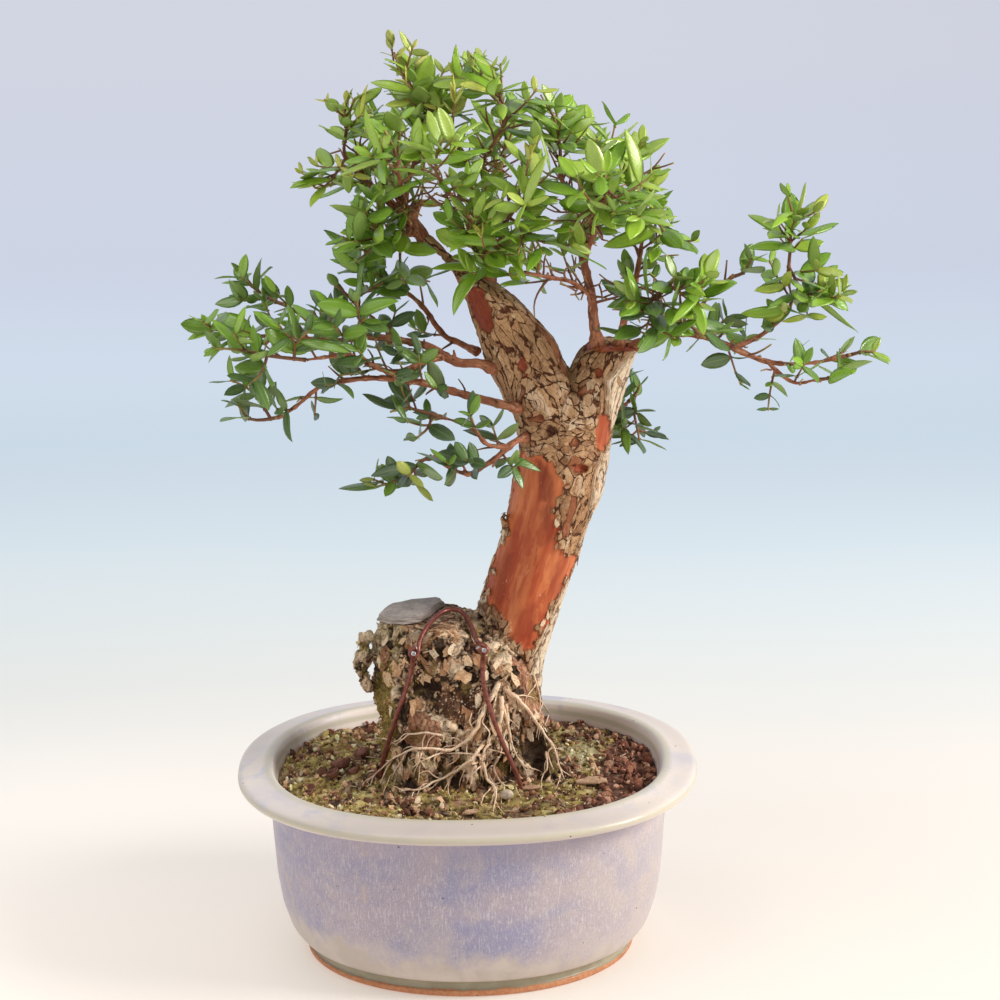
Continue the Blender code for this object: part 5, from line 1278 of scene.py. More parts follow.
def bark_material():
    """Old bark in pale plates with dark cracks, the smooth orange-brown wood where it has
    peeled, and the broken, mossy skin of the stump."""
    s = Shade("trunk_bark", 0.85)
    s.b.inputs["Specular IOR Level"].default_value = 0.3
    peel, crack, number, stump, _ = s.attr("bark_a")
    moss, dark, pale, high, _ = s.attr("bark_b")
    where = s.place((1, 1, 1), "bark")
    lengthy = s.place((1, 1, 0.28), "bark")
    fine = s.noise(where, 0.9, 5.0, 0.65)
    speckle = s.noise(where, 2.4, 3.0, 0.6)
    fibre = s.noise(lengthy, 0.9, 4.0, 0.65, 0.5)
    # plates, one to a cell, with ragged thin cracks between them and finer ones across them
    cell = s.shift(s.shift(s.place((1, 1, 1), "cell"), 0.6, 0.55), 4.0, 0.20)
    gap = s.cells(cell, 1.0, "DISTANCE_TO_EDGE")
    tone, lift, other = s.split(s.cells(cell, 1.0, "F1", "Color"))
    gap_b = s.cells(cell, 2.15, "DISTANCE_TO_EDGE")
    tone_b, lift_b, _ = s.split(s.cells(cell, 2.15, "F1", "Color"))
    loose = s.noise(where, 0.22, 3.0, 0.6)
    wide = s.math("SUBTRACT", gap, s.range(loose, 0.36, 0.66, -0.02, 0.06))
    whole = s.range(wide, 0.0, 0.045)
    whole_b = s.math("MAXIMUM", s.range(gap_b, 0.0, 0.07), s.range(s.noise(where, 0.30, 2.0, 0.5), 0.46, 0.54))
    # plates
    plate = s.ramp(tone, [(0.0, rgb(146, 104, 70)), (0.25, rgb(188, 144, 104)), (0.5, rgb(208, 168, 126)), (0.75, rgb(172, 128, 90)), (1.0, rgb(196, 154, 112))])
    plate = s.mix(s.range(tone_b, 0.2, 0.8, 0, 0.35), plate, rgb(156, 110, 76))
    plate = s.mix(s.range(fine, 0.52, 0.70, 0, 0.55), plate, rgb(134, 90, 60))
    plate = s.mix(s.range(fine, 0.46, 0.32, 0, 0.45), plate, rgb(226, 198, 162))
    plate = s.mix(s.range(fibre, 0.58, 0.68, 0, 0.5), plate, rgb(128, 84, 56))
    plate = s.mix(s.range(speckle, 0.64, 0.74, 0, 0.35), plate, rgb(120, 82, 56))
    # painted highlight: raised plates paler
    plate = s.mix(s.range(high, 0.52, 0.72, 0, 0.4), plate, rgb(238, 218, 190))
    # pale bark, and painted light of the key lamp along the trunk's right edge
    plate = s.mix(pale, plate, s.mix(s.range(fibre, 0.35, 0.65), rgb(246, 232, 208), rgb(222, 194, 160)))
    plate = s.mix(s.range(whole_b, 0.9, 0.0, 0, 0.72), plate, rgb(110, 72, 48))
    deep = s.mix(s.range(fine, 0.35, 0.65), rgb(58, 30, 17), rgb(112, 66, 40))
    plate = s.mix(s.math("MULTIPLY", s.range(whole, 1.0, 0.0), s.range(pale, 0.0, 1.0, 1.0, 0.7)), plate, deep)
    # painted shade: the low parts, hollows and knots darker
    plate = s.mix(s.range(high, 0.34, 0.12, 0, 0.85), plate, deep)
    # here and there a plate has come off the redder bark below
    plate = s.mix(s.math("MULTIPLY", s.range(other, 0.965, 0.975), s.range(pale, 0.5, 0.0, 0, 0.8)), plate, rgb(150, 84, 54))
    # peeled wood: soft long bands, redder patches, small white flecks
    band = s.noise(s.place((1, 1, 0.12), "bark"), 0.13, 2.0, 0.5, 0.4)
    thin = s.noise(s.place((1, 1, 0.10), "bark"), 0.62, 3.0, 0.55, 0.3)
    blotch = s.noise(s.place((1, 1, 0.30), "bark"), 0.12, 4.0, 0.62, 0.3)
    dash = s.noise(s.place((1, 1, 0.22), "bark"), 0.95, 3.0, 0.7)
    wood = s.mix(s.range(band, 0.38, 0.62), rgb(204, 114, 68), rgb(176, 82, 46))
    wood = s.mix(s.range(thin, 0.56, 0.74, 0, 0.30), wood, rgb(146, 58, 32))
    wood = s.mix(s.range(thin, 0.42, 0.28, 0, 0.22), wood, rgb(222, 140, 94))
    wood = s.mix(s.range(blotch, 0.555, 0.60, 0, 0.5), wood, rgb(160, 56, 30))
    wood = s.mix(s.range(blotch, 0.43, 0.36, 0, 0.5), wood, rgb(216, 134, 86))
    wood = s.mix(s.range(dash, 0.66, 0.70, 0, 0.6), wood, rgb(112, 44, 26))
    wood = s.mix(s.range(s.noise(s.place((1, 1, 0.35), "bark"), 0.50, 3.0, 0.6), 0.69, 0.73, 0, 0.7), wood, rgb(236, 206, 194))
    wood = s.mix(s.math("MULTIPLY", dark, s.range(dash, 0.25, 0.6, 1.0, 0.75)), wood, rgb(122, 42, 24))
    colour = s.mix(peel, plate, wood)
    # stump: torn flakes from pale tan to dark brown over fibrous dark wood
    low = s.ramp(tone, [(0.0, rgb(88, 52, 32)), (0.18, rgb(150, 100, 66)), (0.36, rgb(216, 166, 120)), (0.56, rgb(248, 214, 174)), (0.76, rgb(186, 132, 92)), (1.0, rgb(255, 230, 194))])
    low = s.mix(s.range(tone_b, 0.50, 0.62, 0, 0.55), low, s.mix(tone_b, rgb(104, 66, 46), rgb(70, 42, 28)))
    low = s.mix(s.range(tone_b, 0.30, 0.18, 0, 0.45), low, rgb(240, 214, 180))
    low = s.mix(s.range(fibre, 0.55, 0.66, 0, 0.6), low, rgb(82, 50, 34))
    low = s.mix(s.range(fine, 0.54, 0.68, 0, 0.55), low, rgb(112, 74, 50))
    low = s.mix(s.range(speckle, 0.60, 0.70, 0, 0.5), low, rgb(240, 216, 186))
    seam = s.range(s.noise(where, 0.16, 3.0, 0.65), 0.42, 0.58, 0.15, 1.0)
    low = s.mix(s.math("MULTIPLY", s.range(whole_b, 0.9, 0.0, 0, 0.7), seam), low, rgb(56, 30, 18))
    low = s.mix(s.math("MULTIPLY", s.range(whole, 1.0, 0.0), seam), low, rgb(36, 18, 10))
    # worn pale at the stump's upper left
    low = s.mix(pale, low, s.ramp(fibre, [(0.36, rgb(222, 206, 168)), (0.52, rgb(190, 168, 126)), (0.62, rgb(118, 92, 62))]))
    # painted highlight on the raised parts of the stump, painted shade in its low parts and hollows
    low = s.mix(s.range(high, 0.54, 0.74, 0, 0.5), low, rgb(250, 226, 194))
    low = s.mix(s.range(high, 0.42, 0.16, 0, 0.9), low, rgb(40, 22, 13))
    # the smooth fold, and the knots that stay dark
    low = s.mix(s.range(number, 0.88, 0.91), low, s.mix(s.range(fibre, 0.35, 0.65), rgb(206, 160, 128), rgb(150, 98, 72)))
    low = s.mix(s.range(number, 0.12, 0.04, 0, 0.85), low, s.mix(s.range(fibre, 0.35, 0.65), rgb(120, 84, 60), rgb(70, 44, 30)))
    colour = s.mix(stump, colour, low)
    green = s.mix(s.range(speckle, 0.35, 0.65), rgb(178, 156, 88), rgb(112, 86, 44))
    colour = s.mix(moss, colour, green)
    gloss = s.mix(s.math("MULTIPLY", peel, 0.85), (0.88, 0.88, 0.88, 1), s.mix(s.range(thin, 0.3, 0.7), (0.42, 0.42, 0.42, 1), (0.58, 0.58, 0.58, 1)))
    relief = s.math("ADD", s.math("MULTIPLY", fine, 0.35), s.math("MULTIPLY", fibre, 0.35))
    relief = s.math("ADD", relief, s.math("ADD", s.math("MULTIPLY", whole, 0.8), s.math("MULTIPLY", whole_b, 0.25)))
    relief = s.math("ADD", relief, s.math("ADD", s.math("MULTIPLY", lift, 0.7), s.math("MULTIPLY", lift_b, 0.25)))
    relief = s.math("MULTIPLY", relief, s.range(peel, 0.0, 1.0, 1.0, 0.0))
    relief = s.math("ADD", relief, s.math("MULTIPLY", s.math("ADD", s.math("MULTIPLY", thin, 0.22), s.math("MULTIPLY", speckle, 0.05)), peel))
    return s.out(colour, gloss, s.bump(relief, 1.0, 0.9))


def ground_material(name, bumpy):
    """Soil and moss: each grain's own colour, and fine mottling over it."""
    s = Shade(name, 0.92)
    *_, tint = s.attr("tint")
    fine = s.noise(s.place(), 1.6, 4.0, 0.65)
    colour = s.mix(s.range(fine, 0.35, 0.65, 0.0, 0.55), tint, s.mix(1.0, tint, (0.32, 0.28, 0.24, 1), "MULTIPLY"))
    colour = s.mix(s.range(s.noise(s.place(), 3.1, 2.0, 0.6), 0.62, 0.72, 0.0, 0.35), colour, rgb(196, 172, 134))
    return s.out(colour, 0.92, s.bump(fine, bumpy, 0.8))


def plain_wood(name, light, mid_, dark, scale=0.9, rough_=0.75, stretch=(1, 1, 1), relief=0.4):
    """Wood, root, husk or stone in three shades of one mottled colour."""
    s = Shade(name, rough_)
    a = s.noise(s.place(stretch), scale, 4.0, 0.65)
    b = s.noise(s.place(stretch), scale * 0.22, 3.0, 0.6)
    colour = s.mix(s.range(b, 0.36, 0.64), light, mid_)
    colour = s.mix(s.range(a, 0.52, 0.70), colour, dark)
    return s.out(colour, s.range(a, 0.3, 0.7, rough_ - 0.1, min(1.0, rough_ + 0.1)), s.bump(a, relief, 0.8))


def wire_material():
    s = Shade("wire_brown", 0.36, Metallic=0.5)
    wear = s.noise(s.place(), 0.45, 4.0, 0.65)
    colour = s.mix(s.range(wear, 0.4, 0.62), rgb(146, 84, 72), rgb(112, 60, 52))
    colour = s.mix(s.range(s.noise(s.place(), 1.4, 3.0, 0.6), 0.64, 0.74, 0, 0.8), colour, rgb(200, 166, 156))
    return s.out(colour, s.range(wear, 0.3, 0.7, 0.3, 0.48), s.bump(wear, 0.15, 0.5))


def slate_material():
    s = Shade("slate_grey", 0.7)
    sheet = s.noise(s.place((1, 1, 5)), 0.12, 5.0, 0.6)
    fine = s.noise(s.place((1, 1, 2)), 0.8, 5.0, 0.65)
    colour = s.mix(s.range(sheet, 0.4, 0.6), rgb(182, 170, 162), rgb(158, 148, 142))
    colour = s.mix(s.range(fine, 0.58, 0.7, 0, 0.5), colour, rgb(122, 114, 110))
    colour = s.mix(s.range(fine, 0.44, 0.32, 0, 0.45), colour, rgb(208, 196, 182))
    colour = s.mix(s.range(s.noise(s.place((1, 1, 3)), 0.25, 3.0, 0.6, 1.2), 0.62, 0.68, 0, 0.45), colour, rgb(166, 144, 122))
    return s.out(colour, s.range(fine, 0.3, 0.7, 0.55, 0.78), s.bump(fine, 0.7, 0.9))


# ---------------------------------------------------------------- pot
def fine_pot(mat):
    """The pot turned finely on the same profile, its corners rounded as fired clay is."""
    outline = [*reversed([(80.0, 1.4), (78.5, 6.0)]), *POT_OUTSIDE, *POT_INSIDE]
    rounded = []
    for k, (a, z) in enumerate(outline):
        if k in (0, len(outline) - 1):
            rounded.append((a, z))
            continue
        (a0, z0), (a1, z1) = outline[k - 1], outline[k + 1]
        d0, d1 = math.hypot(a - a0, z - z0), math.hypot(a1 - a, z1 - z)
        r = 0.42
        p0 = (a + (a0 - a) * min(r, 3.0 / d0), z + (z0 - z) * min(r, 3.0 / d0))
        p1 = (a + (a1 - a) * min(r, 3.0 / d1), z + (z1 - z) * min(r, 3.0 / d1))
        for t in (0.0, 0.25, 0.5, 0.75, 1.0):
            rounded.append((
                (1 - t) ** 2 * p0[0] + 2 * t * (1 - t) * a + t * t * p1[0],
                (1 - t) ** 2 * p0[1] + 2 * t * (1 - t) * z + t * t * p1[1],
            ))
    profile = [rounded[0]]
    for a, z in rounded[1:]:
        pa, pz = profile[-1]
        gap = math.hypot(a - pa, z - pz)
        if gap < 0.25:
            continue
        for k in range(1, int(gap // 7.0) + 1):
            t = k / (int(gap // 7.0) + 1)
            profile.append((pa + (a - pa) * t, pz + (z - pz) * t))
        profile.append((a, z))
    count = 120
    rings = []
    for a, z in profile:
        t = min(max(z / RIM_HEIGHT, 0), 1)
        b = a - (RIM_HALF_WIDTH - RIM_HALF_DEPTH) * (0.68 + 0.32 * t)
        rings.append(np.array([tuple(p) for p in oval(a, b, 2.04 + 0.26 * t, z, count)]))
    points = np.concatenate(rings)
    # hand-thrown unevenness, a few tenths of a millimetre
    wave = grain(points * np.array([0.02, 0.02, 0.05]), 5)
    out = points * np.array([1, 1, 0])
    out /= np.maximum(np.linalg.norm(out, axis=1, keepdims=True), 1e-9)
    points = points + out * (0.35 * wave)[:, None] * step(0, 8, points[:, 2])[:, None]
    faces = []
    for k in range(len(rings) - 1):
        for i in range(count):
            j = (i + 1) % count
            faces.append((k * count + i, k * count + j, (k + 1) * count + j, (k + 1) * count + i))
    verts = [Vector(p) for p in points]
    # the floor: a ring of wall round each drain hole, and the plates between
    under, over = rings[0], rings[-1]
    bm = bmesh.new()
    shell = [bm.verts.new(v) for v in verts]
    for f in faces:
        bm.faces.new([shell[i] for i in f])
    for base, z in ((0, 6.0), ((len(rings) - 1) * count, FLOOR_TOP)):
        edge = shell[base:base + count]
        edges = [bm.edges.get((edge[i], edge[(i + 1) % count])) for i in range(count)]
        for side in (-1, 1):
            hole = [bm.verts.new((side * DRAIN_X + DRAIN_R * math.cos(2 * math.pi * i / 32), DRAIN_R * math.sin(2 * math.pi * i / 32), z)) for i in range(32)]
            edges += [bm.edges.new((hole[i], hole[(i + 1) % 32])) for i in range(32)]
            if z == 6.0:
                lower = hole if side == -1 else [*lower, *hole]
            else:
                upper = hole if side == -1 else [*upper, *hole]
        bmesh.ops.triangle_fill(bm, use_beauty=True, edges=edges)
    for h in (0, 32):
        for i in range(32):
            j = (i + 1) % 32
            bm.faces.new((lower[h + i], lower[h + j], upper[h + j], upper[h + i]))
    bmesh.ops.recalc_face_normals(bm, faces=bm.faces)
    bm.normal_update()
    bm.verts.index_update()
    points = np.array([tuple(v.co) for v in bm.verts])
    faces = [tuple(v.index for v in f.verts) for f in bm.faces]
    flat = [abs(f.normal.z) < 0.999 or f.calc_center_median().z > 20 for f in bm.faces]
    bm.free()
    return piece("glazed_pot", points, faces, mat, flat, slot="lavender_glaze", replaces=["pot"])


# ---------------------------------------------------------------- wood
def rows_between(rows, per):
    """Outline rows with smooth ones put between them."""
    table = [(*left, *right, depth, half) for left, right, depth, half in rows]
    table = [Vector(r) for r in table]
    pts = [table[0] * 2 - table[1], *table, table[-1] * 2 - table[-2]]
    out = []
    for i in range(1, len(pts) - 2):
        a, b, c, d = pts[i - 1], pts[i], pts[i + 1], pts[i + 2]
        for k in range(per):
            t = k / per
            out.append(0.5 * (2 * b + (c - a) * t + (2 * a - 5 * b + 4 * c - d) * t * t + (3 * b - a - 3 * c + d) * t ** 3))
    out.append(table[-1])
    return [((r[0], r[1]), (r[2], r[3]), r[4], r[5]) for r in out]


def middle_line(rows):
    """The middle of each row, as an array."""
    return np.array([tuple((at(*left, depth) + at(*right, depth)) / 2) for left, right, depth, _ in rows])


def along_lines(co, lines):
    """For each point its place in bark coordinates: two across the grain and one along it.
    Each line is (points, length before it)."""
    best = np.full(len(co), 1e9)
    s_out, off_out, d_out = np.zeros(len(co)), np.zeros_like(co), np.zeros_like(co)
    for points, before in lines:
        s = before
        for a, b in zip(points, points[1:]):
            ab = b - a
            long = np.linalg.norm(ab)
            if long < 1e-6:
                continue
            low = -9.0 if s == 0.0 else 0.0
            t = np.clip((co - a) @ ab / long ** 2, low, 1)
            gap = co - (a + t[:, None] * ab)
            d = np.linalg.norm(gap, axis=1)
            near = d < best
            best = np.where(near, d, best)
            s_out = np.where(near, s + t * long, s_out)
            off_out = np.where(near[:, None], gap, off_out)
            d_out = np.where(near[:, None], ab / long, d_out)
            s += long
    # lay the offset level: turn it by the turn that brings the line's direction upright
    axis = np.cross(d_out, np.array([0, 0, 1.0]))
    sine = np.linalg.norm(axis, axis=1)
    cosine = d_out[:, 2]
    axis /= np.maximum(sine, 1e-9)[:, None]
    dot = (axis * off_out).sum(1)
    turned = off_out * cosine[:, None] + np.cross(axis, off_out) * sine[:, None] + axis * (dot * (1 - cosine))[:, None]
    return np.stack([turned[:, 0], turned[:, 1], s_out], axis=1), best


PEELED = [(519, 452), (530, 458), (545, 456), (557, 459), (560, 472), (562, 490), (556, 500), (552, 516), (556, 528), (556, 548), (566, 556), (577, 556), (572, 570), (566, 583), (560, 596), (550, 606), (546, 620), (540, 628), (537, 644), (528, 646), (517, 650), (510, 644), (507, 628), (500, 616), (495, 609), (486, 605), (483, 598), (490, 572), (499, 545), (503, 530), (505, 512), (508, 497), (507, 484), (516, 462)]
BARE = [  # small bare patches: outline, how dark
    ([(466, 290), (484, 288), (490, 306), (494, 326), (490, 334), (480, 330), (472, 314)], 1.0),
    ([(517, 361), (523, 359), (527, 368), (525, 376), (519, 373)], 0.9),
    ([(594, 369), (601, 368), (602, 377), (597, 379)], 0.9),
    ([(600, 411), (609, 416), (613, 428), (612, 440), (604, 452), (597, 450), (598, 432)], 0.15),
    ([(572, 466), (582, 464), (590, 468), (582, 475), (574, 473)], 0.8),
    ([(584, 336), (600, 344), (622, 345), (640, 342), (639, 350), (600, 351), (584, 347)], 0.35),
    ([(512, 410), (517, 424), (520, 444), (515, 452), (509, 432)], 0.9),
]
REDDER = [  # redder and darker patches within the peeled wood
    ([(536, 458), (546, 462), (553, 482), (551, 504), (542, 500), (536, 480)], 0.75),
    ([(548, 502), (556, 506), (555, 532), (548, 548), (541, 530), (541, 512)], 0.6),
    ([(488, 598), (496, 566), (506, 548), (511, 556), (506, 580), (497, 606)], 0.5),
    ([(520, 612), (534, 606), (538, 632), (528, 644), (516, 636)], 0.4),
    ([(560, 562), (570, 560), (562, 582), (553, 598), (551, 580)], 0.35),
]
HOLLOWS = [  # dark knots and hollows in the wood: sheet place, reach in mm, depth in mm
    (551, 431, 3.2, 2.4), (541, 417, 2.6, 2.0), (585, 470, 3.0, 2.2), (562, 360, 5.0, 1.4),
    (541, 752, 8.0, 5.0), (519, 668, 4.2, 2.6), (524, 690, 5.0, 3.0), (389, 645, 2.6, 2.2),
    (420, 735, 4.0, 2.0), (470, 700, 6.0, 1.6), (508, 738, 5.0, 2.6), (430, 690, 5.0, 1.4),
]
FOLDS = [  # raised strips of wood on the stump: sheet points, depth, radius
    ([(512, 662, 0), (521, 676, 0), (527, 694, 0), (530, 716, 0)], 3.4, 2.6),
    ([(503, 664, 0), (512, 680, 0), (517, 700, 0), (516, 722, 0)], 2.6, 2.0),
    ([(455, 640, 0), (440, 668, 0), (432, 700, 0), (424, 730, 0)], 2.8, 3.4),
    ([(408, 640, 0), (404, 672, 0), (410, 706, 0), (404, 740, 0)], 3.0, 3.6),
    ([(468, 656, 0), (458, 690, 0), (452, 720, 0), (446, 744, 0)], 2.6, 3.4),
]


KNOBS = [  # gnarled bits at the stump's left and loose bark: sheet points with depth, radii
    ([(372, 634, -2), (365, 640, -3), (359, 645, -4)], 2.6, 2.2),
    ([(366, 646, -3), (360, 640, -5), (362, 634, -4)], 1.9, 1.1),
    ([(366, 648, -4), (359, 652, -3), (357, 659, -4)], 1.8, 1.2),
    ([(505, 512, -2), (502, 518, -3), (504, 528, -2), (501, 536, -2)], 1.3, 0.7),
    ([(508, 520, -4), (503, 524, -5), (502, 530, -4)], 1.1, 0.5),
]


def fine_wood(name, stump_part, mat, trunk_tree, voxel):
    """The stump, or the leaning trunk with its two limbs, from the same outlines as the solid:
    bark plates and cracks, the peeled wood sunk below them, the broken skin of the stump."""
    trunk_rows = rows_between(TRUNK, 3)
    left_rows, right_rows = rows_between(LEFT_LIMB, 3), rows_between(RIGHT_LIMB, 3)
    if stump_part:
        parts = [loft([wood_ring(*r, 48, 0.16, 4.0) for r in rows_between(STUMP[1:], 3)])]
        for points, r0, r1 in FLARES:
            parts.append(tube(Path([at(*p) for p in points]), (r0, r1), 16, bend=3))
        for points, r0, r1 in FOLDS:
            line = laid([p[:2] for p in points], 0.4, [trunk_tree], -1.4)
            parts.append(tube(Path(line), (r0, r1), 12, bend=3))
        for points, r0, r1 in KNOBS[:-2]:
            parts.append(tube(Path([at(*p) for p in points]), (r0, r1), 10, bend=1.5))
    else:
        parts = [
            loft([wood_ring(*r, 40, 0.05, 9.0) for r in trunk_rows]),
            loft([wood_ring(*r, 36, 0.05, 2.0) for r in left_rows]),
            loft([wood_ring(*r, 32, 0.05, 6.0) for r in right_rows]),
            *[tube(Path([at(*p) for p in points]), (r0, r1), 10, bend=1.5) for points, r0, r1 in KNOBS[-2:]],
        ]
    co, quads = remeshed(parts, voxel * (1.0))
    co = relaxed(co, quads, 2, 0.5)
    n = normals_of(co, quads)
    uv = on_sheet(co)
    toward = ((np.array(EYE) - co) / np.linalg.norm(np.array(EYE) - co, axis=1, keepdims=True) * n).sum(1)

    base_line = middle_line(trunk_rows[:-6])
    lines = [(base_line, 0.0)]
    reach = np.linalg.norm(np.diff(base_line, axis=0), axis=1).sum()
    if not stump_part:
        for rows in (left_rows, right_rows):
            lines.append((middle_line(rows), reach - 6.0))
    bark, _ = along_lines(co, lines)

    # how much of a point is stump: below a slanting line across the joint
    joint = np.interp(uv[:, 0], [370, 470, 500, 520, 545, 570], [560, 600, 628, 652, 702, 716])
    ragged = rough(co / 7.0, 3, 40) * 9
    stump = step(-9, 9, uv[:, 1] - joint + ragged)
    # the back of the joint is higher
    stump = np.maximum(stump, step(-6, 6, 178 - co[:, 2] + ragged) * (uv[:, 0] < 470))
    if stump_part:
        stump = np.maximum(stump, step(0, 8, 548 - uv[:, 0] + ragged * 0.4))

    warp = np.stack([rough(co / 8.0, 2, 50 + k) for k in range(3)], axis=1)
    wave = np.stack([rough(co / 2.3, 2, 56 + k) for k in range(3)], axis=1)
    seen = step(-0.15, 0.10, toward)
    frayed = uv + np.stack([rough(co / 5.5, 2, 60), rough(co / 5.5, 2, 63)], axis=1) * 6.5 + np.stack([rough(co / 1.7, 2, 65), rough(co / 1.7, 2, 67)], axis=1) * 1.4
    peel = step(-0.8, 0.8, inside(frayed, PEELED)) * seen * (1 - step(0.35, 0.75, stump))
    dark = np.zeros(len(co))
    for outline, depth in REDDER:
        dark = np.maximum(dark, depth * step(-3.0, 3.0, inside(uv + np.stack([rough(bark / np.array([4.0, 4.0, 14.0]), 3, 76), rough(co / 5.0, 2, 78)], axis=1) * 4.0, outline)) * seen)
    for outline, depth in BARE:
        m = step(-0.8, 0.8, inside(uv + np.stack([rough(co / 2.6, 2, 70), rough(co / 2.6, 2, 72)], axis=1) * 2.4, outline)) * seen
        dark = np.maximum(dark, m * depth)
        peel = np.maximum(peel, m)
    # a strip of thin pale bark stays along the right edge, painted paler still there as light of the key lamp, and
    # along the peel's foot
    pale = step(-3, 6, inside(uv, [(606, 380), (642, 340), (640, 380), (615, 470), (585, 560), (566, 605), (552, 660), (544, 715), (526, 716), (531, 660), (543, 632), (556, 604), (574, 560), (588, 520), (596, 470), (608, 440)]))
    pale = np.maximum(pale, step(-2, 2, inside(uv, [(500, 528), (506, 530), (502, 548), (493, 575), (486, 602), (472, 606), (470, 598), (482, 566), (492, 540)])))
    pale *= 0.85 * (1 - stump)

    # bark plates: squarer by the fork, long and narrow on the limbs and down the right side
    fork = np.exp(-(((uv[:, 1] - 410) / 42) ** 2)) * step(496, 530, uv[:, 0]) * step(618, 596, uv[:, 0])
    q = bark + warp * np.array([1.0, 1.0, 2.2])
    wide, tall = 6.4 + 1.8 * fork + 1.6 * pale, 15.0 - 4.4 * fork + 3.0 * pale
    q1 = q * np.stack([1 / wide, 1 / wide, 1 / tall], axis=1)
    f1, f2, number, off = plates(q1, 80)
    wide_, tall_ = 4.9 + 1.9 * fork + 2.0 * pale, 12.5 - 3.6 * fork + 14.0 * pale
    cell = (bark + warp * np.array([0.9, 0.9, 2.0])) * np.stack([1 / wide_, 1 / wide_, 1 / tall_], axis=1)
    crack = step(0.0, 0.20, f2 - f1)
    big = step(-0.15, 0.5, rough(co / 11.0, 2, 95))
    lip = off[:, 2] * 0.8 + off[:, 0] * (number - 0.5) * 1.6
    bark_high = 0.42 * (crack - 1) + (number - 0.5) * 0.85 + lip * 0.7 + 0.5 * big * (fork + 0.3) + 0.14 * rough(co / 1.8, 2, 100)
    bark_high = bark_high * (1 - 0.35 * pale)
    # smooth peeled wood, with long shallow flutes
    flute = rough(bark * np.array([1 / 7.0, 1 / 7.0, 1 / 70.0]), 2, 110)
    wood_high = -1.25 + 0.45 * flute
    # stump: broken plates of several sizes with deep gaps
    w = co + warp * 3.4 + wave * 0.9
    s1, s2, snumber, soff = plates(w / np.array([7.6, 7.6, 17.0]), 120)
    t1, t2, tnumber, toff = plates(w / np.array([3.2, 3.2, 7.4]), 130)
    scrack = step(0.0, 0.18, s2 - s1)
    tcrack = step(0.0, 0.20, t2 - t1)
    stump_high = 1.5 * (scrack - 1) + (snumber - 0.5) * 2.0 + soff[:, 2] * 1.8 + 0.55 * (tcrack - 1) + (tnumber - 0.5) * 0.8 + toff[:, 2] * 0.8 + 1.7 * rough(co / 17.0, 2, 140) + 0.40 * rough(co / 1.9, 2, 143)
    stump_high = stump_high * 0.9 - 0.1
    # a smooth fold of wood where the trunk joins the stump
    fold = step(-3, 3, inside(frayed, [(511, 656), (524, 652), (534, 660), (544, 690), (548, 716), (532, 722), (521, 702)])) * seen * (1.0 if stump_part else 0.0)
    boss = step(-3, 3, inside(frayed, [(404, 716), (420, 711), (438, 718), (443, 742), (430, 752), (405, 748)])) * seen * (1.0 if stump_part else 0.0)
    rotten = step(-3, 3, inside(frayed, [(436, 692), (470, 688), (487, 700), (484, 726), (446, 722), (434, 706)])) * seen * (1.0 if stump_part else 0.0)
    stump_high = stump_high * (1 - 0.75 * fold) + 0.5 * fold * rough(w * np.array([0.35, 0.35, 0.06]), 2, 146)

    high = bark_high * (1 - peel) + wood_high * peel
    high = high * (1 - stump) + stump_high * stump
    pit = np.zeros(len(co))
    for u, v, r, deep in HOLLOWS:
        hit = trunk_tree.ray_cast(EYE, sight(u, v).normalized())[0]
        spot = at(u, v) if hit is None else hit
        d = np.linalg.norm(co - np.array(spot), axis=1) / r
        here = np.exp(-(d ** 2) * 1.2)
        high = high - deep * here
        pit = np.maximum(pit, here)
    # flat cut top under the slate
    top = max(p.z for p in wood_ring(*STUMP[-1], 20))
    flat_top = step(top - 2.5, top - 0.5, co[:, 2]) * (uv[:, 0] < 458) * (n[:, 2] > 0.75)
    high = np.where(flat_top > 0, np.minimum(high, 0.0) * (1 - 0.8 * flat_top), high)
    high = np.clip(high, -5.0, 2.2)
    moved = co + n * high[:, None]

    moss = step(0.25, 0.75, step(6, -8, np.abs(uv[:, 0] - 386) - 11) * step(650, 676, uv[:, 1]) + 0.5 * rough(co / 6.0, 3, 150)) * stump * step(0.0, 0.3, toward + 0.4)
    moss = np.maximum(moss, step(0.45, 0.9, rough(co / 9.0, 3, 155) * 0.9 + step(125, 105, co[:, 2]) * 0.35) * stump * 0.6)
    stump_cell = (w + warp * 3.6 + wave * 1.6) * np.array([1 / 6.8, 1 / 6.8, 1 / 14.0])
    worn = step(-3, 3, inside(frayed, [(360, 622), (378, 610), (406, 616), (404, 640), (394, 664), (382, 672), (366, 652)])) * seen * (1.0 if stump_part else 0.0)
    pale = np.maximum(pale, 0.8 * worn * step(0.4, 0.6, stump))
    cell = np.where(stump[:, None] > 0.5, stump_cell, cell)
    # the gnarled bits at the stump's left stay dark, the fold smooth
    number = np.full(len(co), 0.5)
    number -= 0.5 * step(378, 372, uv[:, 0]) * step(0.3, 0.7, stump)
    number += 0.5 * fold
    number = np.maximum(number, 0.5 + 0.5 * boss)
    number = np.where(rotten > 0.3, 0.5 - 0.46 * rotten, number)
    crack_all = crack * (1 - stump) + np.minimum(scrack, 0.25 + 0.75 * tcrack) * stump
    crack_all = np.minimum(crack_all, 1 - 0.9 * pit)
    level_ = np.clip(0.5 + high / 4.0, 0, 1)
    piece(
        name, moved, quads, mat, True,
        colours={
            "bark_a": np.stack([peel * (1 - stump), crack_all, number, stump], axis=1),
            "bark_b": np.stack([moss, dark, pale, level_], axis=1),
        },
        vectors={"bark": bark, "cell": cell}, slot="flaky_bark", replaces=["trunk"])
    return dict(moved=moved, quads=quads, n=n, uv=uv, stump=stump, peel=peel, toward=toward, crack=crack_all, moss=moss, rotten=rotten)


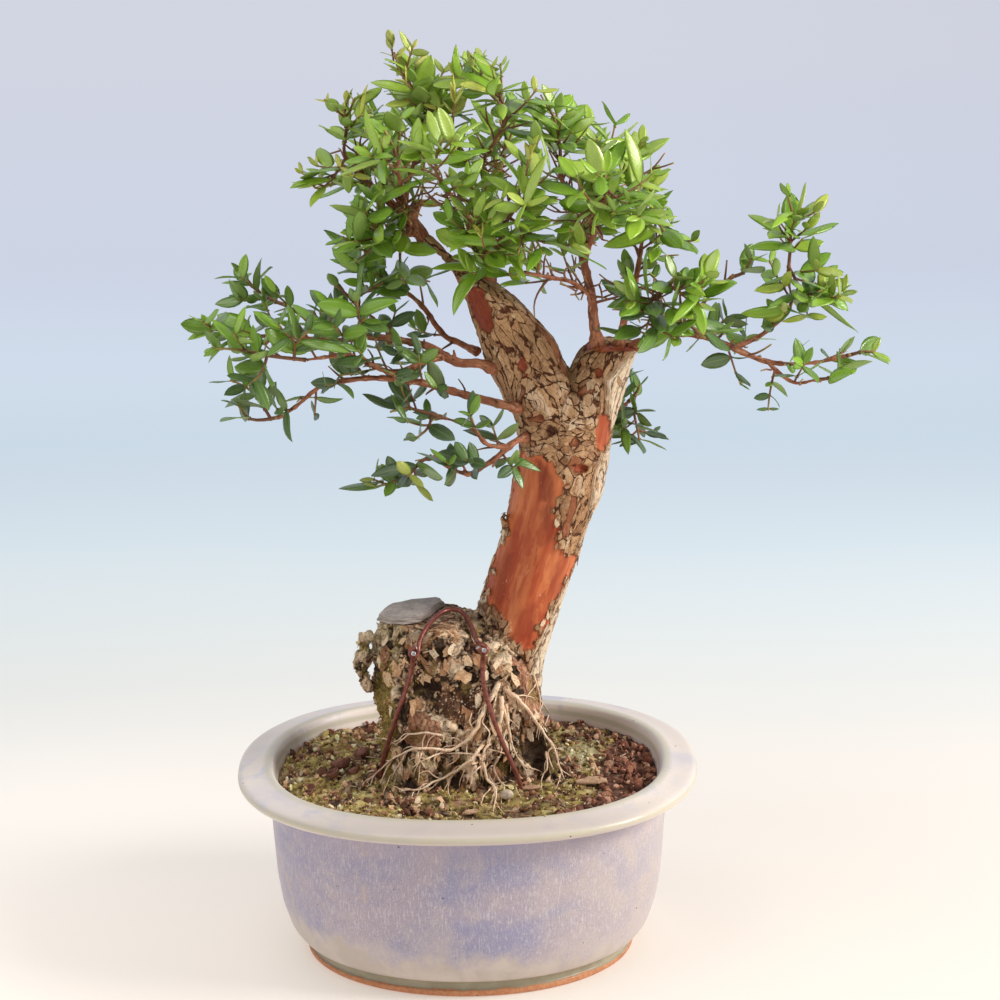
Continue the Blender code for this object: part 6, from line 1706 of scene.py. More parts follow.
def wood_tube(path, radius, sides, s0, s1, bend):
    """A closed tube whose radius is a function of the length along its path."""
    count = max(1, math.ceil((s1 - s0) / bend))
    return loft([path.ring(s0 + (s1 - s0) * k / count, radius(s0 + (s1 - s0) * k / count), sides) for k in range(count + 1)])


GNARLS = {  # thick knotty wood where many shoots start: sheet points with depth, radii
    "branch_leader_left": [
        ([(424, 240, -2), (417, 229, -3), (408, 219, -3)], 3.6, 4.0),
        ([(410, 222, -3), (402, 212, -5), (400, 203, -6)], 3.6, 2.4),
        ([(412, 222, -4), (416, 210, -8), (422, 200, -10)], 2.6, 1.5),
        ([(416, 232, -3), (402, 234, -6), (388, 231, -8), (380, 233, -9)], 2.4, 1.1),
        ([(408, 226, 4), (396, 222, 6), (386, 226, 8)], 2.2, 1.0),
        ([(404, 208, -4), (396, 196, -6), (398, 184, -8)], 1.7, 0.9),
        ([(404, 214, -2), (392, 208, -4), (384, 198, -6)], 1.6, 0.9),
    ],
}


THINNER = {"branch_right": 0.80, "branch_left_upper": 0.88, "branch_left_long": 0.88, "branch_left_low": 0.86}


def fine_branch(name, stem, seed, mat, stubs):
    """A branch and its forks as one skin, with knuckles where shoots grow or grew."""
    rng = random.Random(seed)
    parts, lines = [], []
    for part in stems_of(stem):
        if part.level > 0:
            continue
        path = part.path
        knots = [s for s, _ in part.kids] + [path.length]
        s = rng.uniform(5, 9)
        while s < path.length:
            knots.append(s)
            s += rng.uniform(6, 12)

        def radius(s, part=part, knots=knots):
            r = (part.r0 + (part.r1 - part.r0) * s / part.path.length) * THINNER.get(name, 0.95)
            for k in knots:
                r += 0.26 * part.r1 * math.exp(-(((s - k) / 1.3) ** 2))
            if part is stem:
                r += 1.0 * math.exp(-(((s - stem.s0) / 4.0) ** 2))
            return r

        parts.append(wood_tube(path, radius, 12, 0.0, path.length, 1.4))
        lines.append((np.array([tuple(p) for p in path.p[::2]] + [tuple(path.p[-1])]), 0.0))
        # cut ends of old shoots
        for k in knots[:-1]:
            if rng.random() < stubs and k > part.s0 + 4:
                d = (side_axis(path.dir(k), rng.uniform(0, 6.28)) + path.dir(k) * 0.5).normalized()
                a = path.at(k)
                long = rng.uniform(2.6, 6.5)
                parts.append(tube(Path([a, a + d * long * 0.6, a + d * long + UP * 0.3]), (0.85, 0.7), 8, bend=1.2))
    for points, r0, r1 in GNARLS.get(name, ()):
        parts.append(tube(Path([at(*p) for p in points]), (r0, r1), 10, bend=1.5))
    voxel = 0.6
    co, quads = remeshed(parts, voxel)
    co = relaxed(co, quads, 1, 0.5)
    n = normals_of(co, quads)
    bark, _ = along_lines(co, lines)
    warp = rough(co / 3.0, 2, seed)
    high = 0.20 * rough(bark * np.array([1 / 1.3, 1 / 1.3, 1 / 5.0]) + warp[:, None] * 0.4, 3, seed + 1) + 0.18 * rough(co / 4.0, 2, seed + 2)
    moved = co + n * high[:, None]
    level_ = np.clip(0.5 + high / 0.8, 0, 1)
    return piece(name + "_bark", moved, quads, mat, True, colours={"wood": np.stack([level_] * 4, axis=1)}, vectors={"bark": bark}, slot="brown_twig", replaces=[name])


# ---------------------------------------------------------------- leaves and twigs
LEAFY = [  # the outline of the leafy tree on the sheet
    (166, 352), (186, 318), (190, 300), (208, 292), (224, 262), (250, 256), (262, 272), (284, 262), (296, 272), (300, 290), (334, 282), (336, 262), (324, 240), (322, 215),
    (296, 205), (286, 190), (302, 176), (318, 150), (318, 132), (316, 106), (346, 98), (366, 92), (372, 70), (386, 60), (388, 34), (400, 34), (404, 56), (426, 54),
    (432, 68), (452, 76), (460, 54), (490, 58), (496, 80), (512, 76), (546, 84), (560, 94), (606, 92), (616, 108), (640, 128), (672, 140), (672, 168), (664, 182),
    (660, 200), (672, 222), (664, 238), (690, 256), (700, 266), (712, 236), (726, 238), (734, 252), (760, 240), (768, 216), (746, 190), (750, 176), (770, 178), (790, 200),
    (806, 184), (838, 182), (838, 212), (836, 248), (828, 262), (852, 290), (862, 318), (880, 346), (904, 372), (900, 384), (872, 372), (862, 402), (836, 404), (814, 392),
    (784, 388), (764, 372), (734, 388), (716, 360), (694, 368), (676, 350), (648, 360), (640, 372), (628, 382), (656, 392), (658, 402), (640, 414), (664, 444), (662, 450),
    (640, 450), (632, 466), (614, 456), (600, 480), (560, 560), (480, 560), (500, 500), (430, 500), (412, 506), (400, 490), (344, 500), (336, 488), (366, 476), (396, 464),
    (372, 446), (352, 428), (370, 404), (384, 396), (330, 392), (300, 430), (262, 432), (254, 456), (240, 450), (216, 424), (212, 408), (238, 396), (196, 388), (190, 378),
    (222, 368), (218, 356), (196, 346),
]
LEAF_ROWS = [  # share of the length, share of the half width, thickness share
    (-0.09, 0.085, 1.6), (0.0, 0.11, 1.3), (0.07, 0.46, 1.0), (0.19, 0.80, 1.0), (0.36, 0.985, 0.9),
    (0.55, 0.985, 0.8), (0.73, 0.82, 0.7), (0.875, 0.52, 0.6), (0.96, 0.23, 0.5), (1.0, 0.03, 0.4),
]


BROWN = [(392, 208), (470, 198), (600, 212), (612, 276), (566, 300), (436, 300), (384, 262)]  # where bare twigs show


def leaf_block(leaves, rng, size=1.0):
    """Closed curved blades for many leaves: points, faces, slots and the leaf attribute."""
    rows = np.array(LEAF_ROWS)
    count, rings = len(leaves), len(rows)
    across = np.array([-1, -0.5, 0, 0.5, 1, 0.5, 0, -0.5])
    top = np.array([0, 1, 1, 1, 0, -1, -1, -1]) * 0.5
    t, w, thick = rows[:, 0][:, None], rows[:, 1][:, None], rows[:, 2][:, None]
    base = np.array([tuple(leaf.base) for leaf in leaves])
    axis = np.array([tuple(leaf.axis) for leaf in leaves])
    # stalks of hanging leaves turn up again
    axis[:, 2] += 0.06 + 0.75 * np.clip(-0.10 - axis[:, 2], 0, 1)
    axis /= np.linalg.norm(axis, axis=1, keepdims=True)
    face = np.array([tuple(leaf.face) for leaf in leaves])
    # each blade turns on its stalk towards the light: outwards from the crown, and up
    out = base - np.array(CROWN_HEART) + np.array([0, 0, 25.0])
    out /= np.linalg.norm(out, axis=1, keepdims=True)
    lean = np.array([[rng.gauss(0, 0.42) for _ in range(3)] for _ in leaves])
    face = face * 0.62 + out * 0.30 + np.array([0, 0, 0.32]) + lean
    face -= axis * (face * axis).sum(1, keepdims=True)
    face /= np.maximum(np.linalg.norm(face, axis=1, keepdims=True), 1e-6)
    side = np.cross(axis, face)
    length = np.array([leaf.length for leaf in leaves])[:, None, None]
    width = np.array([leaf.width for leaf in leaves])[:, None, None]
    tone = np.array([leaf.tone for leaf in leaves])
    r = np.array([[rng.random() for _ in range(8)] for _ in leaves])
    slim = r[:, 6] * 7.3 % 1.0 < 0.18
    length = length * size * (1 - 0.12 * step(0.0, 40.0, inside(on_sheet(base), BROWN)))[:, None, None] * np.where(slim, 1.20 + 0.25 * r[:, 7], 0.90 + 0.22 * r[:, 7])[:, None, None]
    length = np.minimum(length, np.where(slim, 27.0, 21.0)[:, None, None] + 1.5 * (r[:, 0] - 0.5)[:, None, None])
    # leaves that would stand out past the tree's outline are smaller
    past = -inside(on_sheet(base + axis * length[:, 0]), LEAFY) - 3.0
    length = length * np.clip(1 - past / 30.0, 0.5, 1.0)[:, None, None]
    half = length * 0.5 * np.where(slim, 0.22 + 0.09 * r[:, 0], 0.40 + 0.15 * r[:, 0])[:, None, None]
    point = (r[:, 7] * 0.05)[:, None, None]
    fullness = w[None] ** (1.0 + point * 3)
    x = across[None, None, :] * fullness * half
    fold = (0.10 + 0.34 * r[:, 1])[:, None, None]
    cup = (0.25 + 0.5 * r[:, 2])[:, None, None]
    droop = (np.where(slim, 0.10, -0.08) + 0.34 * r[:, 3] ** 1.5)[:, None, None] * (1 - 0.5 * tone[:, None, None])
    sway = ((r[:, 4] - 0.5) * 0.16)[:, None, None]
    z = fold * np.abs(x) - cup * x * x / np.maximum(half, 0.2) * 0.55
    z = z - np.where(np.abs(across)[None, None, :] < 0.1, 0.10, 0.0)
    z = z - droop * length * np.clip(t, 0, 1)[None] ** 2
    z = z + 0.012 * length * np.sin(t[None] * 7 + r[:, 5][:, None, None] * 6) * np.abs(across)[None, None, :]
    z = z + top[None, None, :] * 0.34 * thick[None]
    x = x + sway * length * np.clip(t, 0, 1)[None] ** 2
    twist = ((r[:, 6] - 0.5) * 0.9)[:, None, None] * np.clip(t, 0, 1)[None]
    x, z = x * np.cos(twist) - z * np.sin(twist), x * np.sin(twist) + z * np.cos(twist)
    y = np.broadcast_to(t[None] * length, x.shape)
    points = base[:, None, None] + axis[:, None, None] * y[..., None] + side[:, None, None] * x[..., None] + face[:, None, None] * z[..., None]
    quads, slots = [], []
    for k in range(rings - 1):
        for i in range(8):
            j = (i + 1) % 8
            quads.append((k * 8 + i, (k + 1) * 8 + i, (k + 1) * 8 + j, k * 8 + j))
            slots.append(0 if i < 4 else 1)
    quads = np.array(quads)
    caps = [(0, 1, 2, 3), (0, 3, 4, 5), (0, 5, 6, 7)]
    end = (rings - 1) * 8
    caps += [(end + 3, end + 2, end + 1, end), (end + 5, end + 4, end + 3, end), (end + 7, end + 6, end + 5, end)]
    quads = np.concatenate([quads, np.array(caps)])
    slots = np.array(slots + [0] * 6)
    each = rings * 8
    faces = (quads[None, :, ::-1] + (np.arange(count) * each)[:, None, None]).reshape(-1, 4)
    leaf = np.empty((count, rings, 8, 4), np.float32)
    # painted light and shade: brighter outside and on top of the crown, darker inside and below, mixed with each leaf's
    # own random tone
    lit = step(-0.35, 0.75, out[:, 2] + 0.25 * (np.linalg.norm(base - np.array(CROWN_HEART), axis=1) / 70 - 1))
    leaf[..., 0] = np.clip(0.50 * r[:, 5] + 0.62 * lit - 0.12 + 0.2 * tone, 0, 1)[:, None, None]
    leaf[..., 1] = tone[:, None, None]
    leaf[..., 2] = np.abs(across)[None, None, :]
    leaf[..., 3] = np.clip(t, 0, 1)[None]
    return points.reshape(-1, 3), faces, np.tile(slots, count), leaf.reshape(-1, 4)


def twig_block(stems, rng, sides=6):
    """Tubes for many twigs, with a small swelling at each leaf: points, faces, attribute."""
    points, faces, ages = [], [], []
    for stem in stems:
        path = stem.path
        stations = {0.0, path.length}
        s = 0.0
        while s < path.length:
            stations.add(s)
            s += 3.6
        knots = [s for s, _ in stem.kids]
        for k in knots:
            stations.update((max(0.0, k - 0.9), k, min(path.length, k + 0.9)))
        stations = sorted(stations)
        own = rng.random()
        rings = []
        for s in stations:
            r = stem.radius(s) * 1.04
            for k in knots:
                if abs(k - s) < 0.5:
                    r *= 1.28
            rings.append(path.ring(s, r, sides))
        n = len(points)
        p, f = loft(rings)
        points += p
        faces += [tuple(i + n for i in face) for face in f]
        old = 0.0 if stem.level == 0 else 0.3
        for s in stations:
            ages += [(old + (1 - old) * (s / path.length) ** 1.5, own, 0, 1)] * sides
        ages += [(old, own, 0, 1), (1.0, own, 0, 1)]
    return points, faces, ages


def foliage_piece(name, stems, mats, twig_mat, seed, replaces=(), slot="green_leaf", size=1.0):
    rng = random.Random(seed)
    leaves = [kid for stem in stems for _, kid in stem.kids if isinstance(kid, Leaf)]
    points, faces, ages = twig_block(stems, rng)
    n = len(points)
    points = np.array([tuple(p) for p in points])
    leaf_attr = np.zeros((n, 4), np.float32)
    twig_attr = np.array(ages, np.float32)
    slots = [2] * len(faces)
    if leaves:
        lp, lf, ls, la = leaf_block(leaves, rng, size)
        points = np.concatenate([points, lp])
        faces = [*faces, *map(tuple, (lf + n).tolist())]
        slots += list(ls)
        leaf_attr = np.concatenate([leaf_attr, la])
        twig_attr = np.concatenate([twig_attr, np.zeros((len(lp), 4), np.float32)])
    return piece(name, points, faces, [*mats, twig_mat], True, slots, {"leaf": leaf_attr, "twig": twig_attr}, slot=slot, replaces=replaces), len(leaves)


def in_brown(twig, rng, share):
    return inside(on_sheet(np.array([tuple(twig.path.at(twig.path.length * 0.6))])), BROWN)[0] > 0 and rng.random() < share


def side_spots(stem, rng, first, gap):
    """Places along a stem with no shoot or leaf near."""
    s, found = first, []
    while s < stem.path.length - 2.5:
        if all(abs(s - other) > 2.6 for other, _ in stem.kids):
            found.append(round(s, 3))
        s += rng.uniform(gap * 0.8, gap * 1.2)
    return found


def thicken(space, stem, spec, rng, extra, share=1.0):
    """More side shoots where there is still room; extra collects them."""
    reach = spec[4]
    for s in side_spots(stem, rng, 4.0, 7.5 if stem.level < 2 else 9.0):
        for sign in (1, -1):
            if rng.random() > share:
                continue
            for attempt in range(6):
                d = stem.path.dir(s)
                side = side_axis(d, rng.uniform(0, 6.28)) * sign
                out = (stem.path.at(s) - CROWN_HEART).normalized()
                aim = (side + d * 0.6 + UP * 0.25 + out * 0.25).normalized()
                long = reach * rng.uniform(0.42, 0.95) * (0.6 if stem.level == 2 else 1.0)
                twig = Stem(grown_path(stem.path.at(s), aim, long, rng), 0.55, 0.4, 3, 1.6, stem.level + 1)
                if inside(on_sheet(np.array([tuple(twig.path.p[-1])])), LEAFY)[0] < 6:
                    continue
                item = space.free(*twig.tester(2.2, 0.1))
                if item:
                    space.take(item)
                    extra.append(twig)
                    break
    return extra


def dress(space, twig, spec, rng, mean):
    """Leaves in pairs along an extra twig."""
    young = spec[7]
    s = max(3.4, twig.path.length * 0.3)
    k = rng.randrange(2)
    while s < twig.path.length - 2.0:
        side = side_axis(twig.path.dir(s), k * 1.57 + rng.uniform(-0.35, 0.35))
        for sign in (1, -1):
            place_leaf(space, twig, round(s, 3), side * sign, rng, mean * rng.uniform(0.72, 1.08), min(1.0, young * s / twig.path.length + 0.15 * rng.random()))
        s += rng.uniform(7.5, 10.0)
        k += 1
    end = round(twig.path.length - 1.2, 3)
    side = side_axis(twig.path.dir(end), rng.uniform(0, 3))
    for sign in (1, -1):
        place_leaf(space, twig, end, side * sign, rng, mean * rng.uniform(0.5, 0.8), min(1.0, young + 0.25), 0.35)


# ---------------------------------------------------------------- ground
def soil_plain():
    """The soil's top before anything stands in it, as a tree for rays."""
    span = np.linspace(-104, 104, 90)
    points = [Vector((x, y, soil_height(x, y))) for y in span for x in span]
    n = len(span)
    faces = [(j * n + i, j * n + i + 1, (j + 1) * n + i + 1, (j + 1) * n + i) for j in range(n - 1) for i in range(n - 1)]
    return BVHTree.FromPolygons(points, faces)


def inside_wall(x, y, z=SOIL_TOP):
    """Share of the way to the pot's inner wall, 1 at the wall."""
    a = 101.6
    t = z / RIM_HEIGHT
    b = a - (RIM_HALF_WIDTH - RIM_HALF_DEPTH) * (0.68 + 0.32 * t)
    p = 2.04 + 0.26 * t
    return (np.abs(x / a) ** p + np.abs(y / b) ** p) ** (1 / p)


def ground_kind(co, seed=7):
    """Masks over the soil: moss, and red-brown fresh soil."""
    uv = on_sheet(co)
    n1, n2 = rough(co / 16.0, 3, seed), rough(co / 7.0, 3, seed + 5)
    u, v = uv[:, 0], uv[:, 1]
    red = step(-14, 22, (u - 596) + 0.9 * (v - 770) * 0.4 + 16 * n1)
    red = np.maximum(red, step(735, 722, v + 5 * n1) * 0.65)
    moss = step(0.40, 0.74, 0.50 + 0.75 * n2 - 0.9 * red + 0.20 * step(700, 800, v) - 0.12 * step(420, 560, u))
    patch = np.exp(-(((u - 584) / 26) ** 2 + ((v - 752) / 15) ** 2))
    moss = np.maximum(moss, step(0.25, 0.6, patch + 0.3 * n2))
    light = step(0.2, 0.7, patch + 0.35 * n2 - 0.1)
    return moss, np.clip(red, 0, 1), light, n2


def ground_colour(co, rng_state, moss, red, light, n2, green_share=0.5):
    """A colour for each grain."""
    k = rng_state.random(len(co))
    j = rng_state.random(len(co))
    def pick(table, k):
        table = np.array([rgb(*c)[:3] for c in table])
        return table[(k * len(table)).astype(int) % len(table)]
    brown = pick([(180, 136, 104), (116, 76, 54), (214, 174, 138), (80, 50, 34), (236, 204, 170), (150, 106, 78), (92, 58, 40)], k)
    fresh = pick([(164, 108, 84), (124, 74, 56), (190, 134, 108), (88, 50, 38), (214, 168, 140), (140, 86, 66)], k)
    green = pick([(180, 158, 92), (208, 188, 118), (138, 118, 60), (232, 216, 158), (154, 120, 76), (100, 82, 42), (192, 176, 98)], k)
    bright = pick([(206, 192, 146), (230, 220, 182), (170, 158, 106), (240, 232, 204), (190, 178, 130)], k)
    out = brown * (1 - red)[:, None] + fresh * red[:, None]
    is_green = (j < moss * green_share)[:, None]
    lively = (light > 0.5)[:, None]
    out = np.where(is_green, np.where(lively, bright, green), out)
    straw = (rng_state.random(len(co)) < 0.05 * (1 - red))[:, None]
    return np.where(straw, np.array([rgb(196, 168, 124)[:3]]), out)


def fine_soil(mat, wall_gap=0.4):
    """The soil's visible top: an uneven skin that the grains lie in, closed underneath."""
    around, shares = 150, [0.02, *np.linspace(0.06, 1.0, 46)]
    rings = []
    for share in shares:
        ring = []
        for i in range(around):
            t = 2 * math.pi * i / around
            c, s = math.cos(t), math.sin(t)
            p = 2.28
            a = 101.6 - wall_gap
            b = a - (RIM_HALF_WIDTH - RIM_HALF_DEPTH) * 0.97
            ring.append((share * a * math.copysign(abs(c) ** (2 / p), c), share * b * math.copysign(abs(s) ** (2 / p), s)))
        rings.append(ring)
    xy = np.array(rings).reshape(-1, 2)
    z = np.array([soil_height(x, y) for x, y in xy])
    co = np.column_stack([xy, z])
    co[:, 2] += 2.0 * rough(co / 7.0, 3, 3) + 0.6 * rough(co / 2.4, 2, 6) - 1.0
    moss, red, light, n2 = ground_kind(co)
    co[:, 2] += moss * 1.1 * np.abs(grain(co / 4.5, 9))
    state = np.random.RandomState(11)
    # painted shade: the skin between the grains darker, less so under moss; painted light: the left side brighter,
    # lifted out of the stump's shadow
    left = 1 + 0.25 * step(20, -80, co[:, 0])
    tint = ground_colour(co, state, moss, red, light, n2, 0.95) * ((0.42 + 0.46 * moss) * left)[:, None]
    n = len(shares)
    # walls and floor of the soil, out of sight
    low = []
    for z_, a_ in ((80.0, 98.2), (60.0, 96.2), (40.0, 93.0), (24.0, 86.0), (19.4, 80.0)):
        t_ = z_ / RIM_HEIGHT
        low.append([tuple(p) for p in oval(a_, a_ - (RIM_HALF_WIDTH - RIM_HALF_DEPTH) * (0.68 + 0.32 * t_), 2.04 + 0.26 * t_, z_, around)])
    points = np.concatenate([co, np.array(low).reshape(-1, 3), [[0, 0, 19.4]], [[0, 0, soil_height(0, 0)]]])
    faces = []
    for k in range(n + 4):
        for i in range(around):
            j = (i + 1) % around
            faces.append((k * around + i, (k + 1) * around + i, (k + 1) * around + j, k * around + j))
    bottom, middle = len(points) - 2, len(points) - 1
    for i in range(around):
        j = (i + 1) % around
        faces.append(((n + 4) * around + i, bottom, (n + 4) * around + j))
        faces.append((i, j, middle))
    tint = np.concatenate([tint, np.tile(rgb(74, 50, 38)[:3], (len(points) - len(tint), 1))])
    tint = np.column_stack([tint, np.ones(len(tint))])
    return piece("potting_soil", points, faces, mat, True, colours={"tint": tint}, slot="mossy_soil", replaces=["soil"])


def plain_icosa():
    g = (1 + 5 ** 0.5) / 2
    v = np.array([(-1, g, 0), (1, g, 0), (-1, -g, 0), (1, -g, 0), (0, -1, g), (0, 1, g), (0, -1, -g), (0, 1, -g), (g, 0, -1), (g, 0, 1), (-g, 0, -1), (-g, 0, 1)], float)
    v /= np.linalg.norm(v[0])
    f = np.array([(0, 11, 5), (0, 5, 1), (0, 1, 7), (0, 7, 10), (0, 10, 11), (1, 5, 9), (5, 11, 4), (11, 10, 2), (10, 7, 6), (7, 1, 8), (3, 9, 4), (3, 4, 2), (3, 2, 6), (3, 6, 8), (3, 8, 9), (4, 9, 5), (2, 4, 11), (6, 2, 10), (8, 6, 7), (9, 8, 1)])
    return v, f


def turns(count, state):
    """Random turns as matrices."""
    q = state.normal(size=(count, 4))
    q /= np.linalg.norm(q, axis=1, keepdims=True)
    w, x, y, z = q.T
    return np.stack([
        1 - 2 * (y * y + z * z), 2 * (x * y - z * w), 2 * (x * z + y * w),
        2 * (x * y + z * w), 1 - 2 * (x * x + z * z), 2 * (y * z - x * w),
        2 * (x * z - y * w), 2 * (y * z + x * w), 1 - 2 * (x * x + y * y)], axis=1).reshape(-1, 3, 3)


def grains(name, spots, radii, tint, mat, state, slot, flat=0.75):
    """Many small broken grains as one piece."""
    v, f = plain_icosa()
    count = len(spots)
    jag = 1 + 0.42 * (state.random((count, len(v))) * 2 - 1)
    size = radii[:, None] * np.stack([1 + 0.35 * state.random(count), 0.75 + 0.4 * state.random(count), flat + 0.3 * state.random(count)], axis=1)
    p = v[None] * jag[..., None] * size[:, None]
    p = np.einsum("nij,nkj->nki", turns(count, state), p) + spots[:, None]
    faces = (f[None] + (np.arange(count) * len(v))[:, None, None]).reshape(-1, 3)
    colour = np.column_stack([np.repeat(tint, len(v), axis=0), np.ones(count * len(v))])
    return piece(name, p.reshape(-1, 3), faces, mat, False, colours={"tint": colour}, slot=slot)


def tufts(name, spots, ups, height, tint, mat, state, slot, blades=5, thin=0.30):
    """Small tufts of moss: thin pointed leaflets that fan out from each spot."""
    count = len(spots) * blades
    spots, ups, tint = np.repeat(spots, blades, axis=0), np.repeat(ups, blades, axis=0), np.repeat(tint, blades, axis=0)
    tip = ups + state.normal(scale=0.55, size=(count, 3))
    tip /= np.linalg.norm(tip, axis=1, keepdims=True)
    long = height * (0.55 + 0.8 * state.random(count))
    a = np.cross(tip, state.normal(size=(count, 3)))
    a /= np.linalg.norm(a, axis=1, keepdims=True)
    b = np.cross(tip, a)
    root = spots + state.normal(scale=0.45, size=(count, 3)) * (1 - np.abs(ups)) - ups * 0.3
    ring = [root + (a * math.cos(t) + b * math.sin(t)) * thin for t in (0, 2.094, 4.189)]
    mid = root + tip * (long * 0.55)[:, None]
    fat = [mid + (a * math.cos(t) + b * math.sin(t)) * thin * 0.85 for t in (0.5, 2.594, 4.689)]
    points = np.stack([*ring, *fat, root + tip * long[:, None]], axis=1).reshape(-1, 3)
    f = np.array([(0, 2, 1), (0, 1, 4), (0, 4, 3), (1, 2, 5), (1, 5, 4), (2, 0, 3), (2, 3, 5), (3, 4, 6), (4, 5, 6), (5, 3, 6)])
    faces = (f[None] + (np.arange(count) * 7)[:, None, None]).reshape(-1, 3)
    shade = np.repeat(tint * (0.75 + 0.5 * state.random((count, 1))), 7, axis=0)
    shade = np.column_stack([shade, np.ones(len(shade))])
    return piece(name, points, faces, mat, False, colours={"tint": shade}, slot=slot)


def soil_cover(trunk_fine, soil_mat, moss_mat):
    """Grains over the whole soil and moss where it grows."""
    state = np.random.RandomState(23)
    want = 6100
    xy = (state.random((want * 2, 2)) * 2 - 1) * np.array([101.0, 90.0])
    xy = xy[inside_wall(xy[:, 0], xy[:, 1]) < 0.985][:want]
    z = np.array([soil_height(x, y) for x, y in xy])
    keep = []
    for k, (x, y) in enumerate(xy):
        # left out where the stump stands: its bark is met from above, and just below too
        over = trunk_fine.ray_cast(Vector((x, y, z[k] + 0.6)), UP, 40.0)
        if over[0] is None or over[1].z < 0:
            keep.append(k)
    xy, z = xy[keep], z[keep]
    co = np.column_stack([xy, z])
    moss, red, light, n2 = ground_kind(co)
    heap = 0.75 + 0.5 * step(-0.35, 0.45, rough(co / 5.0, 2, 27))
    radii = (0.55 + 1.9 * state.random(len(co)) ** 3) * (1 - 0.35 * moss) * heap
    lift = 2.0 * rough(co / 7.0, 3, 3) - 1.0
    spots = co + np.array([0, 0, 1.0]) * (lift + 0.25 * radii + 1.1 * state.random(len(co)) ** 2)[:, None]
    # painted light: grains on the left brighter, lifted out of the stump's shadow
    left = 1 + 0.25 * step(20, -80, co[:, 0])
    tint = np.minimum(ground_colour(co, state, moss, red, light, n2, 0.6) * ((1.22 - 0.12 * red) * left)[:, None], 1.0)
    grains("soil_grains", spots, radii, tint, soil_mat, state, "mossy_soil", 0.5)
    # moss: cushions of small tufts over the grains
    pick = state.random(len(co)) < 0.66 * moss
    spots = spots[pick] + np.array([0, 0, 0.35])
    table = np.array([rgb(*c)[:3] for c in [(206, 184, 96), (228, 208, 122), (170, 150, 76), (240, 226, 160), (184, 154, 92)]])
    pale_table = np.array([rgb(*c)[:3] for c in [(212, 206, 152), (232, 226, 186), (184, 182, 124)]])
    k = state.randint(0, 5, pick.sum())
    tint = np.where((light[pick] > 0.5)[:, None], pale_table[k % 3], table[k])
    tufts("soil_moss", spots, np.tile([0, 0, 1.0], (len(spots), 1)), 1.35, tint, moss_mat, state, "mossy_soil", 3, 0.26)
    # bits of straw and dry needles lying flat
    loose = state.permutation(len(co))[:170]
    lie = state.normal(size=(len(loose), 3)) * np.array([1, 1, 0.12])
    lie /= np.linalg.norm(lie, axis=1, keepdims=True)
    table = np.array([rgb(*c)[:3] for c in [(206, 178, 140), (176, 140, 104), (222, 204, 172), (140, 104, 78)]])
    straws("soil_litter", co[loose] + np.array([0, 0, 1.6]), lie, 2.2 + 4.5 * state.random(len(loose)) ** 2, table[state.randint(0, 4, len(loose))], soil_mat)


def straws(name, spots, along, long, tint, mat):
    """Short dry sticks, four-sided and pointed."""
    count = len(spots)
    a = np.cross(along, np.array([0, 0, 1.0]))
    a /= np.maximum(np.linalg.norm(a, axis=1, keepdims=True), 1e-9)
    b = np.cross(along, a)
    thick = 0.30
    rows = []
    for share in (-0.5, 0.5):
        for x, y in ((1, 0), (0, 1), (-1, 0), (0, -1)):
            rows.append(spots + along * (long * share)[:, None] + (a * x + b * y) * thick)
    points = np.stack(rows, axis=1).reshape(-1, 3)
    f = np.array([(0, 1, 5, 4), (1, 2, 6, 5), (2, 3, 7, 6), (3, 0, 4, 7), (3, 2, 1, 0), (4, 5, 6, 7)])
    faces = (f[None] + (np.arange(count) * 8)[:, None, None]).reshape(-1, 4)
    shade = np.column_stack([np.repeat(tint, 8, axis=0), np.ones(count * 8)])
    return piece(name, points, faces, mat, False, colours={"tint": shade}, slot="mossy_soil")


def stump_moss(wood, mat):
    state = np.random.RandomState(31)
    moved, normals, info = wood["moved"], wood["n"], wood
    chance = info["moss"] * 0.10
    # where the moss is thick, on the stump's left side
    chance = chance * (0.6 + 1.4 * step(420, 392, info["uv"][:, 0]))
    pick = state.random(len(moved)) < (chance * 1.0)
    table = np.array([rgb(*c)[:3] for c in [(196, 170, 90), (164, 138, 70), (216, 192, 112), (130, 108, 56), (180, 164, 86), (156, 116, 74)]])
    k = state.randint(0, 6, pick.sum())
    tufts("stump_moss", moved[pick], normals[pick], 1.9, table[k], mat, state, "mossy_soil", 2, 0.28)


FLAKES = [  # the largest loose flakes of the stump: sheet place, half length in mm, width share, turn, paleness
    (424, 677, 6.4, 0.50, -0.75, 0.62), (415, 655, 3.8, 0.75, 0.3, 0.85), (402, 640, 3.4, 0.60, 0.2, 0.7), (434, 655, 3.2, 0.80, -0.2, 0.95),
    (452, 650, 3.6, 0.70, 0.4, 0.9), (466, 660, 4.6, 0.60, -0.4, 0.8), (462, 676, 4.8, 0.90, 1.1, 0.6), (443, 672, 3.2, 0.70, 0.1, 0.5),
    (486, 676, 3.2, 0.60, 0.2, 0.9), (497, 664, 3.8, 0.50, 0.6, 0.85), (508, 668, 3.4, 0.50, -0.3, 0.75), (413, 706, 5.6, 0.45, 0.1, 0.55),
    (424, 752, 4.6, 0.60, 0.9, 0.9), (448, 738, 3.4, 0.80, 0.2, 0.95), (398, 727, 4.2, 0.55, 0.0, 0.6), (470, 732, 4.2, 0.70, 0.3, 0.7),
    (516, 726, 4.6, 0.70, -0.4, 0.92), (530, 734, 4.2, 0.60, -0.5, 0.97), (549, 726, 4.8, 0.55, -0.3, 0.98), (556, 738, 4.0, 0.50, 0.2, 0.98),
    (536, 714, 4.0, 0.60, 0.3, 0.9), (500, 712, 3.2, 0.60, 0.1, 0.6), (384, 640, 4.2, 0.60, 0.2, 0.9), (378, 660, 4.0, 0.50, -0.1, 0.8),
]


